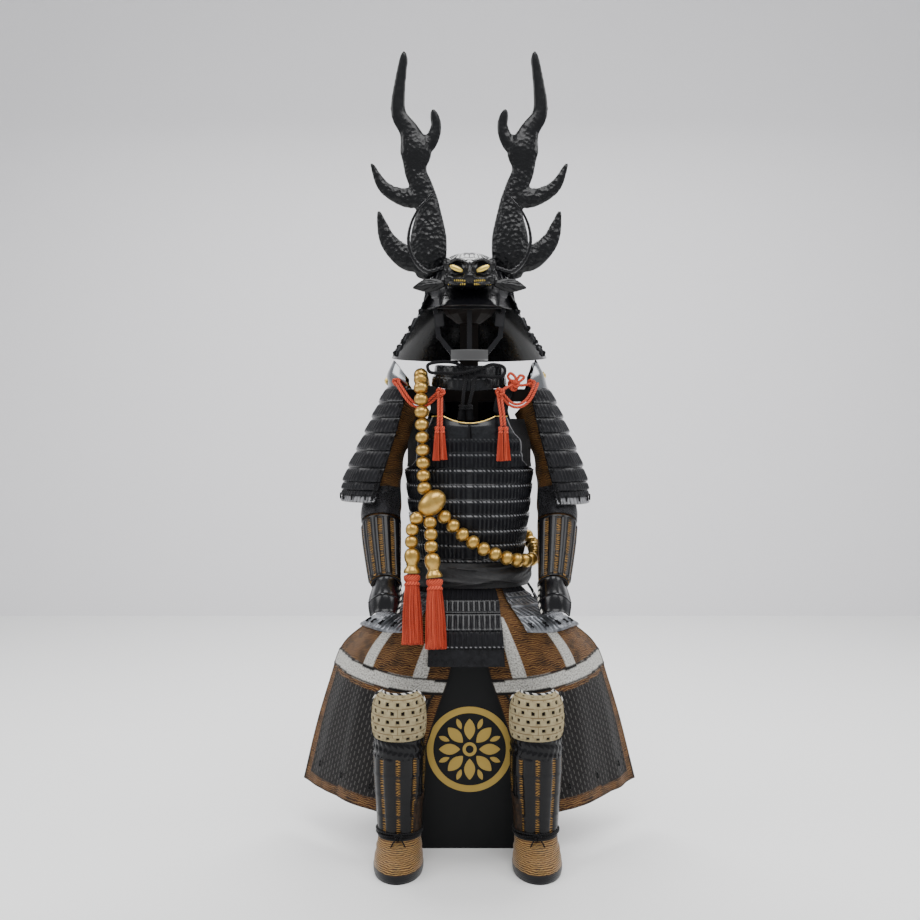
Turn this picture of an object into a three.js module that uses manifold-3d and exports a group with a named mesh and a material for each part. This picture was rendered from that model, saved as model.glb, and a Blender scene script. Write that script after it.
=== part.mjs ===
// Samurai armour resting on its display chest.
// Millimetres, +Z up, front towards -Y, origin at the middle of the chest's underside.
import * as THREE from 'three';
import { mergeVertices } from 'three/addons/utils/BufferGeometryUtils.js';
import Module from 'manifold-3d';

const wasm = await Module();
wasm.setup();

const armour = new THREE.Group();
const SEAM = 0.3;
const LEFT = -1;
const RIGHT = 1;
const SIDES = [['l', LEFT], ['r', RIGHT]];
const DEGREE = Math.PI / 180;

// Finishes
const FINISH = {
  lacquer: { color: 0x0b0c0e, roughness: 0.22, metalness: 0.15 },
  laced: { color: 0x121418, roughness: 0.55, metalness: 0.05 },
  satinBlack: { color: 0x141414, roughness: 0.5, metalness: 0.0 },
  wood: { color: 0x1b1512, roughness: 0.6, metalness: 0.0 },
  steel: { color: 0x9a9a98, roughness: 0.3, metalness: 0.9 },
  darkSteel: { color: 0x1a1b1d, roughness: 0.35, metalness: 0.7 },
  gold: { color: 0xb8923c, roughness: 0.35, metalness: 0.8 },
  brocade: { color: 0x5a3a1c, roughness: 0.8, metalness: 0.0 },
  blackCloth: { color: 0x0e0e11, roughness: 0.9, metalness: 0.0 },
  ivory: { color: 0xc8be96, roughness: 0.7, metalness: 0.0 },
  coral: { color: 0xc84b3c, roughness: 0.8, metalness: 0.0 },
};

function add(name, geometry, finish) {
  const mesh = new THREE.Mesh(geometry, new THREE.MeshStandardMaterial(finish));
  mesh.name = name;
  armour.add(mesh);
}

const at = (x, y, z) => new THREE.Vector3(x, y, z);

// A closed body from its points and triangles, with every face turned to point out
function closedBody(points, faces) {
  const sixVolumes = faces.reduce((sum, [a, b, c]) => {
    const normal = new THREE.Vector3().crossVectors(points[b], points[c]);
    return sum + points[a].dot(normal);
  }, 0);
  const order = sixVolumes > 0 ? faces : faces.map(([a, b, c]) => [a, c, b]);
  const geometry = new THREE.BufferGeometry();
  geometry.setFromPoints(points);
  geometry.setIndex(order.flat());
  return geometry;
}

// Two triangles for each cell of a grid of points that starts at a given index
function gridFaces(start, rows, columns, around) {
  const faces = [];
  const cells = around ? columns : columns - 1;
  for (let row = 0; row < rows - 1; row += 1) {
    for (let column = 0; column < cells; column += 1) {
      const a = start + row * columns + column;
      const b = start + row * columns + (column + 1) % columns;
      faces.push([a, b, b + columns], [a, b + columns, a + columns]);
    }
  }
  return faces;
}

// A wall of cloth or plate between an outer and an inner grid of points with the same rows and columns
function wall(outer, inner, around = false) {
  const rows = outer.length;
  const columns = outer[0].length;
  const innerStart = rows * columns;
  const faces = gridFaces(0, rows, columns, around);
  gridFaces(innerStart, rows, columns, around).forEach(([a, b, c]) => faces.push([a, c, b]));
  const rim = (a, b) => faces.push([b, a, a + innerStart], [b, a + innerStart, b + innerStart]);
  const cells = around ? columns : columns - 1;
  for (let column = 0; column < cells; column += 1) {
    const next = (column + 1) % columns;
    const last = (rows - 1) * columns;
    rim(column, next);
    rim(last + next, last + column);
  }
  if (!around) {
    for (let row = 0; row < rows - 1; row += 1) {
      rim((row + 1) * columns, row * columns);
      rim(row * columns + columns - 1, (row + 1) * columns + columns - 1);
    }
  }
  return closedBody([...outer.flat(), ...inner.flat()], faces);
}

const middleOf = (ring) => ring.reduce((sum, point) => sum.add(point), at(0, 0, 0)).divideScalar(ring.length);

// A solid lofted through rings, each end closed by a fan from the ring's first corner
function loft(rings) {
  const columns = rings[0].length;
  const faces = gridFaces(0, rings.length, columns, true);
  const last = (rings.length - 1) * columns;
  for (let column = 1; column < columns - 1; column += 1) {
    faces.push([0, column + 1, column], [last, last + column, last + column + 1]);
  }
  return closedBody(rings.flat(), faces);
}

// A cup: side walls between two stacks of rings, open at the first ring and closed under the last
function cup(outer, inner) {
  const rows = outer.length;
  const columns = outer[0].length;
  const innerStart = rows * columns;
  const points = [...outer.flat(), ...inner.flat(), middleOf(outer[rows - 1]), middleOf(inner[rows - 1])];
  const faces = gridFaces(0, rows, columns, true);
  gridFaces(innerStart, rows, columns, true).forEach(([a, b, c]) => faces.push([a, c, b]));
  const last = (rows - 1) * columns;
  for (let column = 0; column < columns; column += 1) {
    const next = (column + 1) % columns;
    faces.push([next, column, column + innerStart], [next, column + innerStart, next + innerStart]);
    faces.push([points.length - 2, last + column, last + next]);
    faces.push([points.length - 1, innerStart + last + next, innerStart + last + column]);
  }
  return closedBody(points, faces);
}

// Rings of a rope, rod or bead string along a path; sizes gives half width and half depth at 0 to 1
function ringsAlong(path, steps, sides, sizes, up = at(0, 1, 0)) {
  return steps.map((step) => {
    const centre = path.getPointAt(step);
    const tangent = path.getTangentAt(step);
    const across = new THREE.Vector3().crossVectors(tangent, up).normalize();
    const over = new THREE.Vector3().crossVectors(across, tangent).normalize();
    const [halfWidth, halfDepth] = sizes(step);
    return Array.from({ length: sides }, (unused, index) => {
      const turn = 2 * Math.PI * (index + 0.5) / sides;
      return centre.clone()
        .addScaledVector(across, halfWidth * Math.cos(turn))
        .addScaledVector(over, halfDepth * Math.sin(turn));
    });
  });
}

const evenSteps = (count) => Array.from({ length: count + 1 }, (unused, index) => index / count);
const smoothPath = (points) => new THREE.CatmullRomCurve3(points, false, 'centripetal');

// Booleans
function solidOf(geometry) {
  const bare = geometry.clone();
  bare.deleteAttribute('normal');
  bare.deleteAttribute('uv');
  const merged = mergeVertices(bare, 1e-3);
  return new wasm.Manifold(new wasm.Mesh({
    numProp: 3,
    vertProperties: new Float32Array(merged.attributes.position.array),
    triVerts: new Uint32Array(merged.index.array),
  }));
}

function geometryOf(solid) {
  const mesh = solid.getMesh();
  const geometry = new THREE.BufferGeometry();
  geometry.setAttribute('position', new THREE.BufferAttribute(Float32Array.from(mesh.vertProperties), 3));
  geometry.setIndex(Array.from(mesh.triVerts));
  return geometry;
}

const joined = (geometries) => geometryOf(geometries.map(solidOf).reduce((sum, solid) => sum.add(solid)));
function cutBy(geometry, cutters) {
  const rest = cutters.map(solidOf).reduce((solid, cutter) => solid.subtract(cutter), solidOf(geometry));
  const pieces = rest.decompose().sort((a, b) => b.volume() - a.volume());
  return geometryOf(pieces[0]);
}

function block(xSpan, ySpan, zSpan) {
  const [width, depth, height] = [xSpan, ySpan, zSpan].map(([low, high]) => high - low);
  const geometry = new THREE.BoxGeometry(width, depth, height);
  geometry.translate(xSpan[0] + width / 2, ySpan[0] + depth / 2, zSpan[0] + height / 2);
  return geometry;
}

// A smooth surface through rows of points: across runs 0 to 1 along a row, down from first to last row
function surfaceThrough(rows) {
  const rowCurves = rows.map((row) => smoothPath(row));
  return (across, down) => smoothPath(rowCurves.map((curve) => curve.getPoint(across))).getPoint(down);
}

const NORMAL_STEP = 0.004;
function normalOf(surface, across, down) {
  const a = surface(Math.max(across - NORMAL_STEP, 0), down);
  const b = surface(Math.min(across + NORMAL_STEP, 1), down);
  const c = surface(across, Math.max(down - NORMAL_STEP, 0));
  const d = surface(across, Math.min(down + NORMAL_STEP, 1));
  return new THREE.Vector3().crossVectors(b.sub(a), d.sub(c)).normalize();
}

// A panel on a surface: rows give how far down each lies and its lift, the back stays plain
function panel(surface, columns, rows, { base = 0, thickness, facing = 1, ribs = () => 0 }) {
  const grid = (lifted) => rows.map(({ down, lift }) => evenSteps(columns).map((across) => {
    const raise = lifted ? base + thickness + lift + ribs(across, down) : base;
    return surface(across, down).addScaledVector(normalOf(surface, across, down), facing * raise);
  }));
  return wall(grid(true), grid(false));
}

// Rows of a laced panel: each lame stands proud at its upper edge and runs in at its lower edge
const LEDGE = 0.012;
function lameRows(from, to, count, step) {
  const rows = [];
  for (let lame = 0; lame < count; lame += 1) {
    const top = from + (to - from) * lame / count;
    const bottom = from + (to - from) * (lame + 1) / count;
    rows.push({ down: lame === 0 ? top : top + LEDGE, lift: step });
    rows.push({ down: bottom, lift: 0 });
  }
  return rows;
}
const plainRows = (from, to, count) => evenSteps(count).map((step) => ({ down: from + (to - from) * step, lift: 0 }));

// Chest: a lacquered box with a lid that slips over it
const CHEST = { halfWidth: 172, halfDepth: 170, wall: 12, height: 487.7 };
const LID = { height: 60, board: 12, overlap: 4 };
const chestTop = CHEST.height + SEAM + LID.board;

function buildChest() {
  const { halfWidth, halfDepth, height } = CHEST;
  const insideWidth = halfWidth - CHEST.wall;
  const insideDepth = halfDepth - CHEST.wall;
  const body = block([-halfWidth, halfWidth], [-halfDepth, halfDepth], [0, height]);
  const hollow = block([-insideWidth, insideWidth], [-insideDepth, insideDepth], [CHEST.wall, height + LID.height]);
  add('chest_body', cutBy(body, [hollow]), FINISH.satinBlack);
  const innerWidth = halfWidth + SEAM;
  const innerDepth = halfDepth + SEAM;
  const lidWidth = halfWidth + LID.overlap;
  const lidDepth = halfDepth + LID.overlap;
  const lid = block([-lidWidth, lidWidth], [-lidDepth, lidDepth], [chestTop - LID.height, chestTop]);
  const room = block([-innerWidth, innerWidth], [-innerDepth, innerDepth], [0, chestTop - LID.board]);
  add('chest_lid', cutBy(lid, [room]), FINISH.satinBlack);
}
buildChest();

// Stand: base board, post, shoulder bar and head block in one joined piece of wood
const BOWL = { centreY: -10, rimZ: 1281, halfWidth: 100, halfDepth: 112, rise: 104, wall: 2.5, crownHole: 84 };
const STAND = {
  board: [150, 95, 14],
  post: [22, 15],
  bar: [171.6, 15, 1028, 1058],
  head: [78, 88, 86],
};

function buildStand() {
  const [boardX, boardY, boardThick] = STAND.board;
  const foot = chestTop + SEAM;
  const board = block([-boardX, boardX], [-boardY, boardY], [foot, foot + boardThick]);
  const headTop = BOWL.rimZ + BOWL.rise - BOWL.wall - SEAM;
  const [headX, headY, headZ] = STAND.head;
  const post = block([-STAND.post[0], STAND.post[0]], [-STAND.post[1], STAND.post[1]], [foot, headTop - headZ]);
  const [barX, barY, barLow, barHigh] = STAND.bar;
  const bar = block([-barX, barX], [-barY, barY], [barLow, barHigh]);
  const head = new THREE.SphereGeometry(1, 12, 8);
  head.rotateX(90 * DEGREE);
  head.scale(headX, headY, headZ);
  head.translate(0, BOWL.centreY, headTop - headZ);
  add('stand', joined([board, post, bar, head]), FINISH.wood);
}
buildStand();

// Face frame: a six-sided steel frame in front of the head block, with two arms back to the block
const FACE = { frontY: -104, depth: 6, bar: 12, armHalfWidth: 85, armZ: [1236, 1248] };
const FACE_OUTLINE = [
  { x: -85, z: 1248 }, { x: -78, z: 1176 }, { x: -40, z: 1128 },
  { x: 40, z: 1128 }, { x: 78, z: 1176 }, { x: 85, z: 1248 },
];

function buildFaceFrame() {
  const middle = { x: 0, z: 1190 };
  const shrink = (point) => {
    const reach = Math.hypot(point.x - middle.x, point.z - middle.z);
    const share = (reach - FACE.bar) / reach;
    return new THREE.Vector2(middle.x + (point.x - middle.x) * share, middle.z + (point.z - middle.z) * share);
  };
  const outline = new THREE.Shape(FACE_OUTLINE.map(({ x, z }) => new THREE.Vector2(x, z)));
  outline.holes.push(new THREE.Path(FACE_OUTLINE.map(shrink)));
  const frame = new THREE.ExtrudeGeometry(outline, { depth: FACE.depth, bevelEnabled: false });
  frame.rotateX(90 * DEGREE);
  frame.translate(0, FACE.frontY + FACE.depth, 0);
  const blockSide = STAND.head[0] + SEAM;
  const arms = SIDES.map(([, side]) => {
    const span = [side * blockSide, side * FACE.armHalfWidth].sort((a, b) => a - b);
    return block(span, [FACE.frontY, BOWL.centreY + FACE.bar], FACE.armZ);
  });
  const headMiddle = BOWL.rimZ + BOWL.rise - BOWL.wall - SEAM - STAND.head[2];
  const ears = SIDES.map(([, side]) => {
    const span = [side * blockSide, side * FACE.armHalfWidth].sort((a, b) => a - b);
    return block(span, [BOWL.centreY - FACE.bar, BOWL.centreY + FACE.bar], [FACE.armZ[0], headMiddle + FACE.bar]);
  });
  add('face_frame', joined([frame, ...arms, ...ears]), FINISH.darkSteel);
}
buildFaceFrame();

// Chin band: a bright bent plate across the bottom of the face frame
const CHIN = { halfWidth: 42, low: 1120, high: 1145, bow: 14, thickness: 2.5, columns: 8 };
function buildChinBand() {
  const backY = FACE.frontY - SEAM;
  const row = (z) => evenSteps(2).map((across) => {
    const x = CHIN.halfWidth * (2 * across - 1);
    return at(x, backY - CHIN.bow * (1 - (x / CHIN.halfWidth) ** 2), z);
  });
  const surface = surfaceThrough([row(CHIN.high), row(CHIN.low)]);
  const geometry = panel(surface, CHIN.columns, plainRows(0, 1, 1), { thickness: CHIN.thickness, facing: -1 });
  add('chin_band', geometry, FINISH.steel);
}
buildChinBand();

// Helmet bowl: a hollow dome with a small open crown
function bowlPoint(turn, rise, offset) {
  const reach = Math.cos(rise);
  return at(
    (BOWL.halfWidth + offset) * reach * Math.sin(turn),
    BOWL.centreY - (BOWL.halfDepth + offset) * reach * Math.cos(turn),
    BOWL.rimZ + (BOWL.rise + offset) * Math.sin(rise),
  );
}
const BOWL_GRID = { around: 16, rows: 5 };
const bowlRings = (offset, low) => evenSteps(BOWL_GRID.rows).map((step) => {
  const rise = low + (BOWL.crownHole * DEGREE - low) * (1 - step);
  return Array.from({ length: BOWL_GRID.around }, (unused, index) => (
    bowlPoint(2 * Math.PI * index / BOWL_GRID.around, rise, offset)
  ));
});
add('helmet_bowl', wall(bowlRings(0, 0), bowlRings(-BOWL.wall, 0), true), FINISH.lacquer);
const bowlRoom = () => loft([...bowlRings(SEAM, 0), bowlRings(SEAM, 0).at(-1).map((point) => at(point.x, point.y, BOWL.rimZ - 4))]);

// Visor: a curved brim from the bowl's front rim, forwards and down
const VISOR = { spread: 62, edgeHalfWidth: 97, edgeY: -168, edgeZ: 1240, lapRise: 0.04, thickness: 2.5, columns: 8 };
function visorSurface(lapRise) {
  const turns = evenSteps(4).map((step) => VISOR.spread * DEGREE * (2 * step - 1));
  const edge = (turn, share) => {
    const rim = bowlPoint(turn, 0, SEAM);
    const sideways = Math.sin(turn) / Math.sin(VISOR.spread * DEGREE);
    const forward = BOWL.centreY + (VISOR.edgeY - BOWL.centreY) * Math.cos(turn) ** 0.8;
    const brim = at(VISOR.edgeHalfWidth * sideways, forward, VISOR.edgeZ);
    return rim.lerp(brim, share);
  };
  return surfaceThrough([
    turns.map((turn) => bowlPoint(turn, lapRise, SEAM)),
    turns.map((turn) => edge(turn, 0.15)),
    turns.map((turn) => edge(turn, 0.6)),
    turns.map((turn) => edge(turn, 1)),
  ]);
}
const visorPanel = (lapRise, base, thickness) => (
  panel(visorSurface(lapRise), VISOR.columns, plainRows(0, 1, 4), { base, thickness, facing: -1 })
);
const visorRoom = () => visorPanel(2 * VISOR.lapRise, -VISOR.thickness, 3 * VISOR.thickness);
add('visor', cutBy(visorPanel(VISOR.lapRise, 0, VISOR.thickness), [bowlRoom()]), FINISH.lacquer);

// Turnbacks: small plates that bend out at each end of the visor
const TURNBACK_ROWS = [
  [{ x: 92, y: -63, z: 1277 }, { x: 96, y: -71, z: 1277 }, { x: 100, y: -81, z: 1276 }],
  [{ x: 95, y: -63, z: 1262 }, { x: 102, y: -73, z: 1261 }, { x: 108, y: -87, z: 1260 }],
  [{ x: 99, y: -56, z: 1247 }, { x: 109, y: -70, z: 1245 }, { x: 115, y: -86, z: 1243 }],
];
SIDES.forEach(([letter, side]) => {
  const surface = surfaceThrough(TURNBACK_ROWS.map((row) => row.map(({ x, y, z }) => at(side * x, y, z))));
  const shape = { thickness: 2.5, facing: -side };
  add(`turnback_${letter}`, panel(surface, 4, plainRows(0, 1, 3), shape), FINISH.lacquer);
});

// Neck guard: laced lames that flare from the bowl's rim round the back of the neck
const NECK_GUARD = { halfSweep: 113, lames: 6, step: 3, thickness: 2, columns: 12 };
const NECK_ROWS = [
  { halfWidth: 101.3, back: 113.3, z: 1284, drop: 0 },
  { halfWidth: 107, back: 118, z: 1262, drop: 0 },
  { halfWidth: 150, back: 146, z: 1190, drop: 3 },
  { halfWidth: 186, back: 168, z: 1135, drop: 6 },
];
function buildNeckGuard() {
  const surface = surfaceThrough(NECK_ROWS.map(({ halfWidth, back, z, drop }) => evenSteps(8).map((step) => {
    const turn = NECK_GUARD.halfSweep * DEGREE * (2 * step - 1);
    return at(halfWidth * Math.sin(turn), BOWL.centreY + back * Math.cos(turn), z - drop * (1 - Math.cos(turn)) / 2);
  })));
  const rows = lameRows(0, 1, NECK_GUARD.lames, NECK_GUARD.step);
  const shape = { base: SEAM, thickness: NECK_GUARD.thickness, facing: 1 };
  add('neck_guard', panel(surface, NECK_GUARD.columns, rows, shape), FINISH.lacquer);
}
buildNeckGuard();

// Lion head: a carved crest with a domed brow, muzzle, knobs and leaf ears, hollowed to sit on the bowl
function ellipsoid([x, y, z], [halfWidth, halfDepth, halfHeight], sides = 12, tilt = 0) {
  const ball = new THREE.SphereGeometry(1, sides, Math.round(sides * 0.6));
  ball.scale(halfWidth, halfDepth, halfHeight);
  ball.rotateY(tilt * DEGREE);
  ball.translate(x, y, z);
  return ball;
}
const LION = {
  brow: [[0, -118, 1322], [56, 40, 36]],
  muzzle: [[0, -134, 1299], [62, 36, 19]],
  nose: [[0, -164, 1306], [17, 12, 11]],
  eye: [[29, -153, 1327], [17, 9, 9]],
  knob: [[50, -122, 1341], [13, 16, 16]],
  ear: { root: [58, -128, 1296], middle: [98, -132, 1291], tip: [132, -134, 1285], low: 28, thickness: 7 },
};
const EAR_STEPS = [0, 0.25, 0.5, 0.75, 1];
const EAR_WIDTH = [[8, 4], [15, 4], [17, 3.5], [11, 3], [2, 1.5]];
function buildLionHead() {
  const pieces = [ellipsoid(...LION.brow, 10), ellipsoid(...LION.muzzle, 10), ellipsoid(...LION.nose, 6)];
  SIDES.forEach(([, side]) => {
    const swapped = ([[x, y, z], size]) => [[side * x, y, z], size];
    pieces.push(ellipsoid(...swapped(LION.eye), 6), ellipsoid(...swapped(LION.knob), 6));
    const path = smoothPath([LION.ear.root, LION.ear.middle, LION.ear.tip].map(([x, y, z]) => at(side * x, y, z)));
    const width = (step) => EAR_WIDTH[EAR_STEPS.indexOf(step)];
    const ear = loft(ringsAlong(path, EAR_STEPS, 6, width, at(0, 1, 0)));
    pieces.push(ear);
  });
  add('lion_head', cutBy(joined(pieces), [bowlRoom(), visorRoom()]), FINISH.lacquer);
}
buildLionHead();

// Antlers: a broad main beam with three tines each, flat from front to back
const ANTLER = { planeY: -46, sides: 6, flatness: 0.42, tipDepth: 6 };
const BEAM_ROWS = [
  { x: 112, z: 1318, half: 14 }, { x: 104, z: 1345, half: 34 }, { x: 98, z: 1376, half: 45 },
  { x: 97, z: 1417, half: 44 }, { x: 98, z: 1487, half: 29 }, { x: 110, z: 1530, half: 27 },
  { x: 128, z: 1575, half: 27 }, { x: 127, z: 1620, half: 38 }, { x: 142, z: 1668, half: 25 },
  { x: 168, z: 1711, half: 19 }, { x: 164, z: 1784, half: 14.5 }, { x: 156, z: 1838, half: 11 },
  { x: 155, z: 1861, half: 4 },
];
const TINES = [
  [{ x: 100, z: 1360, half: 22 }, { x: 143, z: 1366, half: 30 }, { x: 190, z: 1405, half: 22 },
    { x: 207, z: 1446, half: 14 }, { x: 216, z: 1482, half: 4 }],
  [{ x: 104, z: 1515, half: 18 }, { x: 138, z: 1510, half: 25 }, { x: 180, z: 1521, half: 19 },
    { x: 207, z: 1542, half: 15 }, { x: 234, z: 1596, half: 4 }],
  [{ x: 118, z: 1612, half: 16 }, { x: 94, z: 1640, half: 18 }, { x: 79, z: 1678, half: 14 },
    { x: 83, z: 1707, half: 11 }, { x: 87, z: 1722, half: 4 }],
];
function antlerBranch(table, side) {
  const path = smoothPath(table.map(({ x, z }) => at(side * x, ANTLER.planeY, z)));
  const rings = table.map(({ half }, index) => {
    const share = index / (table.length - 1);
    const centre = path.getPoint(share);
    const tangent = path.getTangent(share);
    const across = new THREE.Vector3().crossVectors(tangent, at(0, 1, 0)).normalize();
    const depth = Math.max(half * ANTLER.flatness, Math.min(half, ANTLER.tipDepth));
    return Array.from({ length: ANTLER.sides }, (unused, corner) => {
      const turn = 2 * Math.PI * corner / ANTLER.sides;
      return centre.clone().addScaledVector(across, half * Math.cos(turn)).add(at(0, depth * Math.sin(turn), 0));
    });
  });
  return loft(rings);
}
SIDES.forEach(([letter, side]) => {
  const branches = [BEAM_ROWS, ...TINES].map((table) => antlerBranch(table, side));
  add(`antler_${letter}`, cutBy(joined(branches), [bowlRoom()]), FINISH.lacquer);
});

// Horns: thin curled horns that rise from behind the lion's knobs
const HORN_POINTS = [[60.5, 1334], [98, 1326], [126, 1350], [141, 1391], [137, 1430], [120, 1467], [96, 1494], [80, 1512]];
const HORN = { planeY: -116, base: 6, tip: 1.5, steps: 11, sides: 6 };
SIDES.forEach(([letter, side]) => {
  const path = smoothPath(HORN_POINTS.map(([x, z]) => at(side * x, HORN.planeY, z)));
  const size = (step) => [HORN.base + (HORN.tip - HORN.base) * step, HORN.base + (HORN.tip - HORN.base) * step];
  add(`horn_${letter}`, loft(ringsAlong(path, evenSteps(HORN.steps), HORN.sides, size)), FINISH.lacquer);
});

// Body: sections of the general figure that the armour's own cut gives, turn 0 at the front
const TORSO = [
  { z: 590, halfWidth: 130, front: 128, back: 112 }, { z: 650, halfWidth: 126, front: 126, back: 110 },
  { z: 760, halfWidth: 140, front: 134, back: 116 }, { z: 870, halfWidth: 150, front: 137, back: 122 },
  { z: 930, halfWidth: 150, front: 131, back: 122 }, { z: 1000, halfWidth: 142, front: 117, back: 113 },
  { z: 1040, halfWidth: 136, front: 106, back: 106 },
];
const SQUARENESS = 0.8;
function torso(turn, z, offset) {
  const above = Math.max(1, TORSO.findIndex((row) => row.z >= z));
  const [low, high] = [TORSO[above - 1], TORSO[above]];
  const share = (z - low.z) / (high.z - low.z);
  const size = (key) => low[key] + (high[key] - low[key]) * share + offset;
  const [sine, cosine] = [Math.sin(turn), Math.cos(turn)];
  const swell = (value) => Math.sign(value) * Math.abs(value) ** SQUARENESS;
  return at(size('halfWidth') * swell(sine), -size(cosine > 0 ? 'front' : 'back') * swell(cosine), z);
}

// Cuirass: a laced front and back that meet at the sides, cut away round the arms and the neck
const CUIRASS = { thickness: 3, step: 3.5, columns: 8, sideGap: SEAM / 2 };
const LAME_EDGES = [604, 657, 692, 725, 761, 795, 831, 866];
const FRONT_TOP = [
  { z: 872, half: 60, lift: 3.5 }, { z: 888, half: 49, lift: 2 }, { z: 903, half: 48, lift: 0 },
  { z: 904, half: 48, lift: 3.5 }, { z: 934, half: 46, lift: 0.5 }, { z: 937, half: 45, lift: 4.5 },
  { z: 950, half: 38, lift: 4.5 }, { z: 968, half: 34, lift: 3 }, { z: 990, half: 31, lift: 1 },
];
const BACK_TOP = [
  { z: 872, half: 60, lift: 3.5 }, { z: 888, half: 52, lift: 2 }, { z: 920, half: 50, lift: 0 },
  { z: 921, half: 50, lift: 3.5 }, { z: 960, half: 44, lift: 2 }, { z: 1046, half: 33, lift: 1 },
];
const NECK_DIP = { depth: 16, halfWidth: 60 };
function cuirassRows(topRows) {
  const rows = [];
  LAME_EDGES.slice(0, -1).forEach((low, index) => {
    rows.push({ z: low + (index ? 1 : 0), half: 90, lift: 0 });
    rows.push({ z: LAME_EDGES[index + 1], half: 90, lift: CUIRASS.step });
  });
  return [...rows, { z: 867, half: 88, lift: 0 }, ...topRows];
}
function cuirassHalf(topRows, middleTurn) {
  const rows = cuirassRows(topRows);
  const isFront = middleTurn === 0;
  const grid = (lifted) => rows.map(({ z, half, lift }, index) => evenSteps(CUIRASS.columns).map((across) => {
    const turn = middleTurn + half * DEGREE * (2 * across - 1);
    const point = torso(turn, z, lifted ? CUIRASS.thickness + lift : 0);
    const isNeck = index === rows.length - 1;
    point.z -= isNeck ? NECK_DIP.depth * Math.max(0, 1 - (point.x / NECK_DIP.halfWidth) ** 2) : 0;
    point.y += isFront ? -CUIRASS.sideGap : CUIRASS.sideGap;
    return point;
  }));
  return wall(grid(true), grid(false));
}
add('cuirass_front', cuirassHalf(FRONT_TOP, 0), FINISH.laced);
add('cuirass_back', cuirassHalf(BACK_TOP, Math.PI), FINISH.laced);

// Shoulder straps: padded straps from the back plate over the stand's bar to the breast plate
const STRAP = { halfWidth: 17, halfDepth: 3.5, steps: 14, sides: 8 };
const STRAP_POINTS = [
  [72, -108, 994], [75, -104, 1020], [86, -74, 1050], [92, -34, 1061.3], [93, 0, 1061.6],
  [92, 34, 1061.3], [86, 76, 1052], [79, 103, 1032], [76, 111.3, 1009],
];
SIDES.forEach(([letter, side]) => {
  const path = smoothPath(STRAP_POINTS.map(([x, y, z]) => at(side * x, y, z)));
  const sections = STRAP_POINTS.map((unused, index) => index / (STRAP_POINTS.length - 1)).map((share) => {
    const centre = path.getPoint(share);
    const tangent = path.getTangent(share);
    const across = at(1, 0, 0).addScaledVector(tangent, -tangent.x).normalize();
    const over = new THREE.Vector3().crossVectors(tangent, across).normalize();
    return Array.from({ length: STRAP.sides }, (unused, index) => {
      const turn = 2 * Math.PI * (index + 0.5) / STRAP.sides;
      return centre.clone().addScaledVector(across, STRAP.halfWidth * Math.cos(turn))
        .addScaledVector(over, STRAP.halfDepth * Math.sin(turn));
    });
  });
  add(`shoulder_strap_${letter}`, loft(sections), FINISH.blackCloth);
});

// Sash: a wide cloth wound round the waist, in deep soft creases
const SASH = { low: 592, high: 650, inner: 7.9, thickness: 5, around: 32, rows: 3 };
const SASH_CREASES = [
  { turn: 12, z: 612, reach: 34, depth: 5 }, { turn: -28, z: 634, reach: 40, depth: 5 },
  { turn: 48, z: 628, reach: 34, depth: 5 }, { turn: -62, z: 610, reach: 30, depth: 4 },
  { turn: 95, z: 615, reach: 40, depth: 4 }, { turn: -110, z: 630, reach: 44, depth: 5 },
  { turn: 150, z: 618, reach: 44, depth: 4 }, { turn: -160, z: 608, reach: 40, depth: 5 },
];
const SASH_BAND = 11;
function sashSwell(turn, z) {
  const rise = (z - SASH.low) / (SASH.high - SASH.low);
  const body = 7 * Math.sin(Math.PI * rise);
  return SASH_CREASES.reduce((swell, crease) => {
    const apart = Math.atan2(Math.sin(turn - crease.turn * DEGREE), Math.cos(turn - crease.turn * DEGREE)) / DEGREE;
    const line = crease.z + apart * 0.35;
    return swell + crease.depth * Math.exp(-((apart / crease.reach) ** 2) - ((z - line) / SASH_BAND) ** 2);
  }, body);
}
function sashRing(z, isOuter) {
  return Array.from({ length: SASH.around }, (unused, index) => {
    const turn = 2 * Math.PI * index / SASH.around;
    return torso(turn, z, isOuter ? SASH.inner + SASH.thickness + sashSwell(turn, z) : SASH.inner);
  });
}
const sashHeights = evenSteps(SASH.rows).map((step) => SASH.low + (SASH.high - SASH.low) * step);
const sashGrid = (isOuter) => sashHeights.map((z) => sashRing(z, isOuter));
add('sash', wall(sashGrid(true), sashGrid(false), true), FINISH.blackCloth);

// Throat guard: three short laced lames that stand round the front of the neck
const THROAT = { halfSweep: 96, lames: 2, step: 3, thickness: 2, columns: 12, centreY: -14 };
const THROAT_ROWS = [
  { halfWidth: 78, front: 76, z: 1108, rise: 6 },
  { halfWidth: 84, front: 84, z: 1078, rise: 11 },
  { halfWidth: 90, front: 92, z: 1049, rise: 18.9 },
];
function buildThroatGuard() {
  const surface = surfaceThrough(THROAT_ROWS.map(({ halfWidth, front, z, rise }) => evenSteps(6).map((step) => {
    const turn = THROAT.halfSweep * DEGREE * (2 * step - 1);
    return at(halfWidth * Math.sin(turn), THROAT.centreY - front * Math.cos(turn), z + rise * (1 - Math.abs(Math.cos(turn)) ** 1.5));
  })));
  const rows = lameRows(0, 1, THROAT.lames, THROAT.step);
  const shape = { thickness: THROAT.thickness, facing: -1 };
  add('throat_guard', panel(surface, THROAT.columns, rows, shape), FINISH.laced);
}
buildThroatGuard();

// A row of a table read between its lines, smoothly, at a place counted in rows
function rowAt(table, place) {
  const line = Math.min(Math.max(Math.floor(place), 0), table.length - 2);
  const t = place - line;
  const [before, from, to, after] = [line - 1, line, line + 1, line + 2].map((index) => (
    table[Math.min(Math.max(index, 0), table.length - 1)]
  ));
  const smooth = (a, b, c, d) => 0.5 * (
    2 * b + (c - a) * t + (2 * a - 5 * b + 4 * c - d) * t ** 2 + (3 * b - a - 3 * c + d) * t ** 3
  );
  return Object.fromEntries(Object.keys(from).map((key) => (
    [key, smooth(before[key], from[key], to[key], after[key])]
  )));
}

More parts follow.
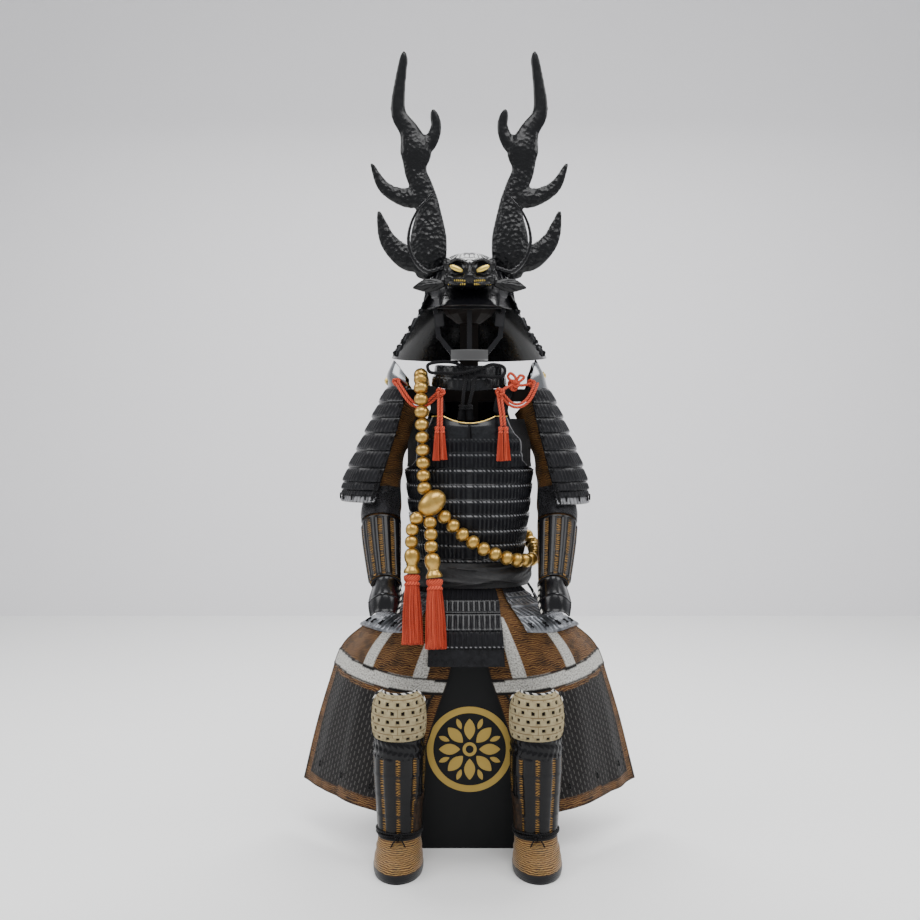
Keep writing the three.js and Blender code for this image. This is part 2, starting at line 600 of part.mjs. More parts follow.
// Sleeves: hollow brocade tubes bent at the elbow, open at the shoulder and at the cuff
const SLEEVE_ROWS = [
  { x: 143, y: 0, z: 1030, halfWidth: 46, halfDepth: 54, tilt: 45, pitch: 0 },
  { x: 172, y: -2, z: 955, halfWidth: 41, halfDepth: 54, tilt: 14, pitch: 0 },
  { x: 201, y: -6, z: 880, halfWidth: 40, halfDepth: 53, tilt: 4, pitch: 4 },
  { x: 207, y: -20, z: 810, halfWidth: 43, halfDepth: 52, tilt: 0, pitch: 12 },
  { x: 208, y: -38, z: 757, halfWidth: 45, halfDepth: 50, tilt: 0, pitch: 24 },
  { x: 204, y: -75, z: 705, halfWidth: 43, halfDepth: 44, tilt: 0, pitch: 39 },
  { x: 197, y: -120, z: 650, halfWidth: 38, halfDepth: 38, tilt: 0, pitch: 39 },
  { x: 190, y: -160, z: 602, halfWidth: 33, halfDepth: 33, tilt: 0, pitch: 39 },
];
const SLEEVE = { thickness: 2, around: 12, rows: 8, puff: 2.5, puffs: 5 };
function sleevePoint(side, turn, place, offset) {
  const row = rowAt(SLEEVE_ROWS, place);
  const [tilt, pitch] = [row.tilt * DEGREE, row.pitch * DEGREE];
  const wide = (row.halfWidth + offset) * Math.cos(turn);
  const deep = (row.halfDepth + offset) * Math.sin(turn);
  return at(
    side * (row.x + wide * Math.cos(tilt)),
    row.y + deep * Math.cos(pitch),
    row.z + wide * Math.sin(tilt) - deep * Math.sin(pitch),
  );
}
const sleevePuff = (turn, place) => (
  SLEEVE.puff * Math.sin(place * SLEEVE.puffs + turn) * Math.max(0, 1 - (place - 2) ** 2 / 6)
);
function sleeveGrid(side, offset) {
  const lastRow = SLEEVE_ROWS.length - 1;
  return evenSteps(SLEEVE.rows).map((step) => Array.from({ length: SLEEVE.around }, (unused, index) => {
    const turn = 2 * Math.PI * index / SLEEVE.around;
    const place = step * lastRow;
    return sleevePoint(side, turn, place, offset + sleevePuff(turn, place));
  }));
}

// Forearm splints: seven rods of lacquered steel round the outside of each forearm
const SPLINTS = { from: 4.45, to: 6.85, rods: 7, start: -155, sweep: 245, rows: 2, clearance: 1.5, base: 1, rise: 5 };
const ROD_LIFTS = [0, 1, 1];
function splintGrid(side, isOuter) {
  const columns = SPLINTS.rods * ROD_LIFTS.length;
  return evenSteps(SPLINTS.rows).map((step) => Array.from({ length: columns + 1 }, (unused, index) => {
    const turn = (SPLINTS.start + SPLINTS.sweep * index / columns) * DEGREE;
    const place = SPLINTS.from + (SPLINTS.to - SPLINTS.from) * step;
    const lift = SPLINTS.base + SPLINTS.rise * ROD_LIFTS[index % ROD_LIFTS.length];
    return sleevePoint(side, turn, place, SPLINTS.clearance + (isOuter ? lift : 0));
  }));
}

// Hand plates: domed plates that cover the back of each hand, in front of the cuff
const HAND_ROWS = [
  [[162, -163, 602], [173, -181, 618], [190, -188, 624], [207, -181, 618], [218, -163, 602]],
  [[157, -198, 571], [172, -218, 585], [191, -224, 591], [210, -218, 584], [226, -198, 567]],
  [[163, -222, 545], [176, -236, 553], [193, -240, 555], [209, -236, 551], [221, -224, 541]],
];
const HAND = { columns: 6, rows: 4, thickness: 2 };

// Shoulder guards: nine laced lames bent round the outside of each upper arm
const GUARD_ROWS = {
  l: [
    { front: 144, outer: 197, z: 1061, reach: 88 }, { front: 172, outer: 250, z: 950, reach: 94 },
    { front: 208, outer: 302, z: 834, reach: 96 }, { front: 220, outer: 304, z: 787, reach: 96 },
  ],
  r: [
    { front: 140, outer: 192, z: 1057, reach: 86 }, { front: 164, outer: 240, z: 950, reach: 92 },
    { front: 193, outer: 283, z: 834, reach: 95 }, { front: 204, outer: 285, z: 782, reach: 95 },
  ],
};
const GUARD = { lames: 9, step: 4, thickness: 2, columns: 6, bulge: 0.68, bulgeReach: 0.68 };
function guardSurface(letter, side) {
  return surfaceThrough(GUARD_ROWS[letter].map(({ front, outer, z, reach }) => {
    const bulge = front + (outer - front) * GUARD.bulge;
    const bulgeReach = reach * GUARD.bulgeReach;
    const points = [[front, -reach], [bulge, -bulgeReach], [outer, 0], [bulge, bulgeReach], [front, reach]];
    return points.map(([x, y]) => at(side * x, y, z));
  }));
}

// Cap plates: bright bent plates on top of each shoulder guard
const CAP_ROWS = {
  l: [
    [[150, -80, 1088], [178, -56, 1122], [182, 0, 1124], [178, 56, 1122], [150, 80, 1088]],
    [[150, -85, 1074], [187, -58, 1088], [200, 0, 1088], [187, 58, 1088], [150, 85, 1074]],
    [[144, -88, 1062.4], [180, -60, 1062.4], [197, 0, 1062.4], [180, 60, 1062.4], [144, 88, 1062.4]],
  ],
  r: [
    [[148, -78, 1092], [158, -55, 1124], [161, 0, 1124], [158, 55, 1124], [148, 78, 1092]],
    [[146, -82, 1074], [172, -57, 1092], [180, 0, 1092], [172, 57, 1092], [146, 82, 1074]],
    [[140, -86, 1058.4], [175, -58, 1058.4], [192, 0, 1058.4], [175, 58, 1058.4], [140, 86, 1058.4]],
  ],
};
const CAP = { columns: 8, thickness: 2 };

SIDES.forEach(([letter, side]) => {
  add(`sleeve_${letter}`, wall(sleeveGrid(side, 0), sleeveGrid(side, -SLEEVE.thickness), true), FINISH.brocade);
  add(`forearm_splints_${letter}`, wall(splintGrid(side, true), splintGrid(side, false)), FINISH.lacquer);
  const handSurface = surfaceThrough(HAND_ROWS.map((row) => row.map(([x, y, z]) => at(side * x, y, z))));
  const handShape = { thickness: HAND.thickness, facing: -side };
  add(`hand_plate_${letter}`, panel(handSurface, HAND.columns, plainRows(0, 1, HAND.rows), handShape), FINISH.darkSteel);
  const guardShape = { thickness: GUARD.thickness, facing: -side };
  const guardRows = lameRows(0, 1, GUARD.lames, GUARD.step);
  const guard = panel(guardSurface(letter, side), GUARD.columns, guardRows, guardShape);
  add(`shoulder_guard_${letter}`, guard, FINISH.laced);
  const capSurface = surfaceThrough(CAP_ROWS[letter].map((row) => row.map(([x, y, z]) => at(side * x, y, z))));
  const cap = panel(capSurface, CAP.columns, plainRows(0, 1, 2), { thickness: CAP.thickness, facing: side });
  add(`guard_cap_${letter}`, cap, FINISH.steel);
});

// Thigh aprons: brocade sheets tied at the waist, from the inner front edge round to the outer side
const APRON_WAIST = [{ z: 603, offset: 0.6 }, { z: 588, offset: 4 }];
const APRON_TURNS = [8, 24, 42, 58];
const APRON_ROWS = [
  [[24, -141, 560], [75, -143, 560], [120, -126, 560], [148, -100, 560]],
  [[33, -183, 500], [110, -189, 504], [196, -188, 506], [246, -98, 500]],
  [[41, -182, 412], [150, -196, 424], [240, -142, 440], [306, -26, 437]],
  [[72, -184, 320], [172, -198, 332], [270, -132, 346], [336, -18, 354]],
  [[103, -185, 227], [192, -198, 236], [294, -122, 250], [362, -12, 270]],
  [[150, -186, 88], [219, -197, 97], [322, -106, 106], [401, -5, 113]],
];
const APRON = { columns: 8, rows: 7, thickness: 2 };
function apronSurface(side) {
  const waist = APRON_WAIST.map(({ z, offset }) => (
    APRON_TURNS.map((turn) => torso(side * turn * DEGREE, z, offset))
  ));
  return surfaceThrough([...waist, ...APRON_ROWS.map((row) => row.map(([x, y, z]) => at(side * x, y, z)))]);
}

// Skirt panels: seven laced panels that hang from the cuirass by their lacing
const SKIRT = { lames: 4, step: 3, thickness: 2, columns: 4, top: 590.4, offset: 10, laceShare: 0.2 };
const skirtRows = [
  { down: 0, lift: 0 }, { down: SKIRT.laceShare - LEDGE, lift: 0 }, ...lameRows(SKIRT.laceShare, 1, SKIRT.lames, SKIRT.step),
];
const FRONT_SKIRT = [
  { z: 590.2, left: -70, right: 60, y: -131, bow: 9 }, { z: 566, left: -83, right: 67, y: -152, bow: 5 },
  { z: 538, left: -86, right: 70, y: -170, bow: 4 }, { z: 502, left: -90, right: 74, y: -191, bow: 4 },
  { z: 465, left: -93, right: 77, y: -198, bow: 4 }, { z: 424, left: -95, right: 79, y: -202, bow: 4 },
];
const SIDE_SKIRT = [
  { z: 566, x: 152, front: -22, back: 44, bow: 4 }, { z: 538, x: 164, front: -24, back: 48, bow: 4 },
  { z: 502, x: 182, front: -26, back: 52, bow: 4 }, { z: 465, x: 190, front: -28, back: 56, bow: 4 },
  { z: 440, x: 195, front: -29, back: 58, bow: 4 },
];
const BACK_SKIRT = [
  { z: 566, y: 132, near: 6, far: 88, drop: 14 }, { z: 538, y: 150, near: 7, far: 94, drop: 10 },
  { z: 502, y: 183, near: 8, far: 100, drop: 2 }, { z: 465, y: 187, near: 9, far: 105, drop: 2 },
  { z: 440, y: 190, near: 10, far: 108, drop: 2 },
];
const SIDE_TURNS = [80, 95, 110];
const BACK_TURNS = [177, 158, 140];
const BACK_RAISE = 1.2;
const hemRow = (side, turns, raise) => (
  turns.map((turn) => torso(side * turn * DEGREE, SKIRT.top + raise, SKIRT.offset))
);

const frontSkirt = surfaceThrough(FRONT_SKIRT.map(({ z, left, right, y, bow }) => (
  [at(left, y, z), at((left + right) / 2, y - bow, z), at(right, y, z)]
)));
add('skirt_front', panel(frontSkirt, SKIRT.columns, skirtRows, { thickness: SKIRT.thickness, facing: -1 }), FINISH.laced);

const FRONT_SIDE = { near: 0.4, far: 0.97, from: 0.161, to: 0.44, rise: 7.5, topRise: 8.5 };
SIDES.forEach(([letter, side]) => {
  const apron = apronSurface(side);
  const apronShape = { thickness: APRON.thickness, facing: -side };
  add(`thigh_apron_${letter}`, panel(apron, APRON.columns, plainRows(0, 1, APRON.rows), apronShape), FINISH.brocade);
  const overApron = (across, down) => {
    const place = FRONT_SIDE.near + (FRONT_SIDE.far - FRONT_SIDE.near) * across;
    const depth = FRONT_SIDE.from + (FRONT_SIDE.to - FRONT_SIDE.from) * down;
    const rise = FRONT_SIDE.topRise + (FRONT_SIDE.rise - FRONT_SIDE.topRise) * Math.min(1, down * 2);
    return apron(place, depth).addScaledVector(normalOf(apron, place, depth), -side * rise);
  };
  const outward = { thickness: SKIRT.thickness, facing: -side };
  add(`skirt_front_${letter}`, panel(overApron, SKIRT.columns, skirtRows, outward), FINISH.laced);
  const sideSkirt = surfaceThrough([hemRow(side, SIDE_TURNS, 0), ...SIDE_SKIRT.map(({ z, x, front, back, bow }) => (
    [at(side * x, front, z), at(side * (x + bow), (front + back) / 2, z), at(side * x, back, z)]
  ))]);
  add(`skirt_side_${letter}`, panel(sideSkirt, SKIRT.columns, skirtRows, outward), FINISH.laced);
  const backSkirt = surfaceThrough([hemRow(side, BACK_TURNS, BACK_RAISE), ...BACK_SKIRT.map(({ z, y, near, far, drop }) => (
    [at(side * near, y, z), at(side * (near + far) / 2, y, z), at(side * far, y - drop, z)]
  ))]);
  const backward = { thickness: SKIRT.thickness, facing: -side };
  add(`skirt_back_${letter}`, panel(backSkirt, SKIRT.columns, skirtRows, backward), FINISH.laced);
});

// Legs: hollow shin guards with raised splints, domed knee guards and short open shoes
const LEG_X = { l: -156, r: 146 };
const SHIN_ROWS = [
  { z: 282.8, y: -257, halfWidth: 53, halfDepth: 52 }, { z: 240, y: -257, halfWidth: 55, halfDepth: 54 },
  { z: 190, y: -256, halfWidth: 54, halfDepth: 53 }, { z: 120, y: -252, halfWidth: 49, halfDepth: 48 },
  { z: 68.3, y: -250, halfWidth: 46, halfDepth: 45 },
];
const SHIN = { around: 18, rows: 4, thickness: 2.5, rib: 3 };
function shinGrid(letter, isOuter) {
  return evenSteps(SHIN.rows).map((step) => {
    const row = rowAt(SHIN_ROWS, step * (SHIN_ROWS.length - 1));
    return Array.from({ length: SHIN.around }, (unused, index) => {
      const turn = 2 * Math.PI * index / SHIN.around;
      const rib = index % 2 && Math.cos(turn) > -0.2 ? SHIN.rib : 0;
      const grow = isOuter ? SHIN.thickness + rib : 0;
      return at(
        LEG_X[letter] + (row.halfWidth - SHIN.thickness + grow) * Math.sin(turn),
        row.y - (row.halfDepth - SHIN.thickness + grow) * Math.cos(turn),
        row.z,
      );
    });
  });
}
const KNEE_ROWS = [
  { z: 383, halfWidth: 34, front: 46 }, { z: 368, halfWidth: 51, front: 60 }, { z: 335, halfWidth: 57, front: 66 },
  { z: 300, halfWidth: 56, front: 64 }, { z: 285, halfWidth: 52, front: 52 },
];
const KNEE = { centreY: -257, halfSweep: 84, columns: 8, rows: 4, thickness: 3 };
const SHOE_ROWS = [
  { z: 68, y: -250, halfWidth: 46, halfDepth: 45 }, { z: 56, y: -256, halfWidth: 48, halfDepth: 52 },
  { z: 44, y: -270, halfWidth: 50, halfDepth: 68 }, { z: 28, y: -288, halfWidth: 53, halfDepth: 86 },
  { z: 8, y: -292, halfWidth: 53, halfDepth: 90 }, { z: 0, y: -292, halfWidth: 51, halfDepth: 88 },
];
const SHOE = { around: 12, thickness: 3.5, sole: 5 };
function shoeRings(letter, isOuter) {
  return SHOE_ROWS.map(({ z, y, halfWidth, halfDepth }, index) => (
    Array.from({ length: SHOE.around }, (unused, corner) => {
      const turn = 2 * Math.PI * corner / SHOE.around;
      const shrink = isOuter ? 0 : SHOE.thickness;
      const isSole = index === SHOE_ROWS.length - 1;
      const height = isSole && !isOuter ? SHOE.sole : z;
      return at(LEG_X[letter] + (halfWidth - shrink) * Math.sin(turn), y - (halfDepth - shrink) * Math.cos(turn), height);
    })
  ));
}
SIDES.forEach(([letter]) => {
  add(`shin_guard_${letter}`, wall(shinGrid(letter, true), shinGrid(letter, false), true), FINISH.lacquer);
  const knee = surfaceThrough(KNEE_ROWS.map(({ z, halfWidth, front }) => evenSteps(6).map((step) => {
    const turn = KNEE.halfSweep * DEGREE * (2 * step - 1);
    return at(LEG_X[letter] + halfWidth * Math.sin(turn), KNEE.centreY - front * Math.cos(turn), z);
  })));
  const kneeShape = { thickness: KNEE.thickness, facing: -1 };
  add(`knee_guard_${letter}`, panel(knee, KNEE.columns, plainRows(0, 1, KNEE.rows), kneeShape), FINISH.ivory);
  add(`shoe_${letter}`, cup(shoeRings(letter, true), shoeRings(letter, false)), FINISH.brocade);
});

// Large bead: a turned oval bead on the chest where the strand and its two pendants meet
const BIG_BEAD = { centre: [-86, -160, 790], long: 36, short: 26, tilt: 45, sides: 12 };
function buildBigBead() {
  const bead = new THREE.SphereGeometry(1, BIG_BEAD.sides, 8);
  bead.rotateX(90 * DEGREE);
  bead.scale(BIG_BEAD.short, BIG_BEAD.short, BIG_BEAD.long);
  bead.rotateY(BIG_BEAD.tilt * DEGREE);
  bead.translate(...BIG_BEAD.centre);
  add('big_bead', joined([bead]), FINISH.gold);
}
buildBigBead();

// Bead strand: turned beads from the large bead over the left shoulder, round the back and to the front again
const STRAND_FREE = [
  [-98.2, -149, 811.5], [-104, -144, 824], [-106, -141, 860], [-107, -140, 900], [-109, -137, 950],
  [-111, -133, 1000], [-112, -129, 1032], [-113, -112, 1064], [-114, -82, 1084], [-115.5, -42, 1090],
  [-113.2, 0, 1077.6], [-112.8, 42, 1076], [-112, 86, 1062], [-108, 120, 1030],
];
const STRAND_ROUND = [
  { turn: -140, z: 985, offset: 25 }, { turn: -153, z: 925, offset: 24 }, { turn: -171, z: 862, offset: 24 },
  { turn: 170, z: 805, offset: 24 }, { turn: 148, z: 750, offset: 25 }, { turn: 126, z: 706, offset: 28 },
  { turn: 106, z: 678, offset: 32 }, { turn: 88, z: 662, offset: 33 }, { turn: 70, z: 655, offset: 33 },
  { turn: 56, z: 654, offset: 33 }, { turn: 44, z: 655, offset: 33 }, { turn: 32.4, z: 660, offset: 33 },
  { turn: 22, z: 667, offset: 31 }, { turn: 13.4, z: 677, offset: 28 }, { turn: 5.4, z: 689, offset: 26 },
  { turn: 0.3, z: 704, offset: 25 }, { turn: -4.3, z: 721, offset: 25 }, { turn: -9.9, z: 740, offset: 25 },
];
const STRAND_END = [[-60, -158, 761], [-68.5, -158.5, 769.5]];
const BEADS = { count: 49, radius: 15.5, core: 5.5, sides: 6 };
const BEAD_PROFILE = [{ share: 0, size: 0 }, { share: 0.26, size: 0.9 }, { share: 0.74, size: 0.9 }];
function buildStrand() {
  const round = STRAND_ROUND.map(({ turn, z, offset }) => torso(turn * DEGREE, z, offset));
  const path = smoothPath([...STRAND_FREE.map((point) => at(...point)), ...round, ...STRAND_END.map((point) => at(...point))]);
  path.arcLengthDivisions = 600;
  const stations = [];
  for (let bead = 0; bead < BEADS.count; bead += 1) {
    BEAD_PROFILE.forEach(({ share, size }) => stations.push({ step: (bead + share) / BEADS.count, size }));
  }
  stations.push({ step: 1, size: 0 });
  const sizes = new Map(stations.map(({ step, size }) => [step, BEADS.core + (BEADS.radius - BEADS.core) * size]));
  const steps = stations.map(({ step }) => step);
  add('bead_strand', loft(ringsAlong(path, steps, BEADS.sides, (step) => [sizes.get(step), sizes.get(step)], at(0.35, 0.8, 0.5))), FINISH.gold);
}
buildStrand();

// Pendants: three beads and a gourd bead each, turned in one piece with the coral collar below
const PENDANT_PROFILE = [
  { down: 0, radius: 5 }, { down: 5, radius: 13 }, { down: 13, radius: 15.5 }, { down: 21, radius: 13 },
  { down: 26, radius: 5 }, { down: 31, radius: 13 }, { down: 39, radius: 15.5 }, { down: 47, radius: 13 },
  { down: 52, radius: 5 }, { down: 57, radius: 13 }, { down: 65, radius: 15.5 }, { down: 73, radius: 13 },
  { down: 78, radius: 6 }, { down: 84, radius: 15 }, { down: 97, radius: 18.5 }, { down: 110, radius: 14 },
  { down: 116, radius: 12.5 }, { down: 124, radius: 18 }, { down: 131, radius: 19 },
];
const PENDANT_PATHS = {
  l: [[-110.3, -167, 765.1], [-124, -171, 752], [-131, -174, 727], [-132, -177, 700], [-130.5, -180, 668], [-131, -183, 633]],
  r: [[-91.1, -166.7, 759.5], [-90, -173, 740], [-88, -180, 717], [-87, -185, 690], [-84, -189, 658], [-80, -193, 624]],
};
const PENDANT_SIDES = 6;

// Tassels: a bound head with thick locks of silk below it
const lockRing = ({ count, share }) => (
  Array.from({ length: count }, (unused, index) => ({ turn: 2 * Math.PI * (index + share) / count, share }))
);
function buildTassel({ top, bottom, headLength, headRadius, headSides, spread, flatness, lockRadius, rings, sides }) {
  const [start, end] = [at(...top), at(...bottom)];
  const axis = end.clone().sub(start).normalize();
  const across = new THREE.Vector3().crossVectors(axis, at(0, 1, 0)).normalize();
  const over = new THREE.Vector3().crossVectors(across, axis).normalize();
  const place = (down, wide, deep) => start.clone().addScaledVector(axis, down)
    .addScaledVector(across, wide).addScaledVector(over, deep);
  const ring = (down, radius, corners, wide = 0, deep = 0) => Array.from({ length: corners }, (unused, index) => {
    const turn = 2 * Math.PI * (index + 0.5) / corners;
    return place(down, wide + radius * Math.cos(turn), deep + radius * Math.sin(turn));
  });
  const length = start.distanceTo(end);
  const headShape = [[0, 0.6], [0.15, 1], [0.85, 1], [1, 0.85]];
  const head = loft(headShape.map(([share, size]) => ring(headLength * share, headRadius * size, headSides)));
  const locks = rings.flatMap(lockRing).map(({ turn, share }) => {
    const root = [headRadius * 0.8 * share * Math.cos(turn), headRadius * 0.8 * share * Math.sin(turn)];
    const tip = [spread * share * Math.cos(turn), spread * flatness * share * Math.sin(turn)];
    return loft([
      ring(headLength * 0.7, lockRadius * 0.8, sides, ...root),
      ring(length, lockRadius, sides, ...tip),
    ]);
  });
  return [head, ...locks];
}
const LARGE_TASSEL = {
  headLength: 26, headRadius: 19, headSides: 8, spread: 20, flatness: 0.72, lockRadius: 3.3, sides: 4,
  rings: [{ count: 9, share: 1 }, { count: 3, share: 0.45 }],
};
const LARGE_TASSELS = {
  l: { top: [-131, -184.5, 630.6], bottom: [-128, -227, 478] },
  r: { top: [-79.6, -194.5, 622.2], bottom: [-75, -230, 468] },
};
const SMALL_TASSEL = {
  headLength: 14, headRadius: 6.4, headSides: 6, spread: 6, flatness: 1, lockRadius: 2.5, sides: 3,
  rings: [{ count: 4, share: 1 }],
};
const SMALL_TASSELS = {
  l: [{ top: [-74, -146, 966.9], bottom: [-77, -149, 887] }, { top: [-63, -146, 966.9], bottom: [-59, -149, 889] }],
  r: [{ top: [72, -146, 966], bottom: [70, -149, 886] }, { top: [83, -146, 966], bottom: [87, -149, 887] }],
};

// Shoulder cords: a doubled coral cord from each cap plate to a knot over the strap, then down to its tassels
const CORD = { halfWidth: 7, halfDepth: 3.7, steps: 16, sides: 6 };
const CORD_PATHS = {
  l: [
    [-171, -81.5, 1072], [-159, -92, 1054], [-145, -100.5, 1033], [-129, -103, 1018], [-112, -106.5, 1016],
    [-96, -107.5, 1022], [-82, -110.5, 1034], [-71, -117, 1042], [-68, -126, 1036], [-68, -134, 1018],
    [-68, -141, 995], [-68.5, -146, 967.5],
  ],
  r: [
    [158, -83, 1070], [151, -93, 1053], [139, -100.2, 1031], [122, -106, 1017], [106, -107.5, 1015],
    [92, -109.5, 1022], [81, -112, 1034], [72, -117, 1042], [70, -126, 1036], [72, -134, 1018],
    [75, -141, 995], [77.5, -146, 967.5],
  ],
};

SIDES.forEach(([letter]) => {
  const pendantPath = smoothPath(PENDANT_PATHS[letter].map((point) => at(...point)));
  const length = PENDANT_PROFILE.at(-1).down;
  const radii = new Map(PENDANT_PROFILE.map(({ down, radius }) => [down / length, radius]));
  const pendant = ringsAlong(pendantPath, [...radii.keys()], PENDANT_SIDES, (step) => [radii.get(step), radii.get(step)]);
  add(`pendant_${letter}`, loft(pendant), FINISH.gold);
  add(`tassel_large_${letter}`, joined(buildTassel({ ...LARGE_TASSEL, ...LARGE_TASSELS[letter] })), FINISH.coral);
  const pair = SMALL_TASSELS[letter].flatMap((ends) => buildTassel({ ...SMALL_TASSEL, ...ends }));
  add(`tassel_pair_${letter}`, joined(pair), FINISH.coral);
  const cordPath = smoothPath(CORD_PATHS[letter].map((point) => at(...point)));
  const size = () => [CORD.halfWidth, CORD.halfDepth];
  const cord = ringsAlong(cordPath, evenSteps(CORD.steps), CORD.sides, size, at(0, 1, 0));
  add(`shoulder_cord_${letter}`, loft(cord), FINISH.coral);
});

// Chin cord: a round black cord tied in a bow under the chin, its two ends hanging to small tassels
const CHIN_CORD = { radius: 4, steps: 25, sides: 6 };
const CHIN_CORD_POINTS = [
  [-16, -120, 1018.4], [-13, -119, 1050], [-8, -107, 1082], [-9, -102.6, 1099], [-32, -106, 1114],
  [-70, -108, 1116.5], [-97, -110, 1109], [-93, -109, 1094], [-60, -106, 1091], [-28, -108, 1090],
  [-2, -115, 1094], [24, -107, 1101], [54, -107, 1111], [81, -109, 1103], [79, -109, 1085],
  [50, -106, 1082], [20, -105.5, 1085], [10, -108, 1076], [7, -119, 1050], [-1, -120, 1018.4],
];
const CHIN_TASSEL = {
  headLength: 10, headRadius: 8.9, headSides: 6, spread: 6.5, flatness: 0.8, lockRadius: 2.6, sides: 3, rings: [{ count: 3, share: 1 }],
};
function buildChinCord() {
  const path = smoothPath(CHIN_CORD_POINTS.map((point) => at(...point)));
  const size = () => [CHIN_CORD.radius, CHIN_CORD.radius];
  const rings = ringsAlong(path, evenSteps(CHIN_CORD.steps), CHIN_CORD.sides, size, at(0, 1, 0));
  add('chin_cord', loft(rings), FINISH.blackCloth);
  const ends = [
    { top: [-16, -120, 1016.8], bottom: [-19, -122, 981] }, { top: [-1, -120, 1016.8], bottom: [2, -122, 981] },
  ];
  add('chin_tassels', joined(ends.flatMap((end) => buildTassel({ ...CHIN_TASSEL, ...end }))), FINISH.blackCloth);
}
buildChinCord();

export default armour;
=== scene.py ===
import math
import random

import bmesh
import bpy
import numpy as np
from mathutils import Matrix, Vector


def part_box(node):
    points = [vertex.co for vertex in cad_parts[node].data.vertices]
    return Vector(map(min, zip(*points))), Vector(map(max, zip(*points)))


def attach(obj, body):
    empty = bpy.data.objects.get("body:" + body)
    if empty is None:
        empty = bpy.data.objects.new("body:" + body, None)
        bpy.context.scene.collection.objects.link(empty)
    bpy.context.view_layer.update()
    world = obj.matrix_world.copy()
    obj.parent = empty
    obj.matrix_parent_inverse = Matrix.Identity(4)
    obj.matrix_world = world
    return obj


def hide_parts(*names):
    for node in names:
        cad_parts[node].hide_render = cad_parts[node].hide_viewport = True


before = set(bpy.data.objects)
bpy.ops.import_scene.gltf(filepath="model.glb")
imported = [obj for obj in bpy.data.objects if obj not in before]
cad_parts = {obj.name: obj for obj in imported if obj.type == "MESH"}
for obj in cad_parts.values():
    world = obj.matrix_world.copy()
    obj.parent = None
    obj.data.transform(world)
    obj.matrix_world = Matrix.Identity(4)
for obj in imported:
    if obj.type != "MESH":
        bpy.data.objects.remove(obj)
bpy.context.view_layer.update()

# Camera
# It stands 2.7 m in front of the chest, level with the sash, and looks down by one degree.
LENS = 0.0435
SENSOR = 0.036
CAMERA_PLACE = (-0.022, -2.70, 0.935)
CAMERA_DROP = 1.03
camera_data = bpy.data.cameras.new("camera")
camera_data.lens = LENS * 1000
camera_data.sensor_width = SENSOR * 1000
camera_data.clip_end = 30
camera = bpy.data.objects.new("camera", camera_data)
camera.location = CAMERA_PLACE
camera.rotation_euler = (math.radians(90 - CAMERA_DROP), 0, 0)
bpy.context.scene.collection.objects.link(camera)
bpy.context.scene.camera = camera

# Cords
# Coral silk cords tie each shoulder guard to the breast plate, doubled, knotted and left to hang to
# small tassels. A round black cord holds the helmet and is tied in a bow under the chin.
TAU = 2 * math.pi


def unit(vectors):
    lengths = np.linalg.norm(vectors, axis=-1, keepdims=True)
    return vectors / np.maximum(lengths, 1e-12)


def smooth_line(points, places):
    """Points on a centripetal curve through the given points, at places from 0 to 1."""
    points = np.asarray(points, float)
    before = 2 * points[:1] - points[1:2]
    after = 2 * points[-1:] - points[-2:-1]
    chain = np.concatenate([before, points, after])
    reach = np.clip(np.asarray(places, float), 0, 1) * (len(points) - 1)
    start = np.minimum(reach.astype(int), len(points) - 2)
    t = (reach - start).reshape([-1] + [1] * (points.ndim - 1))
    p0, p1, p2, p3 = (chain[start + step] for step in range(4))
    d0, d1, d2 = (
        np.maximum(np.linalg.norm(b - a, axis=-1, keepdims=True), 1e-6) ** 0.5
        for a, b in ((p0, p1), (p1, p2), (p2, p3))
    )
    leave = ((p1 - p0) / d0 - (p2 - p0) / (d0 + d1) + (p2 - p1) / d1) * d1
    arrive = ((p2 - p1) / d1 - (p3 - p1) / (d1 + d2) + (p3 - p2) / d2) * d1
    return p1 + t * leave + t**2 * (3 * (p2 - p1) - 2 * leave - arrive) + t**3 * (2 * (p1 - p2) + leave
        + arrive)


def line_length(path):
    return float(np.linalg.norm(np.diff(path, axis=0), axis=1).sum())


def evenly(path, count):
    """The same line with points at even distances."""
    travelled = np.concatenate([[0], np.cumsum(np.linalg.norm(np.diff(path, axis=0), axis=1))])
    wanted = np.linspace(0, travelled[-1], count)
    return np.stack([np.interp(wanted, travelled, path[:, axis]) for axis in range(3)], axis=1)


def rings_along(path, across_sizes, over_sizes, sides, over=(0.0, -1.0, 0.0), twist=0.0):
    """Rings of points round a line: half sizes across and over, which faces the given direction."""
    tangents = unit(np.gradient(path, axis=0))
    across = unit(np.cross(tangents, np.broadcast_to(over, path.shape)))
    up = unit(np.cross(across, tangents))
    turns = TAU * np.arange(sides) / sides + twist * np.linspace(0, 1, len(path))[:, None]
    wide = np.cos(turns) * np.reshape(across_sizes, (-1, 1))
    deep = np.sin(turns) * np.reshape(over_sizes, (-1, 1))
    return path[:, None] + wide[..., None] * across[:, None] + deep[..., None] * up[:, None]


# A back layer takes every sixth column of its front, and an even one every fourth row.
BACK_COLUMN, EASY_ROW = 6, 4


def picks_of(count, step, closed):
    """Every step-th place of a count, with the last one kept on an open edge."""
    picks = list(range(0, count, step))
    return picks if closed or picks[-1] == count - 1 else picks + [count - 1]


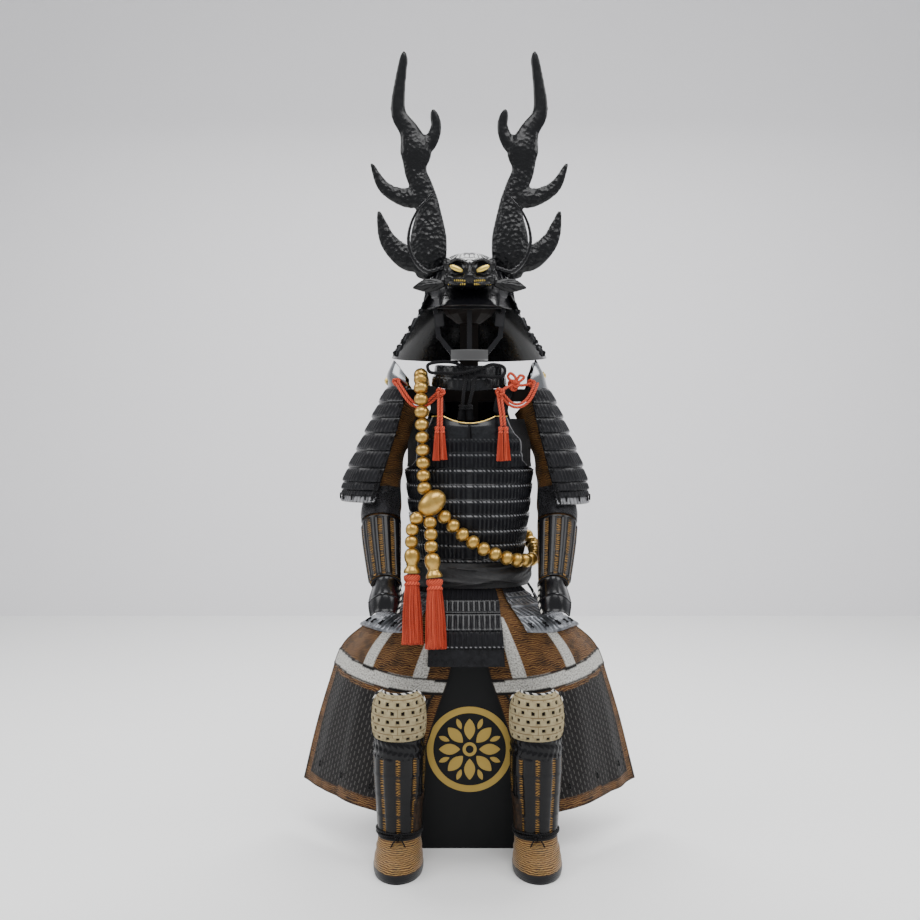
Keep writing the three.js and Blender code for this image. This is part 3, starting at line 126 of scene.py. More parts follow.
def shell(name, outer, inner=None, around=False, caps=False, sharp=40, marks=None, back_row=1):
    """A mesh on a grid of points, with a sparser back layer where one is given, UVs in metres and marks."""
    rows, columns = outer.shape[:2]
    ring = np.concatenate([outer, outer[:, :1]], axis=1) if around else outer
    along = np.cumsum(np.linalg.norm(np.diff(ring, axis=1), axis=2), axis=1)
    u = np.concatenate([np.zeros((rows, 1)), along], axis=1)
    u = u - u[:, -1:] / 2
    falls = np.linalg.norm(np.diff(outer, axis=0), axis=2).mean(axis=1)
    v = np.repeat(np.concatenate([[0], np.cumsum(falls)])[:, None], u.shape[1], axis=1)
    row, column = (part.ravel()
        for part in np.meshgrid(np.arange(rows - 1), np.arange(u.shape[1] - 1), indexing="ij"))
    corners = [(row, column), (row, column + 1), (row + 1, column + 1), (row + 1, column)]
    number = lambda r, c: r * columns + c % columns
    faces = np.stack([number(r, c) for r, c in corners], axis=1)
    uvs = np.stack([np.stack([u[r, c], v[r, c]], axis=1) for r, c in corners], axis=1)
    points = outer.reshape(-1, 3)
    face_list, uvs = faces.tolist(), uvs.reshape(-1, 2)
    if inner is not None:
        back_rows, back_columns = picks_of(rows, back_row, False), picks_of(columns, BACK_COLUMN, around)
        points = np.concatenate([points, inner[np.ix_(back_rows, back_columns)].reshape(-1, 3)])
        stops = back_columns + [columns] if around else back_columns
        back = lambda r, c: rows * columns + r * len(back_columns) + c % len(back_columns)
        back_faces = []
        for c in range(len(stops) - 1):
            for r in range(len(back_rows) - 1):
                spots = [(r, c), (r + 1, c), (r + 1, c + 1), (r, c + 1)]
                back_faces.append([(back(*spot), (back_rows[spot[0]], stops[spot[1]])) for spot in spots])
            span = range(stops[c], stops[c + 1] + 1)
            for r, edge, order in [(0, 0, -1), (len(back_rows) - 1, rows - 1, 1)]:
                front_edge = [(number(edge, place), (edge, place)) for place in span][::order]
                back_edge = [(back(r, c), (edge, stops[c])), (back(r, c + 1), (edge, stops[c + 1]))][::-order]
                back_faces.append(front_edge + back_edge)
        for r in range(len(back_rows) - 1 if not around else 0):
            span = range(back_rows[r], back_rows[r + 1] + 1)
            for c, edge, order in [(0, 0, 1), (len(back_columns) - 1, columns - 1, -1)]:
                front_edge = [(number(place, edge), (place, edge)) for place in span][::order]
                back_edge = [(back(r, c), (back_rows[r], edge)),
                    (back(r + 1, c), (back_rows[r + 1], edge))][::-order]
                back_faces.append(front_edge + back_edge)
        face_list += [[point for point, _ in face] for face in back_faces]
        uvs = np.concatenate([uvs, np.array([(u[spot], v[spot]) for face in back_faces for _, spot in face])])
    mesh = bpy.data.meshes.new(name)
    if caps:
        face_list += [list(range(columns))[::-1], list(range((rows - 1) * columns, rows * columns))]
        uvs = np.concatenate([uvs, np.zeros((2 * columns, 2))])
    mesh.from_pydata(points.tolist(), [], face_list)
    mesh.uv_layers.new(name="UVMap").data.foreach_set("uv", uvs.ravel())
    for mark, values in (marks or {}).items():
        shown = np.broadcast_to(values, (rows, columns)).ravel()
        hidden = np.zeros(len(points) - len(shown))
        mesh.attributes.new(mark, "FLOAT", "POINT").data.foreach_set("value", np.concatenate([shown, hidden]))
    return piece_of(mesh, sharp)


def piece_of(mesh, sharp=40):
    """A shown object with its faces pointing out, smooth but for the edges over a given angle."""
    work = bmesh.new()
    work.from_mesh(mesh)
    bmesh.ops.recalc_face_normals(work, faces=work.faces)
    work.to_mesh(mesh)
    work.free()
    mesh.polygons.foreach_set("use_smooth", [True] * len(mesh.polygons))
    mesh.set_sharp_from_angle(angle=math.radians(sharp))
    piece = bpy.data.objects.new(mesh.name, mesh)
    bpy.context.scene.collection.objects.link(piece)
    return piece


def merged(name, pieces):
    """Several pieces as one object, with their UVs and materials kept."""
    with bpy.context.temp_override(active_object=pieces[0], selected_editable_objects=pieces):
        bpy.ops.object.join()
    pieces[0].name = name
    pieces[0].data.name = name
    return pieces[0]


def dress(piece, material, slot, *nodes):
    """Gives a piece its material and its place on the frame, and hides the nodes that it stands for."""
    if not piece.data.materials:
        piece.data.materials.append(material)
    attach(piece, "root")
    if nodes:
        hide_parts(*nodes)
    return piece


class Nodes:
    """A node tree: set fills the sockets of a node, add places a node, and the rest return a socket."""

    def __init__(self, tree):
        self.tree = tree

    def set(self, node, values):
        for socket, value in values.items():
            if isinstance(value, bpy.types.NodeSocket):
                self.tree.links.new(value, node.inputs[socket])
            else:
                node.inputs[socket].default_value = value
        return node

    def add(self, kind, values=(), **settings):
        node = self.tree.nodes.new("ShaderNode" + kind)
        for setting, value in settings.items():
            setattr(node, setting, value)
        return self.set(node, dict(values))

    def place(self, scale, source="UV"):
        """Coordinates in metres, times a scale for each axis."""
        spot = self.add("TexCoord").outputs[source]
        return self.add("Mapping", {"Vector": spot, "Scale": scale}).outputs["Vector"]

    def noise(self, scale, detail=3.0, stretch=(1, 1, 1), source="Object"):
        spot = self.place(stretch, source)
        return self.add("TexNoise", {"Vector": spot, "Scale": scale, "Detail": detail}).outputs["Fac"]

    def waves(self, scale, stretch, distortion=0.0, detail=2.0, direction="X", source="UV", profile="SIN"):
        settings = {"Vector": self.place(stretch, source), "Scale": scale, "Distortion": distortion,
            "Detail": detail}
        node = self.add("TexWave", settings, bands_direction=direction, wave_profile=profile)
        return node.outputs["Fac"]

    def mark(self, name):
        return self.add("Attribute", attribute_name=name).outputs["Fac"]

    def math(self, operation, *values):
        return self.add("Math", dict(enumerate(values)), operation=operation).outputs[0]

    def ramp(self, factor, *stops, interpolation="LINEAR"):
        node = self.add("ValToRGB", {"Fac": factor})
        node.color_ramp.interpolation = interpolation
        while len(node.color_ramp.elements) < len(stops):
            node.color_ramp.elements.new(0.5)
        for element, (place, color) in zip(node.color_ramp.elements, stops):
            element.position = place
            element.color = (*color, 1) if hasattr(color, "__len__") else (color, color, color, 1)
        return node.outputs["Color"]

    def blend(self, factor, below, above):
        node = self.add("Mix", data_type="RGBA")
        for socket, value in zip((node.inputs[0], node.inputs[6], node.inputs[7]), (factor, below, above)):
            if isinstance(value, bpy.types.NodeSocket):
                self.tree.links.new(value, socket)
            else:
                socket.default_value = (*value, 1) if hasattr(value, "__len__") else value
        return node.outputs[2]


class Paint(Nodes):
    """A material round one shader, with bumps laid over each other."""

    def __init__(self, name, color, roughness, metallic=0.0, **extra):
        self.material = bpy.data.materials.new(name)
        self.material.use_nodes = True
        super().__init__(self.material.node_tree)
        self.shader = self.tree.nodes["Principled BSDF"]
        extra = {"Specular IOR Level": 0.5 if roughness < 0.3 or metallic else 0.16, **extra}
        self.set(self.shader,
            {"Base Color": (*color, 1), "Roughness": roughness, "Metallic": metallic, **extra})
        self.height = None

    def effect(self, group, output, **values):
        """One output of a shared effect, placed with this material's own values."""
        return self.add("Group", values, node_tree=group).outputs[output]

    def color(self, value):
        self.set(self.shader, {"Base Color": value})
        return self

    def roughen(self, factor, low, high):
        spread = self.add("MapRange", {"Value": factor, "To Min": low, "To Max": high})
        self.set(self.shader, {"Roughness": spread.outputs["Result"]})
        return self

    def bump(self, height, distance, strength=1.0):
        values = {"Height": height, "Distance": distance, "Strength": strength}
        if self.height:
            values["Normal"] = self.height
        self.height = self.add("Bump", values).outputs["Normal"]
        self.set(self.shader, {"Normal": self.height})
        return self


def new_effect(name, inputs, outputs):
    """An empty node group with named inputs and their usual values: its nodes, its inputs and its end."""
    group = bpy.data.node_groups.new(name, "ShaderNodeTree")
    for socket, value in inputs.items():
        kind = "NodeSocketVector" if hasattr(value, "__len__") else "NodeSocketFloat"
        group.interface.new_socket(name=socket, in_out="INPUT", socket_type=kind).default_value = value
    for socket in outputs:
        group.interface.new_socket(name=socket, in_out="OUTPUT", socket_type="NodeSocketFloat")
    return Nodes(group), group.nodes.new("NodeGroupInput").outputs, group.nodes.new("NodeGroupOutput")


nodes, given, end = new_effect("twisted_strands", {"Strands": 90.0, "Mottle": 60.0}, ["Ridges", "Groove_shade"])
stretch = nodes.add("CombineXYZ", {"X": given["Strands"], "Y": given["Strands"], "Z": 1.0}).outputs["Vector"]
ridges = nodes.waves(1.0, stretch, direction="DIAGONAL")
uneven = nodes.ramp(nodes.noise(given["Mottle"]), (0.2, 0.75), (0.7, 1.0))
# The second output is the strand wave under a random mottle; silk uses it as painted shade in the grooves.
nodes.set(end, {"Ridges": ridges, "Groove_shade": nodes.math("MULTIPLY", ridges, uneven)})
TWISTED_STRANDS = nodes.tree


def silk(name, color, deep, strand):
    """Twisted silk: slanting strands, with painted shade that darkens the grooves, and a random mottle."""
    paint = Paint(name, color, 0.62, **{"Sheen Weight": 0.08, "Sheen Roughness": 0.4})
    grooves = paint.effect(TWISTED_STRANDS, "Groove_shade", Strands=strand)
    # Painted shade: the colour falls to the deep tone in the grooves between the strands.
    paint.color(paint.ramp(grooves, (0.1, deep), (0.75, color)))
    return paint.bump(paint.effect(TWISTED_STRANDS, "Ridges", Strands=strand), 0.0006).material


coral = silk("coral_silk", (0.62, 0.095, 0.045), (0.34, 0.035, 0.018), 90)
black_silk = silk("black_silk", (0.007, 0.007, 0.008), (0.002, 0.002, 0.003), 110)

CORD_ROUTES = {
    "l": [
        (-0.171, -0.0815, 1.072), (-0.159, -0.092, 1.054), (-0.145, -0.1005, 1.033), (-0.129, -0.103, 1.018),
        (-0.112, -0.1065, 1.016), (-0.096, -0.1075, 1.022), (-0.082, -0.1105, 1.034), (-0.071, -0.117, 1.042),
        (-0.068, -0.126, 1.036), (-0.068, -0.134, 1.018), (-0.068, -0.141, 0.995), (-0.0685, -0.146, 0.9675),
    ],
    "r": [
        (0.158, -0.083, 1.070), (0.151, -0.093, 1.053), (0.139, -0.1002, 1.031), (0.122, -0.106, 1.017),
        (0.106, -0.1075, 1.015), (0.092, -0.1095, 1.022), (0.081, -0.112, 1.034), (0.072, -0.117, 1.042),
        (0.070, -0.126, 1.036), (0.072, -0.134, 1.018), (0.075, -0.141, 0.995), (0.0775, -0.146, 0.9675),
    ],
}
SMALL_TASSELS = {
    "l": [((-0.074, -0.146, 0.9669), (-0.077, -0.149, 0.887)),
        ((-0.063, -0.146, 0.9669), (-0.059, -0.149, 0.889))],
    "r": [((0.072, -0.146, 0.966), (0.070, -0.149, 0.886)), ((0.083, -0.146, 0.966), (0.087, -0.149, 0.887))],
}
STRAND_RADIUS = 0.0031
STRAND_APART = 0.0037
SIDES = (("l", -1), ("r", 1))


# Each thread is a thin three-sided tube, and takes its own tone from the silk's strands.
THREAD_TONE, THREAD_POINTS, THREAD_SIDES = 0.00137, 5, 3


def tassel(name, top, bottom, head_length, head_radius, spread, threads, thread_radius, seed, flatness=1.0):
    """A bound head under a knot, with fine threads that fall from inside it and spread a little."""
    chance = random.Random(seed)
    start, end = np.array(top), np.array(bottom)
    axis = unit(end - start)
    across = unit(np.cross(axis, (0.0, 1.0, 0.0)))
    over = np.cross(across, axis)
    shares = np.array([0, 0.03, 0.12, 0.3, 0.5, 0.62, 0.68, 0.74, 0.86, 1.0])
    sizes = np.array([0.35, 0.7, 0.97, 1.0, 0.95, 0.83, 0.76, 0.85, 0.97, 0.95])
    path = start + axis * (head_length * shares)[:, None]
    parts = [shell(name, rings_along(path, head_radius * sizes, head_radius * sizes * flatness, 20),
        around=True, caps=True)]
    strands = []
    length = np.linalg.norm(end - start)
    for thread in range(threads):
        turn = TAU * chance.random()
        reach = math.sqrt(chance.random())
        root = across * math.cos(turn) * reach * head_radius * 0.85
        root = root + over * math.sin(turn) * reach * head_radius * 0.85 * flatness
        tip = across * math.cos(turn) * reach * spread + over * math.sin(turn) * reach * spread * flatness
        wander = across * chance.uniform(-1, 1) * spread * 0.12 + over * chance.uniform(-1, 1) * spread * 0.12
        fall = length * (1 - 0.03 * chance.random())
        line = [
            start + root + axis * head_length * 0.8,
            start + root * 0.6 + tip * 0.4 + wander + axis * (head_length + (fall - head_length) * 0.45),
            start + tip + axis * fall,
        ]
        strands.append(smooth_line(line, np.linspace(0, 1, THREAD_POINTS)))
    faces, points, uvs = [], [], []
    for number, line in enumerate(strands):
        radius = np.full(THREAD_POINTS, thread_radius)
        rings = rings_along(line, radius, radius, THREAD_SIDES)
        first, tone = len(points), number * THREAD_TONE
        points.extend(rings.reshape(-1, 3).tolist())
        last = first + THREAD_SIDES * (THREAD_POINTS - 1)
        faces += [list(range(first, first + THREAD_SIDES))[::-1], list(range(last, last + THREAD_SIDES))]
        uvs.extend([(tone, tone)] * 2 * THREAD_SIDES)
        for low in range(first, last, THREAD_SIDES):
            for column in range(THREAD_SIDES):
                after = (column + 1) % THREAD_SIDES
                faces.append([low + column, low + after, low + THREAD_SIDES + after, low + THREAD_SIDES + column])
                uvs.extend([(tone, tone)] * 4)
    mesh = bpy.data.meshes.new(name + "_threads")
    mesh.from_pydata(points, [], faces)
    mesh.uv_layers.new(name="UVMap").data.foreach_set("uv", np.array(uvs).ravel())
    parts.append(piece_of(mesh))
    return merged(name, parts)


def knot(name, centre, size, seed):
    """A soft round knot: a few turns of cord round each other."""
    turns = np.linspace(0, TAU, 36)
    chance = random.Random(seed)
    tip = chance.random()
    line = np.stack([
        (0.62 + 0.3 * np.cos(3 * turns)) * np.cos(2 * turns + tip),
        0.42 * np.sin(3 * turns),
        (0.62 + 0.3 * np.cos(3 * turns)) * np.sin(2 * turns + tip),
    ], axis=1)
    radius = np.full(len(line), size * 0.3)
    return shell(name, rings_along(np.array(centre) + line * size, radius, radius, 6), around=True, caps=True)


for letter, side in SIDES:
    route = smooth_line(CORD_ROUTES[letter], np.linspace(0, 1, 60))
    tangents = unit(np.gradient(route, axis=0))
    sideways = unit(np.cross(tangents, (0.0, 1.0, 0.0)))
    ends = SMALL_TASSELS[letter]
    pair = merged(f"small_tassels_{letter}", [
        tassel(f"small_tassel_{letter}{number}", top, bottom, 0.016, 0.0062, 0.0085, 70, 0.0006, number)
        for number, (top, bottom) in enumerate(ends)
    ])
    dress(pair, coral, "coral_silk", f"tassel_pair_{letter}")
    for strand, turn in (("outer", -1), ("inner", 1)):
        line = route + sideways * STRAND_APART * turn
        radius = np.full(len(line), STRAND_RADIUS)
        cord = shell(f"shoulder_cord_{letter}_{strand}", rings_along(line, radius, radius, 12), around=True,
            caps=True)
        dress(cord, coral, "coral_silk", f"shoulder_cord_{letter}")

CHIN_ROUTE = [
    (-0.016, -0.120, 1.0184), (-0.013, -0.119, 1.050), (-0.008, -0.107, 1.082), (-0.009, -0.1026, 1.099),
    (-0.032, -0.106, 1.114), (-0.070, -0.108, 1.1165), (-0.097, -0.110, 1.109), (-0.093, -0.109, 1.094),
    (-0.060, -0.106, 1.091), (-0.028, -0.108, 1.090), (-0.002, -0.115, 1.094), (0.024, -0.107, 1.101),
    (0.054, -0.107, 1.111), (0.081, -0.109, 1.103), (0.079, -0.109, 1.085), (0.050, -0.106, 1.082),
    (0.020, -0.1055, 1.085), (0.010, -0.108, 1.076), (0.007, -0.119, 1.050), (-0.001, -0.120, 1.0184),
]
CHIN_RADIUS = 0.0038
CHIN_TASSELS = [((-0.016, -0.120, 1.0168), (-0.019, -0.122, 0.981)),
    ((-0.001, -0.120, 1.0168), (0.002, -0.122, 0.981))]
chin_line = evenly(smooth_line(CHIN_ROUTE, np.linspace(0, 1, 400)), 170)
chin_size = np.full(len(chin_line), CHIN_RADIUS)
chin_cord = shell("chin_cord", rings_along(chin_line, chin_size, chin_size, 12), around=True, caps=True)
chin_ends = merged("chin_cord_ends", [
    tassel(f"chin_end_{number}", top, bottom, 0.011, 0.0088, 0.009, 60, 0.0007, 20 + number)
    for number, (top, bottom) in enumerate(CHIN_TASSELS)
])
dress(chin_ends, black_silk, "black_cloth", "chin_tassels")
dress(chin_cord, black_silk, "black_cloth", "chin_cord")

# Floor and light
# A plain pale floor meets a plain back wall, under the soft ceiling lamps of a white room.
FLOOR_SIZE = 14
WALL_Y = 3.2
WALL_HEIGHT = 5


def flat_plate(name, corners, material):
    mesh = bpy.data.meshes.new(name)
    mesh.from_pydata(corners, [], [list(range(len(corners)))])
    mesh.materials.append(material)
    plate = bpy.data.objects.new(name, mesh)
    bpy.context.scene.collection.objects.link(plate)


half = FLOOR_SIZE / 2
floor_paint = Paint("floor", (0.88, 0.88, 0.875), 0.42)
floor_paint.roughen(floor_paint.noise(2.0), 0.36, 0.5)
flat_plate("floor", [(-half, -half, 0), (half, -half, 0), (half, half, 0), (-half, half, 0)],
    floor_paint.material)
wall_paint = Paint("wall", (0.86, 0.85, 0.87), 0.85)
wall_paint.bump(wall_paint.noise(120), 0.0005)
flat_plate(
    "back_wall", [(-half, WALL_Y, 0), (half, WALL_Y, 0), (half, WALL_Y, WALL_HEIGHT),
        (-half, WALL_Y, WALL_HEIGHT)],
    wall_paint.material,
)
LAMPS = (
    ("ceiling_front", (0.3, -1.6, 3.6), (24, 0, 0), (2.6, 1.6), 82),
    ("ceiling_back", (0.0, 1.5, 3.6), (-30, 0, 0), (3.6, 1.2), 150),
    ("left", (-2.6, -0.6, 2.5), (0, -52, 0), (1.2, 2.0), 34),
    ("right", (2.6, -0.4, 2.6), (0, 52, 0), (1.2, 2.0), 34),
)
for name, place, turns, size, power in LAMPS:
    lamp_data = bpy.data.lights.new(name, "AREA")
    lamp_data.shape = "RECTANGLE"
    lamp_data.size, lamp_data.size_y = size
    lamp_data.energy = power
    lamp = bpy.data.objects.new(name, lamp_data)
    lamp.location = place
    lamp.rotation_euler = [math.radians(turn) for turn in turns]
    bpy.context.scene.collection.objects.link(lamp)
world = bpy.data.worlds.new("room")
bpy.context.scene.world = world
world.use_nodes = True
world.node_tree.nodes["Background"].inputs["Color"].default_value = (0.86, 0.87, 0.89, 1)
world.node_tree.nodes["Background"].inputs["Strength"].default_value = 0.72

# Chest
# A wooden box in satin black lacquer, with a lid that slips over it. Its front carries a plain gold
# ring round a simple radial ornament.
black_wood = Paint("black_wood", (0.0065, 0.007, 0.0075), 0.5)
grain = black_wood.noise(40, 4, (1, 1, 0.06))
black_wood.roughen(black_wood.noise(7), 0.42, 0.58)
black_wood.bump(grain, 0.0004, 0.5)
black_wood.bump(black_wood.noise(260), 0.0002, 0.35)


def keep(node, material, bevel=0.0):
    """Shows a CAD node as it is, in a new material, with its edges rounded by a modifier where asked."""
    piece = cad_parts[node]
    piece.data.materials.clear()
    piece.data.materials.append(material)
    if bevel:
        rounding = piece.modifiers.new("rounding", "BEVEL")
        rounding.width = bevel
        rounding.segments = 3
        rounding.limit_method = "ANGLE"
    return piece


for node in ("chest_body", "chest_lid"):
    keep(node, black_wood.material, 0.0025)

CREST_HEIGHT = 0.228
CREST_RADIUS = 0.098
CREST_BAND = 0.015
CREST_THICKNESS = 0.0008
PETALS = 8
gold_leaf = Paint("gold_leaf", (0.36, 0.245, 0.055), 0.45, 0.6)
gold_leaf.roughen(gold_leaf.noise(55), 0.34, 0.52)
gold_leaf.bump(gold_leaf.noise(300), 0.0002, 0.4)


def flat_shape(name, outlines, y, thickness):
    """Flat outlines of x and z on the chest's front, given a little thickness."""
    curve = bpy.data.curves.new(name, "CURVE")
    curve.dimensions = "2D"
    curve.fill_mode = "BOTH"
    curve.extrude = thickness / 2
    for outline in outlines:
        spline = curve.splines.new("POLY")
        spline.points.add(len(outline) - 1)
        spline.points.foreach_set("co", [value for x, z in outline for value in (x, z, 0, 1)])
        spline.use_cyclic_u = True
    shape = bpy.data.objects.new(name, curve)
    shape.location.y = y
    shape.rotation_euler.x = math.radians(90)
    bpy.context.scene.collection.objects.link(shape)
    return shape


def circle(radius, middle=(0.0, CREST_HEIGHT), count=96):
    return [(middle[0] + radius * math.cos(TAU * k / count),
        middle[1] + radius * math.sin(TAU * k / count)) for k in range(count)]


def lozenge(turn, near, far, half_width):
    """One pointed petal with bowed sides, from near to far out along its direction."""
    sides = []
    for step in range(25):
        share = step / 24
        wide = half_width * math.sin(math.pi * share) ** 0.8
        sides.append((near + (far - near) * share, wide))
    points = sides + [(reach, -wide) for reach, wide in reversed(sides[1:-1])]
    return [
        (reach * math.cos(turn) - wide * math.sin(turn),
            CREST_HEIGHT + reach * math.sin(turn) + wide * math.cos(turn))
        for reach, wide in points
    ]


crest_outlines = [circle(CREST_RADIUS), circle(CREST_RADIUS - CREST_BAND), circle(0.016), circle(0.009)]
for petal in range(PETALS):
    middle_turn = TAU * petal / PETALS
    crest_outlines.append(lozenge(middle_turn, 0.022, 0.070, 0.0125))
    crest_outlines.append(lozenge(middle_turn + math.pi / PETALS, 0.050, 0.076, 0.0055))
chest_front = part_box("chest_body")[0].y
crest = flat_shape("gold_ornament", crest_outlines, chest_front - CREST_THICKNESS / 2, CREST_THICKNESS)
dress(crest, gold_leaf.material, "gold")

# Stand
# A dark wooden cross on a base board, with a rounded block that carries the helmet.
dark_wood = Paint("dark_wood", (0.010, 0.007, 0.005), 0.6)
dark_wood.color(dark_wood.ramp(dark_wood.noise(30, 4, (1, 1, 0.08)), (0.3, (0.006, 0.0045, 0.004)),
    (0.7, (0.014, 0.010, 0.008))))
dark_wood.bump(dark_wood.noise(60, 4, (1, 1, 0.05)), 0.0005, 0.6)
keep("stand", dark_wood.material)

# Helmet bowl
# A high black bowl of many narrow plates, each edge raised as a fine rib, with a small open crown
# under a turned finial.
BOWL_MIDDLE = -0.010
BOWL_RIM = 1.281
BOWL_WIDE, BOWL_DEEP, BOWL_HIGH = 0.100, 0.112, 0.104
BOWL_WALL = 0.0025
BOWL_PLATES = 32


def bowl_point(turn, rise, lift):
    """Points of the bowl at turns from the front and rises from the rim, in radians."""
    reach = np.cos(rise)
    return np.stack([
        (BOWL_WIDE + lift) * reach * np.sin(turn),
        BOWL_MIDDLE - (BOWL_DEEP + lift) * reach * np.cos(turn),
        BOWL_RIM + (BOWL_HIGH + lift) * np.sin(rise) + 0 * turn,
    ], axis=-1)


lacquer = Paint("lacquer", (0.003, 0.003, 0.004), 0.2, **{"Specular IOR Level": 0.35})
lacquer.roughen(lacquer.noise(22), 0.12, 0.3)
lacquer.bump(lacquer.noise(45), 0.0008, 0.35)
lacquer.bump(lacquer.noise(420), 0.00012, 0.3)
turns, rises = np.meshgrid(np.linspace(0, TAU, 256, endpoint=False), np.linspace(math.radians(84), 0, 24))
ribs = 0.0016 * np.exp(-((np.abs((turns * BOWL_PLATES / TAU
    + 0.5) % 1 - 0.5) / 0.09) ** 2)) * np.clip(np.cos(rises) * 2.2, 0, 1)
bowl = shell("helmet_bowl_plates", bowl_point(turns, rises, ribs), bowl_point(turns, rises, -BOWL_WALL),
    around=True)
dress(bowl, lacquer.material, "lacquer", "helmet_bowl")

# Visor and turnbacks
# A lacquered brim curves forwards and down from the bowl, with a raised edge, and two small plates
# bend out beside it.
VISOR_SPREAD = math.radians(62)
VISOR_HALF_WIDTH, VISOR_FRONT, VISOR_LOW = 0.097, -0.168, 1.240
VISOR_LAP = 0.04
SEAM = 0.0003
PLATE = 0.0025


def surface(rows, across, down):
    """A smooth surface through rows of points, read on a grid of places from 0 to 1 each way."""
    rows = np.asarray(rows, float)
    curves = smooth_line(rows.transpose(1, 0, 2), across)
    return smooth_line(curves.transpose(1, 0, 2), down)


def normals_of(grid, facing, around=False):
    """Unit directions out of a grid of points, on the side that facing picks."""
    if around:
        ring = np.concatenate([grid[:, -1:], grid, grid[:, :1]], axis=1)
        across = np.gradient(ring, axis=1)[:, 1:-1]
    else:
        across = np.gradient(grid, axis=1)
    return unit(np.cross(across, np.gradient(grid, axis=0))) * facing


def plate_on(name, grid, facing, thickness, relief=0.0, base=0.0, sharp=40, marks=None):
    """A plate on a surface: a plain back, and a front raised by its thickness and a relief."""
    out = normals_of(grid, facing)
    lift = np.broadcast_to(base + thickness + relief, grid.shape[:2])[..., None]
    return shell(name, grid + out * lift, grid + out * base, sharp=sharp, marks=marks)


def visor_rows():
    turns = VISOR_SPREAD * np.linspace(-1, 1, 5)
    sideways = np.sin(turns) / math.sin(VISOR_SPREAD)
    forward = BOWL_MIDDLE + (VISOR_FRONT - BOWL_MIDDLE) * np.cos(turns) ** 0.8
    rim = bowl_point(turns, 0.0, SEAM)
    brim = np.stack([VISOR_HALF_WIDTH * sideways, forward, np.full(5, VISOR_LOW)], axis=1)
    lap = bowl_point(turns, VISOR_LAP, SEAM)
    return [lap] + [rim + (brim - rim) * share for share in (0.15, 0.6, 1)]


across, down = np.linspace(0, 1, 90), np.linspace(0, 1, 36)
visor_relief = 0.0014 * np.exp(-(((down[:, None] - 0.985) / 0.03) ** 2)) + 0.0008 * np.exp(-(((down[:,
    None] - 0.5) / 0.02) ** 2))
visor = plate_on("visor_plate", surface(visor_rows(), across, down), -1, PLATE, visor_relief + 0 * across)
dress(visor, lacquer.material, "lacquer", "visor")

TURNBACK_ROWS = [
    [(0.092, -0.063, 1.277), (0.096, -0.071, 1.277), (0.100, -0.081, 1.276)],
    [(0.095, -0.063, 1.262), (0.102, -0.073, 1.261), (0.108, -0.087, 1.260)],
    [(0.099, -0.056, 1.247), (0.109, -0.070, 1.245), (0.115, -0.086, 1.243)],
]
for letter, side in SIDES:
    rows = np.array(TURNBACK_ROWS) * (side, 1, 1)
    across, down = np.linspace(0, 1, 20), np.linspace(0, 1, 20)
    edge = 0.001 * np.maximum(np.abs(across[None] * 2 - 1), np.abs(down[:, None] * 2 - 1)) ** 12
    turnback = plate_on(f"turnback_plate_{letter}", surface(rows, across, down), -side, PLATE, edge)
    dress(turnback, lacquer.material, "lacquer", f"turnback_{letter}")


# Neck guard
# Six broad lacquered lames flare round the back of the neck. Rows of black lacing hang each from the
# one above, and show as a line of knots along both slanted ends.
NECK_SWEEP = math.radians(113)
NECK_LAMES = 6
NECK_ACROSS, NECK_DOWN = 163, 72
NECK_ROWS = [
    {"half_width": 0.1013, "back": 0.1133, "z": 1.284, "drop": 0.0},
    {"half_width": 0.107, "back": 0.118, "z": 1.262, "drop": 0.0},
    {"half_width": 0.150, "back": 0.146, "z": 1.190, "drop": 0.003},
    {"half_width": 0.186, "back": 0.168, "z": 1.135, "drop": 0.006},
]


def round_top(distance):
    """A rounded ridge: 1 where distance is 0, falling to 0 where it is 1 or more."""
    return np.sqrt(np.clip(1 - np.asarray(distance) ** 2, 0, 1))


def repeat(values, pitch):
    """Distance to the nearest of a row of lines a pitch apart."""
    return np.abs((values / pitch + 0.5) % 1 - 0.5) * pitch


def middle_widths(grid):
    """Metres across each row of a grid, counted from its middle."""
    steps = np.linalg.norm(np.diff(grid, axis=1), axis=2)
    travelled = np.concatenate([np.zeros((len(grid), 1)), np.cumsum(steps, axis=1)], axis=1)
    return travelled - travelled[:, -1:] / 2


def lacing(widths, fraction, pitch, half_width, low=0.12, high=0.88):
    """Marks of short laces over a lame: 1 on a lace, with rounded sides and ends."""
    ends = np.abs(fraction - (low + high) / 2) / ((high - low) / 2)
    return round_top(repeat(widths, pitch) / half_width) * round_top(np.clip(ends, 0, 1) ** 3)


nodes, given, end = new_effect("worn_edges", {"Size": 90.0, "Low": 0.35, "High": 0.75}, ["Wear"])
wear = {"Value": nodes.noise(given["Size"]), "From Min": given["Low"], "From Max": given["High"]}
nodes.set(end, {"Wear": nodes.add("MapRange", wear).outputs["Result"]})
WORN_EDGES = nodes.tree


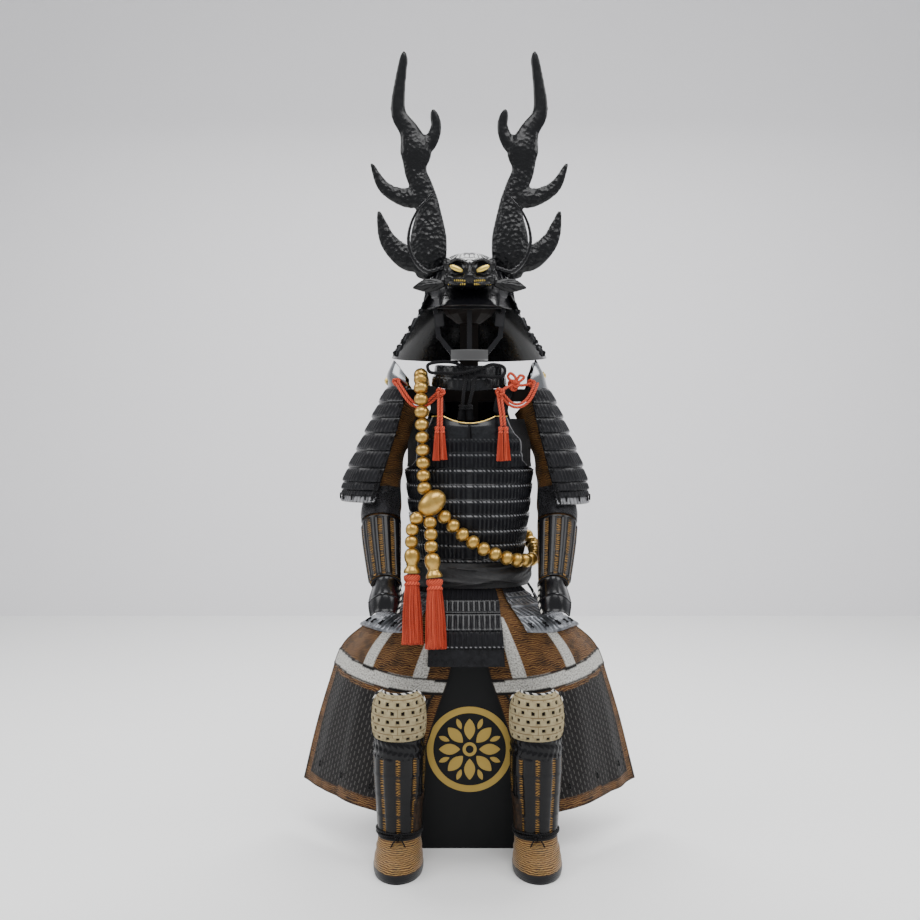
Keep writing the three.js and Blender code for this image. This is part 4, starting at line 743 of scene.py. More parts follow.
def laced_paint(name, plate, lace, plate_roughness=0.2, plate_metal=0.0):
    """Lacquered lames under silk laces, light grey where the mesh's silver mark is set: real silver on piping and
    ribs, painted highlight dashes along the lame edges.
    """
    paint = Paint(name, plate, plate_roughness, plate_metal)
    is_lace = paint.mark("lace")
    silver_and_highlight = paint.mark("silver")
    bare = [min(1, value * 2.2 + 0.002) for value in plate]
    worn = paint.blend(paint.effect(WORN_EDGES, "Wear"), plate, bare)
    laced = paint.blend(is_lace, worn, lace)
    # Light grey on the silver mark: real silver piping and ribs, and painted highlights as small dashes on the
    # lames.
    paint.color(paint.blend(silver_and_highlight, laced, (0.24, 0.24, 0.25)))
    glint = paint.add("MapRange", {"Value": is_lace, "To Min": 0.26, "To Max": 0.04})
    paint.set(paint.shader, {"Specular IOR Level": glint.outputs["Result"]})
    rough = paint.add("MapRange", {"Value": is_lace, "To Min": plate_roughness, "To Max": 0.6})
    shiny = paint.add("MapRange", {"Value": silver_and_highlight, "To Min": rough.outputs["Result"], "To Max": 0.3})
    paint.set(paint.shader, {"Roughness": shiny.outputs["Result"]})
    braid = paint.effect(TWISTED_STRANDS, "Ridges", Strands=260)
    paint.bump(paint.math("MULTIPLY", braid, is_lace), 0.0005, 0.8)
    return paint.bump(paint.noise(60), 0.0005, 0.3).material


black_lame = laced_paint("black_lame", (0.0045, 0.0048, 0.0056), (0.008, 0.008, 0.010))
turns = NECK_SWEEP * np.linspace(-1, 1, 9)
neck_rows = [
    np.stack([
        row["half_width"] * np.sin(turns),
        BOWL_MIDDLE + row["back"] * np.cos(turns),
        row["z"] - row["drop"] * (1 - np.cos(turns)) / 2,
    ], axis=1)
    for row in NECK_ROWS
]
across, down = np.linspace(0, 1, NECK_ACROSS), np.linspace(0, 1, NECK_DOWN)
neck_grid = surface(neck_rows, across, down)
fraction = (down * NECK_LAMES * 0.9999)[:, None] % 1
widths = middle_widths(neck_grid)
lace = lacing(widths, fraction, 0.042, 0.004) * (fraction > 0.05)
near_end = np.minimum(across, 1 - across)[None] * (widths[:, -1:] - widths[:, :1])
knots = round_top(np.clip((near_end - 0.012) / 0.006, -1, 1)) * round_top(np.clip((fraction - 0.45) / 0.3,
    -1, 1))
neck_relief = 0.003 * (1 - fraction) + 0.0022 * lace + 0.005 * knots
neck_guard = plate_on(
    "neck_guard_lames", neck_grid, 1, 0.002, neck_relief, SEAM,
    marks={"lace": np.maximum(lace, knots), "silver": 0.0}
)
dress(neck_guard, black_lame, "lacquer", "neck_guard")


def edge_knots(name, points, outward, size, seed):
    """Small black lace loops that stand out along the free edge of hanging lames."""
    chance = random.Random(seed)
    loops = []
    for point, out in zip(points, outward):
        centre = point + out * size * 0.55
        loops.append(knot("loop", centre, size * chance.uniform(0.85, 1.1), chance.randint(0, 99)))
    return dress(merged(name, loops), black_silk, "black_cloth")


neck_out = normals_of(neck_grid, 1)
for letter, column in [("l", 4), ("r", -5)]:
    rows = (np.arange(0.5, 2 * NECK_LAMES) / (2 * NECK_LAMES) * (len(down) - 1)).astype(int)
    edge_knots(f"neck_guard_loops_{letter}", neck_grid[rows, column], neck_out[rows, column], 0.0068, 61)

# Face frame and chin plate
# A dark steel frame holds the place of a face, with a middle bar, grey felt pads at the temples and a
# bright bent chin plate.
dark_steel = Paint("dark_steel", (0.012, 0.012, 0.014), 0.36, 0.5)
dark_steel.roughen(dark_steel.noise(50), 0.24, 0.42)
dark_steel.bump(dark_steel.noise(160, 4, (1, 1, 0.1)), 0.0003, 0.4)
keep("face_frame", dark_steel.material, 0.0012)
bright_steel = Paint("bright_steel", (0.15, 0.15, 0.15), 0.3, 1.0)
bright_steel.roughen(bright_steel.noise(30), 0.26, 0.38)
bright_steel.bump(bright_steel.noise(400, 3, (1, 1, 0.05)), 0.0001, 0.3)
CHIN_HALF, CHIN_LOW, CHIN_HIGH, CHIN_BOW = 0.042, 1.120, 1.145, 0.014
FACE_FRONT = -0.104
chin_places = np.linspace(-1, 1, 48)
chin_rows = [
    np.stack([CHIN_HALF * chin_places, FACE_FRONT - SEAM - CHIN_BOW * (1 - chin_places**2), np.full(48, z)],
        axis=1)
    for z in (CHIN_HIGH, CHIN_LOW)
]
chin_grid = surface(chin_rows, np.linspace(0, 1, 48), np.linspace(0, 1, 16))
chin_edge = 0.0006 * np.abs(np.linspace(-1, 1, 16)[:, None]) ** 10
dress(plate_on("chin_plate", chin_grid, -1, PLATE, chin_edge), bright_steel.material, "steel", "chin_band")


def slab(name, centre, size, rounding=0.002, turn=(0, 0, 0)):
    """A small block with rounded edges."""
    mesh = bpy.data.meshes.new(name)
    work = bmesh.new()
    bmesh.ops.create_cube(work, size=1)
    bmesh.ops.scale(work, vec=size, verts=work.verts)
    bmesh.ops.bevel(work, geom=work.edges, offset=rounding, segments=3, affect="EDGES")
    work.to_mesh(mesh)
    work.free()
    piece = piece_of(mesh, 30)
    piece.location = centre
    piece.rotation_euler = [math.radians(angle) for angle in turn]
    return piece


grey_felt = Paint("grey_felt", (0.030, 0.030, 0.032), 0.85)
grey_felt.bump(grey_felt.noise(500), 0.0006)
dress(slab("face_bar", (0, -0.106, 1.188), (0.012, 0.004, 0.100), 0.0012), dark_steel.material, "dark_steel")
for letter, side in SIDES:
    pad = slab(f"temple_pad_{letter}", (side * 0.070, -0.107, 1.214), (0.020, 0.006, 0.030), 0.002,
        (0, side * 8, 0))
    dress(pad, grey_felt.material, "black_cloth")

# Antlers
# Two broad branching antlers, carved and lacquered near-black: smooth rounded edges and tips, and a
# pitted bark over their flat lower faces.
ANTLER_Y = -0.046
ANTLER_FLATNESS = 0.42
TIP_DEPTH = 0.006
ANTLER_VOXEL = 0.0034
BEAM = [
    (0.112, 1.318, 0.014), (0.104, 1.345, 0.034), (0.098, 1.376, 0.045), (0.097, 1.417, 0.044),
    (0.098, 1.487, 0.029),
    (0.110, 1.530, 0.027), (0.128, 1.575, 0.027), (0.127, 1.620, 0.038), (0.142, 1.668, 0.025),
    (0.168, 1.711, 0.019),
    (0.164, 1.784, 0.0145), (0.156, 1.838, 0.011), (0.155, 1.861, 0.004),
]
TINES = [
    [(0.100, 1.360, 0.022), (0.143, 1.366, 0.030), (0.190, 1.405, 0.022), (0.207, 1.446, 0.014),
        (0.216, 1.482, 0.004)],
    [(0.104, 1.515, 0.018), (0.138, 1.510, 0.025), (0.180, 1.521, 0.019), (0.207, 1.542, 0.015),
        (0.234, 1.596, 0.004)],
    [(0.118, 1.612, 0.016), (0.094, 1.640, 0.018), (0.079, 1.678, 0.014), (0.083, 1.707, 0.011),
        (0.087, 1.722, 0.004)],
]


def blended(name, pieces, voxel, smoothing=6):
    """Pieces that cross each other, melted into one skin on a fine grid."""
    whole = merged(name + "_rough", pieces)
    remesh = whole.modifiers.new("join", "REMESH")
    remesh.mode = "VOXEL"
    remesh.voxel_size = voxel
    soften = whole.modifiers.new("soften", "SMOOTH")
    soften.iterations = smoothing
    mesh = bpy.data.meshes.new_from_object(whole.evaluated_get(bpy.context.evaluated_depsgraph_get()))
    mesh.name = name
    bpy.data.objects.remove(whole)
    mesh.materials.clear()
    return piece_of(mesh, 80)


def branch(name, table, side):
    """A flat branch through a table of x, z and half width."""
    table = np.array(table)
    line = np.stack([side * table[:, 0], np.full(len(table), ANTLER_Y), table[:, 1]], axis=1)
    places = np.linspace(0, 1, 56)
    path = smooth_line(line, places)
    half = smooth_line(np.stack([table[:, 2]] * 3, axis=1), places)[:, 0]
    depth = np.maximum(half * ANTLER_FLATNESS, np.minimum(half, TIP_DEPTH))
    tip = np.sqrt(np.clip((1 - places) / 0.03, 0.02, 1))
    return shell(name, rings_along(path, half * tip, depth * tip, 24), around=True, caps=True)


bark = Paint("antler_lacquer", (0.004, 0.0042, 0.005), 0.26, **{"Specular IOR Level": 0.3})
low_share = bark.add("SeparateXYZ", {"Vector": bark.place((1, 1, 1), "Object")}).outputs["Z"]
fade = bark.add("MapRange",
    {"Value": low_share, "From Min": 1.50, "From Max": 1.72, "To Min": 1.0, "To Max": 0.12})
pits = bark.add("TexVoronoi", {"Vector": bark.place((1, 0.6, 1), "Object"), "Scale": 95}).outputs["Distance"]
wrinkles = bark.noise(75, 5, (1, 1, 0.7))
relief = bark.math("ADD", bark.math("MULTIPLY", pits, 0.7), wrinkles)
bark.bump(bark.math("MULTIPLY", relief, fade.outputs["Result"]), 0.0042, 0.85)
bark.roughen(wrinkles, 0.12, 0.34)
for letter, side in SIDES:
    branches = [branch(f"branch_{letter}{number}", table, side) for number,
        table in enumerate([BEAM] + TINES)]
    antler = blended(f"carved_antler_{letter}", branches, ANTLER_VOXEL)
    dress(antler, bark.material, "lacquer", f"antler_{letter}")

# Horns
# Two thin whip-like horns rise from behind the crest's knobs and curl back over the antlers.
HORN_Y = -0.116
HORN_LINE = [
    (0.0605, 1.334), (0.098, 1.326), (0.126, 1.350), (0.141, 1.391), (0.137, 1.430), (0.120, 1.467),
    (0.096, 1.494),
    (0.080, 1.512),
]
HORN_BASE, HORN_TIP = 0.006, 0.0015
for letter, side in SIDES:
    line = [(side * x, HORN_Y, z) for x, z in HORN_LINE]
    path = evenly(smooth_line(line, np.linspace(0, 1, 200)), 220)
    places = np.linspace(0, 1, 220)
    size = HORN_BASE + (HORN_TIP - HORN_BASE) * places
    grooves = 1 + 0.07 * np.sin(places * TAU * 24) * (1 - places)
    horn = shell(f"whip_horn_{letter}", rings_along(path, size * grooves, size * grooves, 16), around=True,
        caps=True)
    dress(horn, lacquer.material, "lacquer", f"horn_{letter}")

# Lion head
# The carved crest over the visor: a domed brow with raised ridges, ringed knobs, a broad muzzle,
# drooping veined ears, gold half-moon eyes and two rows of gold teeth.
LION_VOXEL = 0.0021
BROW = ((0, -0.118, 1.322), (0.056, 0.040, 0.036))
MUZZLE = ((0, -0.134, 1.299), (0.062, 0.036, 0.019))
NOSE = ((0, -0.164, 1.306), (0.017, 0.012, 0.011))
KNOB = ((0.050, -0.122, 1.341), (0.013, 0.016, 0.016))
EYE = ((0.029, -0.153, 1.327), (0.017, 0.009, 0.009))
EAR_LINE = [(0.058, -0.128, 1.296), (0.098, -0.132, 1.291), (0.132, -0.134, 1.285)]
EAR_WIDTHS = [(0.008, 0.004), (0.015, 0.004), (0.017, 0.0035), (0.011, 0.003), (0.002, 0.0015)]


def ball(name, centre, size, tilt=0.0, segments=28):
    """An oval body; tilt turns it in the plane of the front."""
    turns, rises = np.meshgrid(np.linspace(0, TAU, segments, endpoint=False),
        np.linspace(-1, 1, segments // 2) * math.pi / 2 * 0.995)
    grid = np.stack([np.cos(rises) * np.sin(turns), -np.cos(rises) * np.cos(turns), np.sin(rises)],
        axis=-1) * size
    x, z = grid[..., 0].copy(), grid[..., 2].copy()
    grid[..., 0] = x * math.cos(tilt) + z * math.sin(tilt)
    grid[..., 2] = z * math.cos(tilt) - x * math.sin(tilt)
    return shell(name, grid + np.array(centre), around=True, caps=True)


def ridge(name, points, size, sides=10):
    """A raised carved line through a few points, thin at both ends."""
    path = smooth_line(points, np.linspace(0, 1, 30))
    taper = size * (0.35 + 0.65 * np.sin(np.linspace(0.08, 0.92, 30) * math.pi))
    return shell(name, rings_along(path, taper, taper, sides), around=True, caps=True)


carving = [ball("brow", *BROW), ball("muzzle", *MUZZLE), ball("nose", *NOSE)]
carving.append(ridge("brow_middle", [(0, -0.148, 1.345), (0, -0.160, 1.330), (0, -0.170, 1.314)], 0.006))
for letter, side in SIDES:
    flip = np.array((side, 1, 1))
    carving.append(ball(f"knob_{letter}", np.array(KNOB[0]) * flip, KNOB[1]))
    carving.append(ball(f"eye_socket_{letter}", np.array(EYE[0]) * flip, EYE[1], side * -0.3))
    carving.append(ball(f"nostril_{letter}", np.array((0.010, -0.168, 1.302)) * flip, (0.008, 0.007, 0.006)))
    carving.append(ball(f"cheek_{letter}", np.array((0.046, -0.148, 1.305)) * flip, (0.014, 0.012, 0.009)))
    for number, (low, high) in enumerate(((1.338, 1.352), (1.345, 1.356))):
        points = [(side * 0.006, -0.156 + 0.010 * number, high - 0.012),
            (side * 0.028, -0.153 + 0.012 * number, high - 0.006),
                  (side * 0.050, -0.138 + 0.012 * number, low)]
        carving.append(ridge(f"brow_ridge_{letter}{number}", points, 0.0042))
    carving.append(ridge(f"lip_{letter}",
        [(0, -0.170, 1.293), (side * 0.030, -0.165, 1.290), (side * 0.058, -0.146, 1.296)], 0.0036))
    path = smooth_line(np.array(EAR_LINE) * flip, np.linspace(0, 1, 40))
    widths = smooth_line(np.array([(wide, deep, 0) for wide, deep in EAR_WIDTHS]), np.linspace(0, 1, 40))
    carving.append(shell(f"ear_{letter}", rings_along(path, widths[:, 0], widths[:, 1], 20), around=True,
        caps=True))
    for number, (reach, drop) in enumerate(((0.098, -0.010), (0.110, -0.006), (0.098, 0.011),
        (0.112, 0.007))):
        vein = [(side * 0.066, -0.1335, 1.295), (side * (reach - 0.01), -0.1365, 1.292 + drop * 0.6),
            (side * (reach + 0.006), -0.1355, 1.289 + drop)]
        carving.append(ridge(f"vein_{letter}{number}", vein, 0.0021, 8))
    carving.append(ridge(f"vein_{letter}",
        [(side * 0.062, -0.134, 1.296), (side * 0.098, -0.138, 1.291), (side * 0.128, -0.136, 1.286)],
        0.0026, 8))
lion = blended("carved_lion", carving, LION_VOXEL, 3)
carved = Paint("carved_lacquer", (0.004, 0.004, 0.0045), 0.26, **{"Specular IOR Level": 0.3})
carved.bump(carved.noise(170, 4), 0.0011, 0.5)
carved.roughen(carved.noise(60), 0.14, 0.34)
dress(lion, carved.material, "lacquer", "lion_head")

gold_foil = Paint("gold_foil", (0.82, 0.60, 0.14), 0.3, 0.85)
gold_foil.roughen(gold_foil.noise(160), 0.2, 0.42)
for letter, side in SIDES:
    eye = ball(f"gold_eye_{letter}", (side * 0.030, -0.1595, 1.3255), (0.0165, 0.0045, 0.0062), side * -0.42)
    dress(eye, gold_foil.material, "gold")
TEETH = 22
teeth = []
for row, height in enumerate((1.2965, 1.2885)):
    for number in range(TEETH):
        share = (number + 0.5) / TEETH * 2 - 1
        x = 0.050 * share
        y = -0.1715 + 0.024 * abs(share) ** 2.4
        if abs(share) > 0.16:
            teeth.append(ball(f"tooth_{row}{number}", (x, y, height + 0.004 * share**2),
                (0.0019, 0.0022, 0.0030), 0.0, 8))
dress(merged("gold_teeth", teeth), gold_foil.material, "gold")

# Cuirass
# A black breast plate and back of overlapped lames under rows of black silk lacing, with small grey dashes
# between the laces as painted highlights, silver piping round the armholes and a thin gold rim at the neck.
TORSO = [
    {"z": 0.590, "half_width": 0.130, "front": 0.128, "back": 0.112},
    {"z": 0.650, "half_width": 0.126, "front": 0.126, "back": 0.110},
    {"z": 0.760, "half_width": 0.140, "front": 0.134, "back": 0.116},
    {"z": 0.870, "half_width": 0.150, "front": 0.137, "back": 0.122},
    {"z": 0.930, "half_width": 0.150, "front": 0.131, "back": 0.122},
    {"z": 1.000, "half_width": 0.142, "front": 0.117, "back": 0.113},
    {"z": 1.040, "half_width": 0.136, "front": 0.106, "back": 0.106},
]
SQUARENESS = 0.8
LAME_EDGES = [0.604, 0.657, 0.692, 0.725, 0.761, 0.795, 0.831, 0.866]
LAME_STEP = 0.0035
CUIRASS_PLATE = 0.003
DASH_PITCH = 0.0095
ARMHOLES = {
    "front": [(0.604, 90), (0.866, 90), (0.867, 88), (0.872, 60), (0.888, 49), (0.904, 48), (0.934, 46),
        (0.937, 45),
              (0.950, 38), (0.968, 34), (0.990, 31)],
    "back": [(0.604, 90), (0.866, 90), (0.867, 88), (0.872, 60), (0.888, 52), (0.921, 50), (0.960, 44),
        (1.046, 33)],
}
NECK_DIP, NECK_DIP_HALF = 0.016, 0.060


def torso(turns, z, lift=0.0):
    """Points round the trunk at turns from the front; the last table row holds above it."""
    heights = [row["z"] for row in TORSO]
    sizes = {key: np.interp(z, heights, [row[key] for row in TORSO]) + lift
        for key in ("half_width", "front", "back")}
    swell = lambda value: np.sign(value) * np.abs(value) ** SQUARENESS
    sine, cosine = np.sin(turns), np.cos(turns)
    depth = np.where(cosine > 0, sizes["front"], sizes["back"])
    return np.stack([sizes["half_width"] * swell(sine), -depth * swell(cosine), z + 0 * turns], axis=-1)


cuirass_lacquer = laced_paint("cuirass_lacquer", (0.0055, 0.006, 0.0072), (0.006, 0.006, 0.008), 0.2)


def cuirass_half(name, side_name, columns=158, row_pitch=0.003):
    is_front = side_name == "front"
    armhole = ARMHOLES[side_name]
    top = armhole[-1][0]
    heights = np.arange(top, armhole[0][0], -row_pitch)
    half_turns = np.radians(np.interp(heights, *zip(*armhole)))
    turns = (0 if is_front else math.pi) + half_turns[:, None] * np.linspace(-1, 1, columns)
    z = np.repeat(heights[:, None], columns, axis=1)
    plain = torso(turns, z)
    widths = middle_widths(plain)
    edges = np.array(LAME_EDGES + [0.904, 0.937])
    lame = np.clip(np.searchsorted(edges, heights, side="right") - 1, 0, len(edges) - 2)
    fraction = 1 - (heights - edges[lame]) / (edges[lame + 1] - edges[lame])
    fraction = np.clip(np.where(heights > edges[-1], 0.5, fraction), 0, 1)[:, None]
    is_laced = (z < (0.937 if is_front else 0.985)) & (z > 0.612)
    lace = lacing(widths, fraction, DASH_PITCH, 0.0038, 0.16, 0.94) * is_laced
    # Painted highlights: light grey dashes along the top edge of each lame, between the laces.
    dash = round_top(repeat(widths + DASH_PITCH / 2,
        DASH_PITCH) / 0.0026) * round_top(np.clip((fraction - 0.07) / 0.04, -1, 1))
    near_side = widths[:, -1:] - np.abs(widths)
    rim = round_top(np.clip(near_side / 0.0028, 0, 1) * 2 - 1) * (z > 0.874)
    step = np.where(heights > 0.937, 0.0045 * np.clip((1.0 - heights) / 0.05, 0.3, 1),
        LAME_STEP * (1 - fraction[:, 0]))
    relief = step[:, None] + 0.0014 * lace + 0.0009 * dash * is_laced + 0.0016 * rim
    # The silver mark holds the painted highlight dashes and the real silver piping of the armholes.
    silver = np.clip(dash * is_laced * 1.4 + rim, 0, 1)
    outer, inner = torso(turns, z, CUIRASS_PLATE + relief), plain
    dip_from = 0.968 if is_front else 0.960
    for layer in (outer, inner):
        share = np.clip((heights - dip_from) / (top - dip_from), 0, 1)[:, None]
        layer[..., 2] -= share * NECK_DIP * np.clip(1 - (layer[..., 0] / NECK_DIP_HALF) ** 2, 0, None)
        layer[..., 1] += -SEAM / 2 if is_front else SEAM / 2
    piece = shell(name, outer, inner, marks={"lace": lace, "silver": silver})
    return piece, outer[0]


def armhole_cloth(side):
    """Black cloth behind the armhole's piping, from the plate's edge back to the sleeve."""
    heights = np.linspace(0.872, 0.985, 40)
    half_turns = np.radians(np.interp(heights, *zip(*ARMHOLES["front"])))
    edge = torso(side * half_turns, heights, CUIRASS_PLATE / 2)
    reach = np.linspace(0, 1, 16)[None, :, None]
    back = torso(side * np.full(40, math.radians(84)), heights, -0.001)
    flare = np.sin(math.pi * reach) * np.array([side * 0.006, -0.003, 0])
    return edge[:, None] * (1 - reach) + back[:, None] * reach + flare


brass = Paint("brass_rim", (0.62, 0.43, 0.13), 0.28, 1.0)
brass.roughen(brass.noise(80), 0.2, 0.4)
for side_name in ("front", "back"):
    plate, neck_line = cuirass_half(f"cuirass_{side_name}_lames", side_name)
    dress(plate, cuirass_lacquer, "laced_plates", f"cuirass_{side_name}")
    rim_size = np.full(len(neck_line), 0.0017)
    neck_rim = shell(f"neck_rim_{side_name}", rings_along(neck_line, rim_size, rim_size, 8), around=True,
        caps=True)
    dress(neck_rim, brass.material, "gold")
for letter, side in SIDES:
    lining = plate_on(f"armhole_lining_{letter}", armhole_cloth(side), -side, 0.0015)
    dress(lining, black_silk, "black_cloth")
tassel_top, tassel_low = (0.0, -0.1395, 0.972), (0.0, -0.1445, 0.938)
breast_tassel = tassel("breast_tassel", tassel_top, tassel_low, 0.008, 0.0036, 0.0055, 40, 0.0005, 41)
dress(breast_tassel, black_silk, "black_cloth")

# Throat guard
# Short lacquered lames stand round the front of the neck, laced in black.
THROAT_SWEEP = math.radians(96)
THROAT_MIDDLE = -0.014
THROAT_ROWS = [
    {"half_width": 0.078, "front": 0.076, "z": 1.108, "rise": 0.006},
    {"half_width": 0.084, "front": 0.084, "z": 1.078, "rise": 0.011},
    {"half_width": 0.090, "front": 0.092, "z": 1.049, "rise": 0.0189},
]
turns = THROAT_SWEEP * np.linspace(-1, 1, 7)
throat_rows = [
    np.stack([
        row["half_width"] * np.sin(turns),
        THROAT_MIDDLE - row["front"] * np.cos(turns),
        row["z"] + row["rise"] * (1 - np.abs(np.cos(turns)) ** 1.5),
    ], axis=1)
    for row in THROAT_ROWS
]
throat_grid = surface(throat_rows, np.linspace(0, 1, 139), np.linspace(0, 1, 40))
fraction = (np.linspace(0, 1.9999, 40) % 1)[:, None]
widths = middle_widths(throat_grid)
lace = 0.35 * lacing(widths, fraction, 0.013, 0.0026, 0.2, 0.9)
# Painted highlights: faint light grey dashes along the top edge of each lame, between the laces.
dash = round_top(repeat(widths + 0.0065, 0.013) / 0.004) * round_top(np.clip((fraction - 0.1) / 0.05, -1, 1))
throat_relief = 0.003 * (1 - fraction) + 0.0013 * lace + 0.0007 * dash
throat = plate_on("throat_lames", throat_grid, -1, 0.002, throat_relief,
    marks={"lace": lace, "silver": 0.35 * dash})
dress(throat, black_lame, "laced_plates", "throat_guard")

# Shoulder straps
# Padded straps of black cloth run from the back plate over the stand's bar to the breast plate.
STRAP_HALF, STRAP_DEPTH = 0.017, 0.0035
STRAP_LINE = [
    (0.072, -0.108, 0.994), (0.075, -0.104, 1.020), (0.086, -0.074, 1.050), (0.092, -0.034, 1.0613),
    (0.093, 0.0, 1.0616), (0.092, 0.034, 1.0613), (0.086, 0.076, 1.052), (0.079, 0.103, 1.032),
    (0.076, 0.1113, 1.009),
]
black_cloth = Paint("black_cloth", (0.007, 0.007, 0.008), 0.85, **{"Sheen Weight": 0.04})
black_cloth.bump(black_cloth.noise(1400, 2), 0.0004, 0.6)
black_cloth.bump(black_cloth.noise(70, 3), 0.0012, 0.4)
for letter, side in SIDES:
    path = smooth_line(np.array(STRAP_LINE) * (side, 1, 1), np.linspace(0, 1, 90))
    tangents = unit(np.gradient(path, axis=0))
    wide = unit(np.array([1.0, 0, 0]) - tangents * tangents[:, :1])
    over = np.cross(tangents, wide)
    turns = TAU * np.arange(40) / 40
    round_off = lambda value: np.sign(value) * np.abs(value) ** 0.6
    end = np.sqrt(np.clip(np.minimum(np.linspace(0, 1, 90), np.linspace(1, 0, 90)) / 0.03, 0.15, 1))[:,
        None, None]
    quilt = 1 - 0.12 * np.exp(-((repeat(np.linspace(0, 1, 90), 0.1) / 0.012) ** 2))[:, None, None]
    rings = path[:, None] + (round_off(np.cos(turns)) * STRAP_HALF)[None, :, None] * wide[:, None] * end
    rings = rings + (round_off(np.sin(turns)) * STRAP_DEPTH)[None, :, None] * over[:, None] * quilt * end
    strap = shell(f"padded_strap_{letter}", rings, around=True, caps=True)
    dress(strap, black_cloth.material, "black_cloth", f"shoulder_strap_{letter}")

# Sash
# A wide matte black crepe is wound twice round the waist, in soft uneven creases that cross each
# other at the front.
SASH_LOW, SASH_HIGH, SASH_INNER, SASH_CLOTH = 0.592, 0.650, 0.0079, 0.0022
SASH_DEPTH, CREASE_GAIN = 0.005, 2.2
SASH_AROUND, SASH_DOWN = 252, 34
SASH_CREASES = [
    (12, 0.612, 34, 0.0050, 0.35), (-28, 0.634, 40, 0.0050, 0.35), (48, 0.628, 34, 0.0050, 0.35),
    (-62, 0.610, 30, 0.0040, 0.35), (95, 0.615, 40, 0.0040, 0.35), (-110, 0.630, 44, 0.0050, 0.35),
    (150, 0.618, 44, 0.0040, 0.35), (-160, 0.608, 40, 0.0050, 0.35),
]
SMALL_CREASES = [
    (-6, 0.640, 20, 0.0022, -0.5), (4, 0.604, 16, 0.0020, 0.6), (22, 0.642, 24, 0.0024, 0.2),
    (34, 0.606, 22, 0.0022, -0.4),
    (-18, 0.611, 18, 0.0024, -0.3), (-40, 0.622, 22, 0.0018, 0.7), (-52, 0.643, 20, 0.0020, 0.1),
    (62, 0.640, 24, 0.0020, -0.3),
    (78, 0.628, 20, 0.0022, 0.5), (110, 0.640, 26, 0.0020, 0.2), (128, 0.604, 22, 0.0020, -0.4),
    (170, 0.638, 26, 0.0022, 0.3),
    (-80, 0.638, 20, 0.0020, 0.6), (-95, 0.606, 24, 0.0022, -0.3), (-130, 0.612, 24, 0.0020, 0.4),
    (-178, 0.622, 22, 0.0018, -0.5),
]


def crease_heights(turns, z, creases, band):
    """Soft ridges, each at a turn and height, with its reach in degrees, depth and slant."""
    height = np.zeros(np.broadcast(turns, z).shape)
    for turn, middle, reach, depth, slant in creases:
        apart = np.degrees(np.arctan2(np.sin(turns - math.radians(turn)), np.cos(turns - math.radians(turn))))
        line = middle + apart * slant / 1000
        height = height + depth * np.exp(-((apart / reach) ** 2) - ((z - line) / band) ** 2)
    return height


turns, z = np.meshgrid(np.linspace(0, TAU, SASH_AROUND, endpoint=False), np.linspace(SASH_HIGH, SASH_LOW, SASH_DOWN))
rise = (z - SASH_LOW) / (SASH_HIGH - SASH_LOW)
swell = 0.007 * np.sin(math.pi * rise) + crease_heights(turns, z, SASH_CREASES, 0.011)
swell = swell + CREASE_GAIN * crease_heights(turns, z, SMALL_CREASES,
    0.0034) * np.clip(8 * rise * (1 - rise), 0, 1)
swell = swell + 0.0007 * np.sin(turns * 61 + 9 * np.sin(z * 190)) * np.sin(math.pi * rise)
outer = torso(turns, z, SASH_INNER + SASH_DEPTH + swell)
inner = torso(turns, z, SASH_INNER + SASH_DEPTH + swell - SASH_CLOTH)
sash = shell("crepe_sash", outer, inner, around=True, back_row=EASY_ROW)
crepe = Paint("black_crepe", (0.011, 0.011, 0.012), 0.6, **{"Specular IOR Level": 0.45})
crepe.bump(crepe.noise(230, 4, (1, 1, 0.45)), 0.0016, 0.7)
crepe.bump(crepe.noise(1500, 2), 0.0003, 0.6)
dress(sash, crepe.material, "black_cloth", "sash")

# Sleeves
# Loose tubes of brown and gold brocade, bent at the elbow and a little puffed, with black mail over
# the elbow and a narrow black cuff.
SLEEVE_ROWS = [
    {"x": 0.143, "y": 0.0, "z": 1.030, "half_width": 0.046, "half_depth": 0.054, "tilt": 45, "pitch": 0},
    {"x": 0.172, "y": -0.002, "z": 0.955, "half_width": 0.041, "half_depth": 0.054, "tilt": 14, "pitch": 0},
    {"x": 0.201, "y": -0.006, "z": 0.880, "half_width": 0.040, "half_depth": 0.053, "tilt": 4, "pitch": 4},
    {"x": 0.207, "y": -0.020, "z": 0.810, "half_width": 0.043, "half_depth": 0.052, "tilt": 0, "pitch": 12},
    {"x": 0.208, "y": -0.038, "z": 0.757, "half_width": 0.045, "half_depth": 0.050, "tilt": 0, "pitch": 24},
    {"x": 0.204, "y": -0.075, "z": 0.705, "half_width": 0.043, "half_depth": 0.044, "tilt": 0, "pitch": 39},
    {"x": 0.197, "y": -0.120, "z": 0.650, "half_width": 0.038, "half_depth": 0.038, "tilt": 0, "pitch": 39},
    {"x": 0.190, "y": -0.160, "z": 0.602, "half_width": 0.033, "half_depth": 0.033, "tilt": 0, "pitch": 39},
]
SLEEVE_CLOTH = 0.002
SLEEVE_AROUND, SLEEVE_DOWN = 84, 113
SLEEVE_CREASES = [
    (60, 1.1, 70, 0.0035, 0.010), (-70, 1.7, 60, 0.0040, -0.012), (130, 2.3, 60, 0.0040, 0.014),
    (-20, 2.8, 70, 0.0036, 0.010),
    (-120, 3.2, 60, 0.0048, 0.008), (-60, 3.8, 80, 0.0056, -0.006), (-100, 4.2, 70, 0.0045, 0.006),
    (90, 3.6, 50, 0.0030, 0.010),
    (170, 1.2, 60, 0.0032, -0.010), (-160, 2.6, 50, 0.0030, 0.012),
]


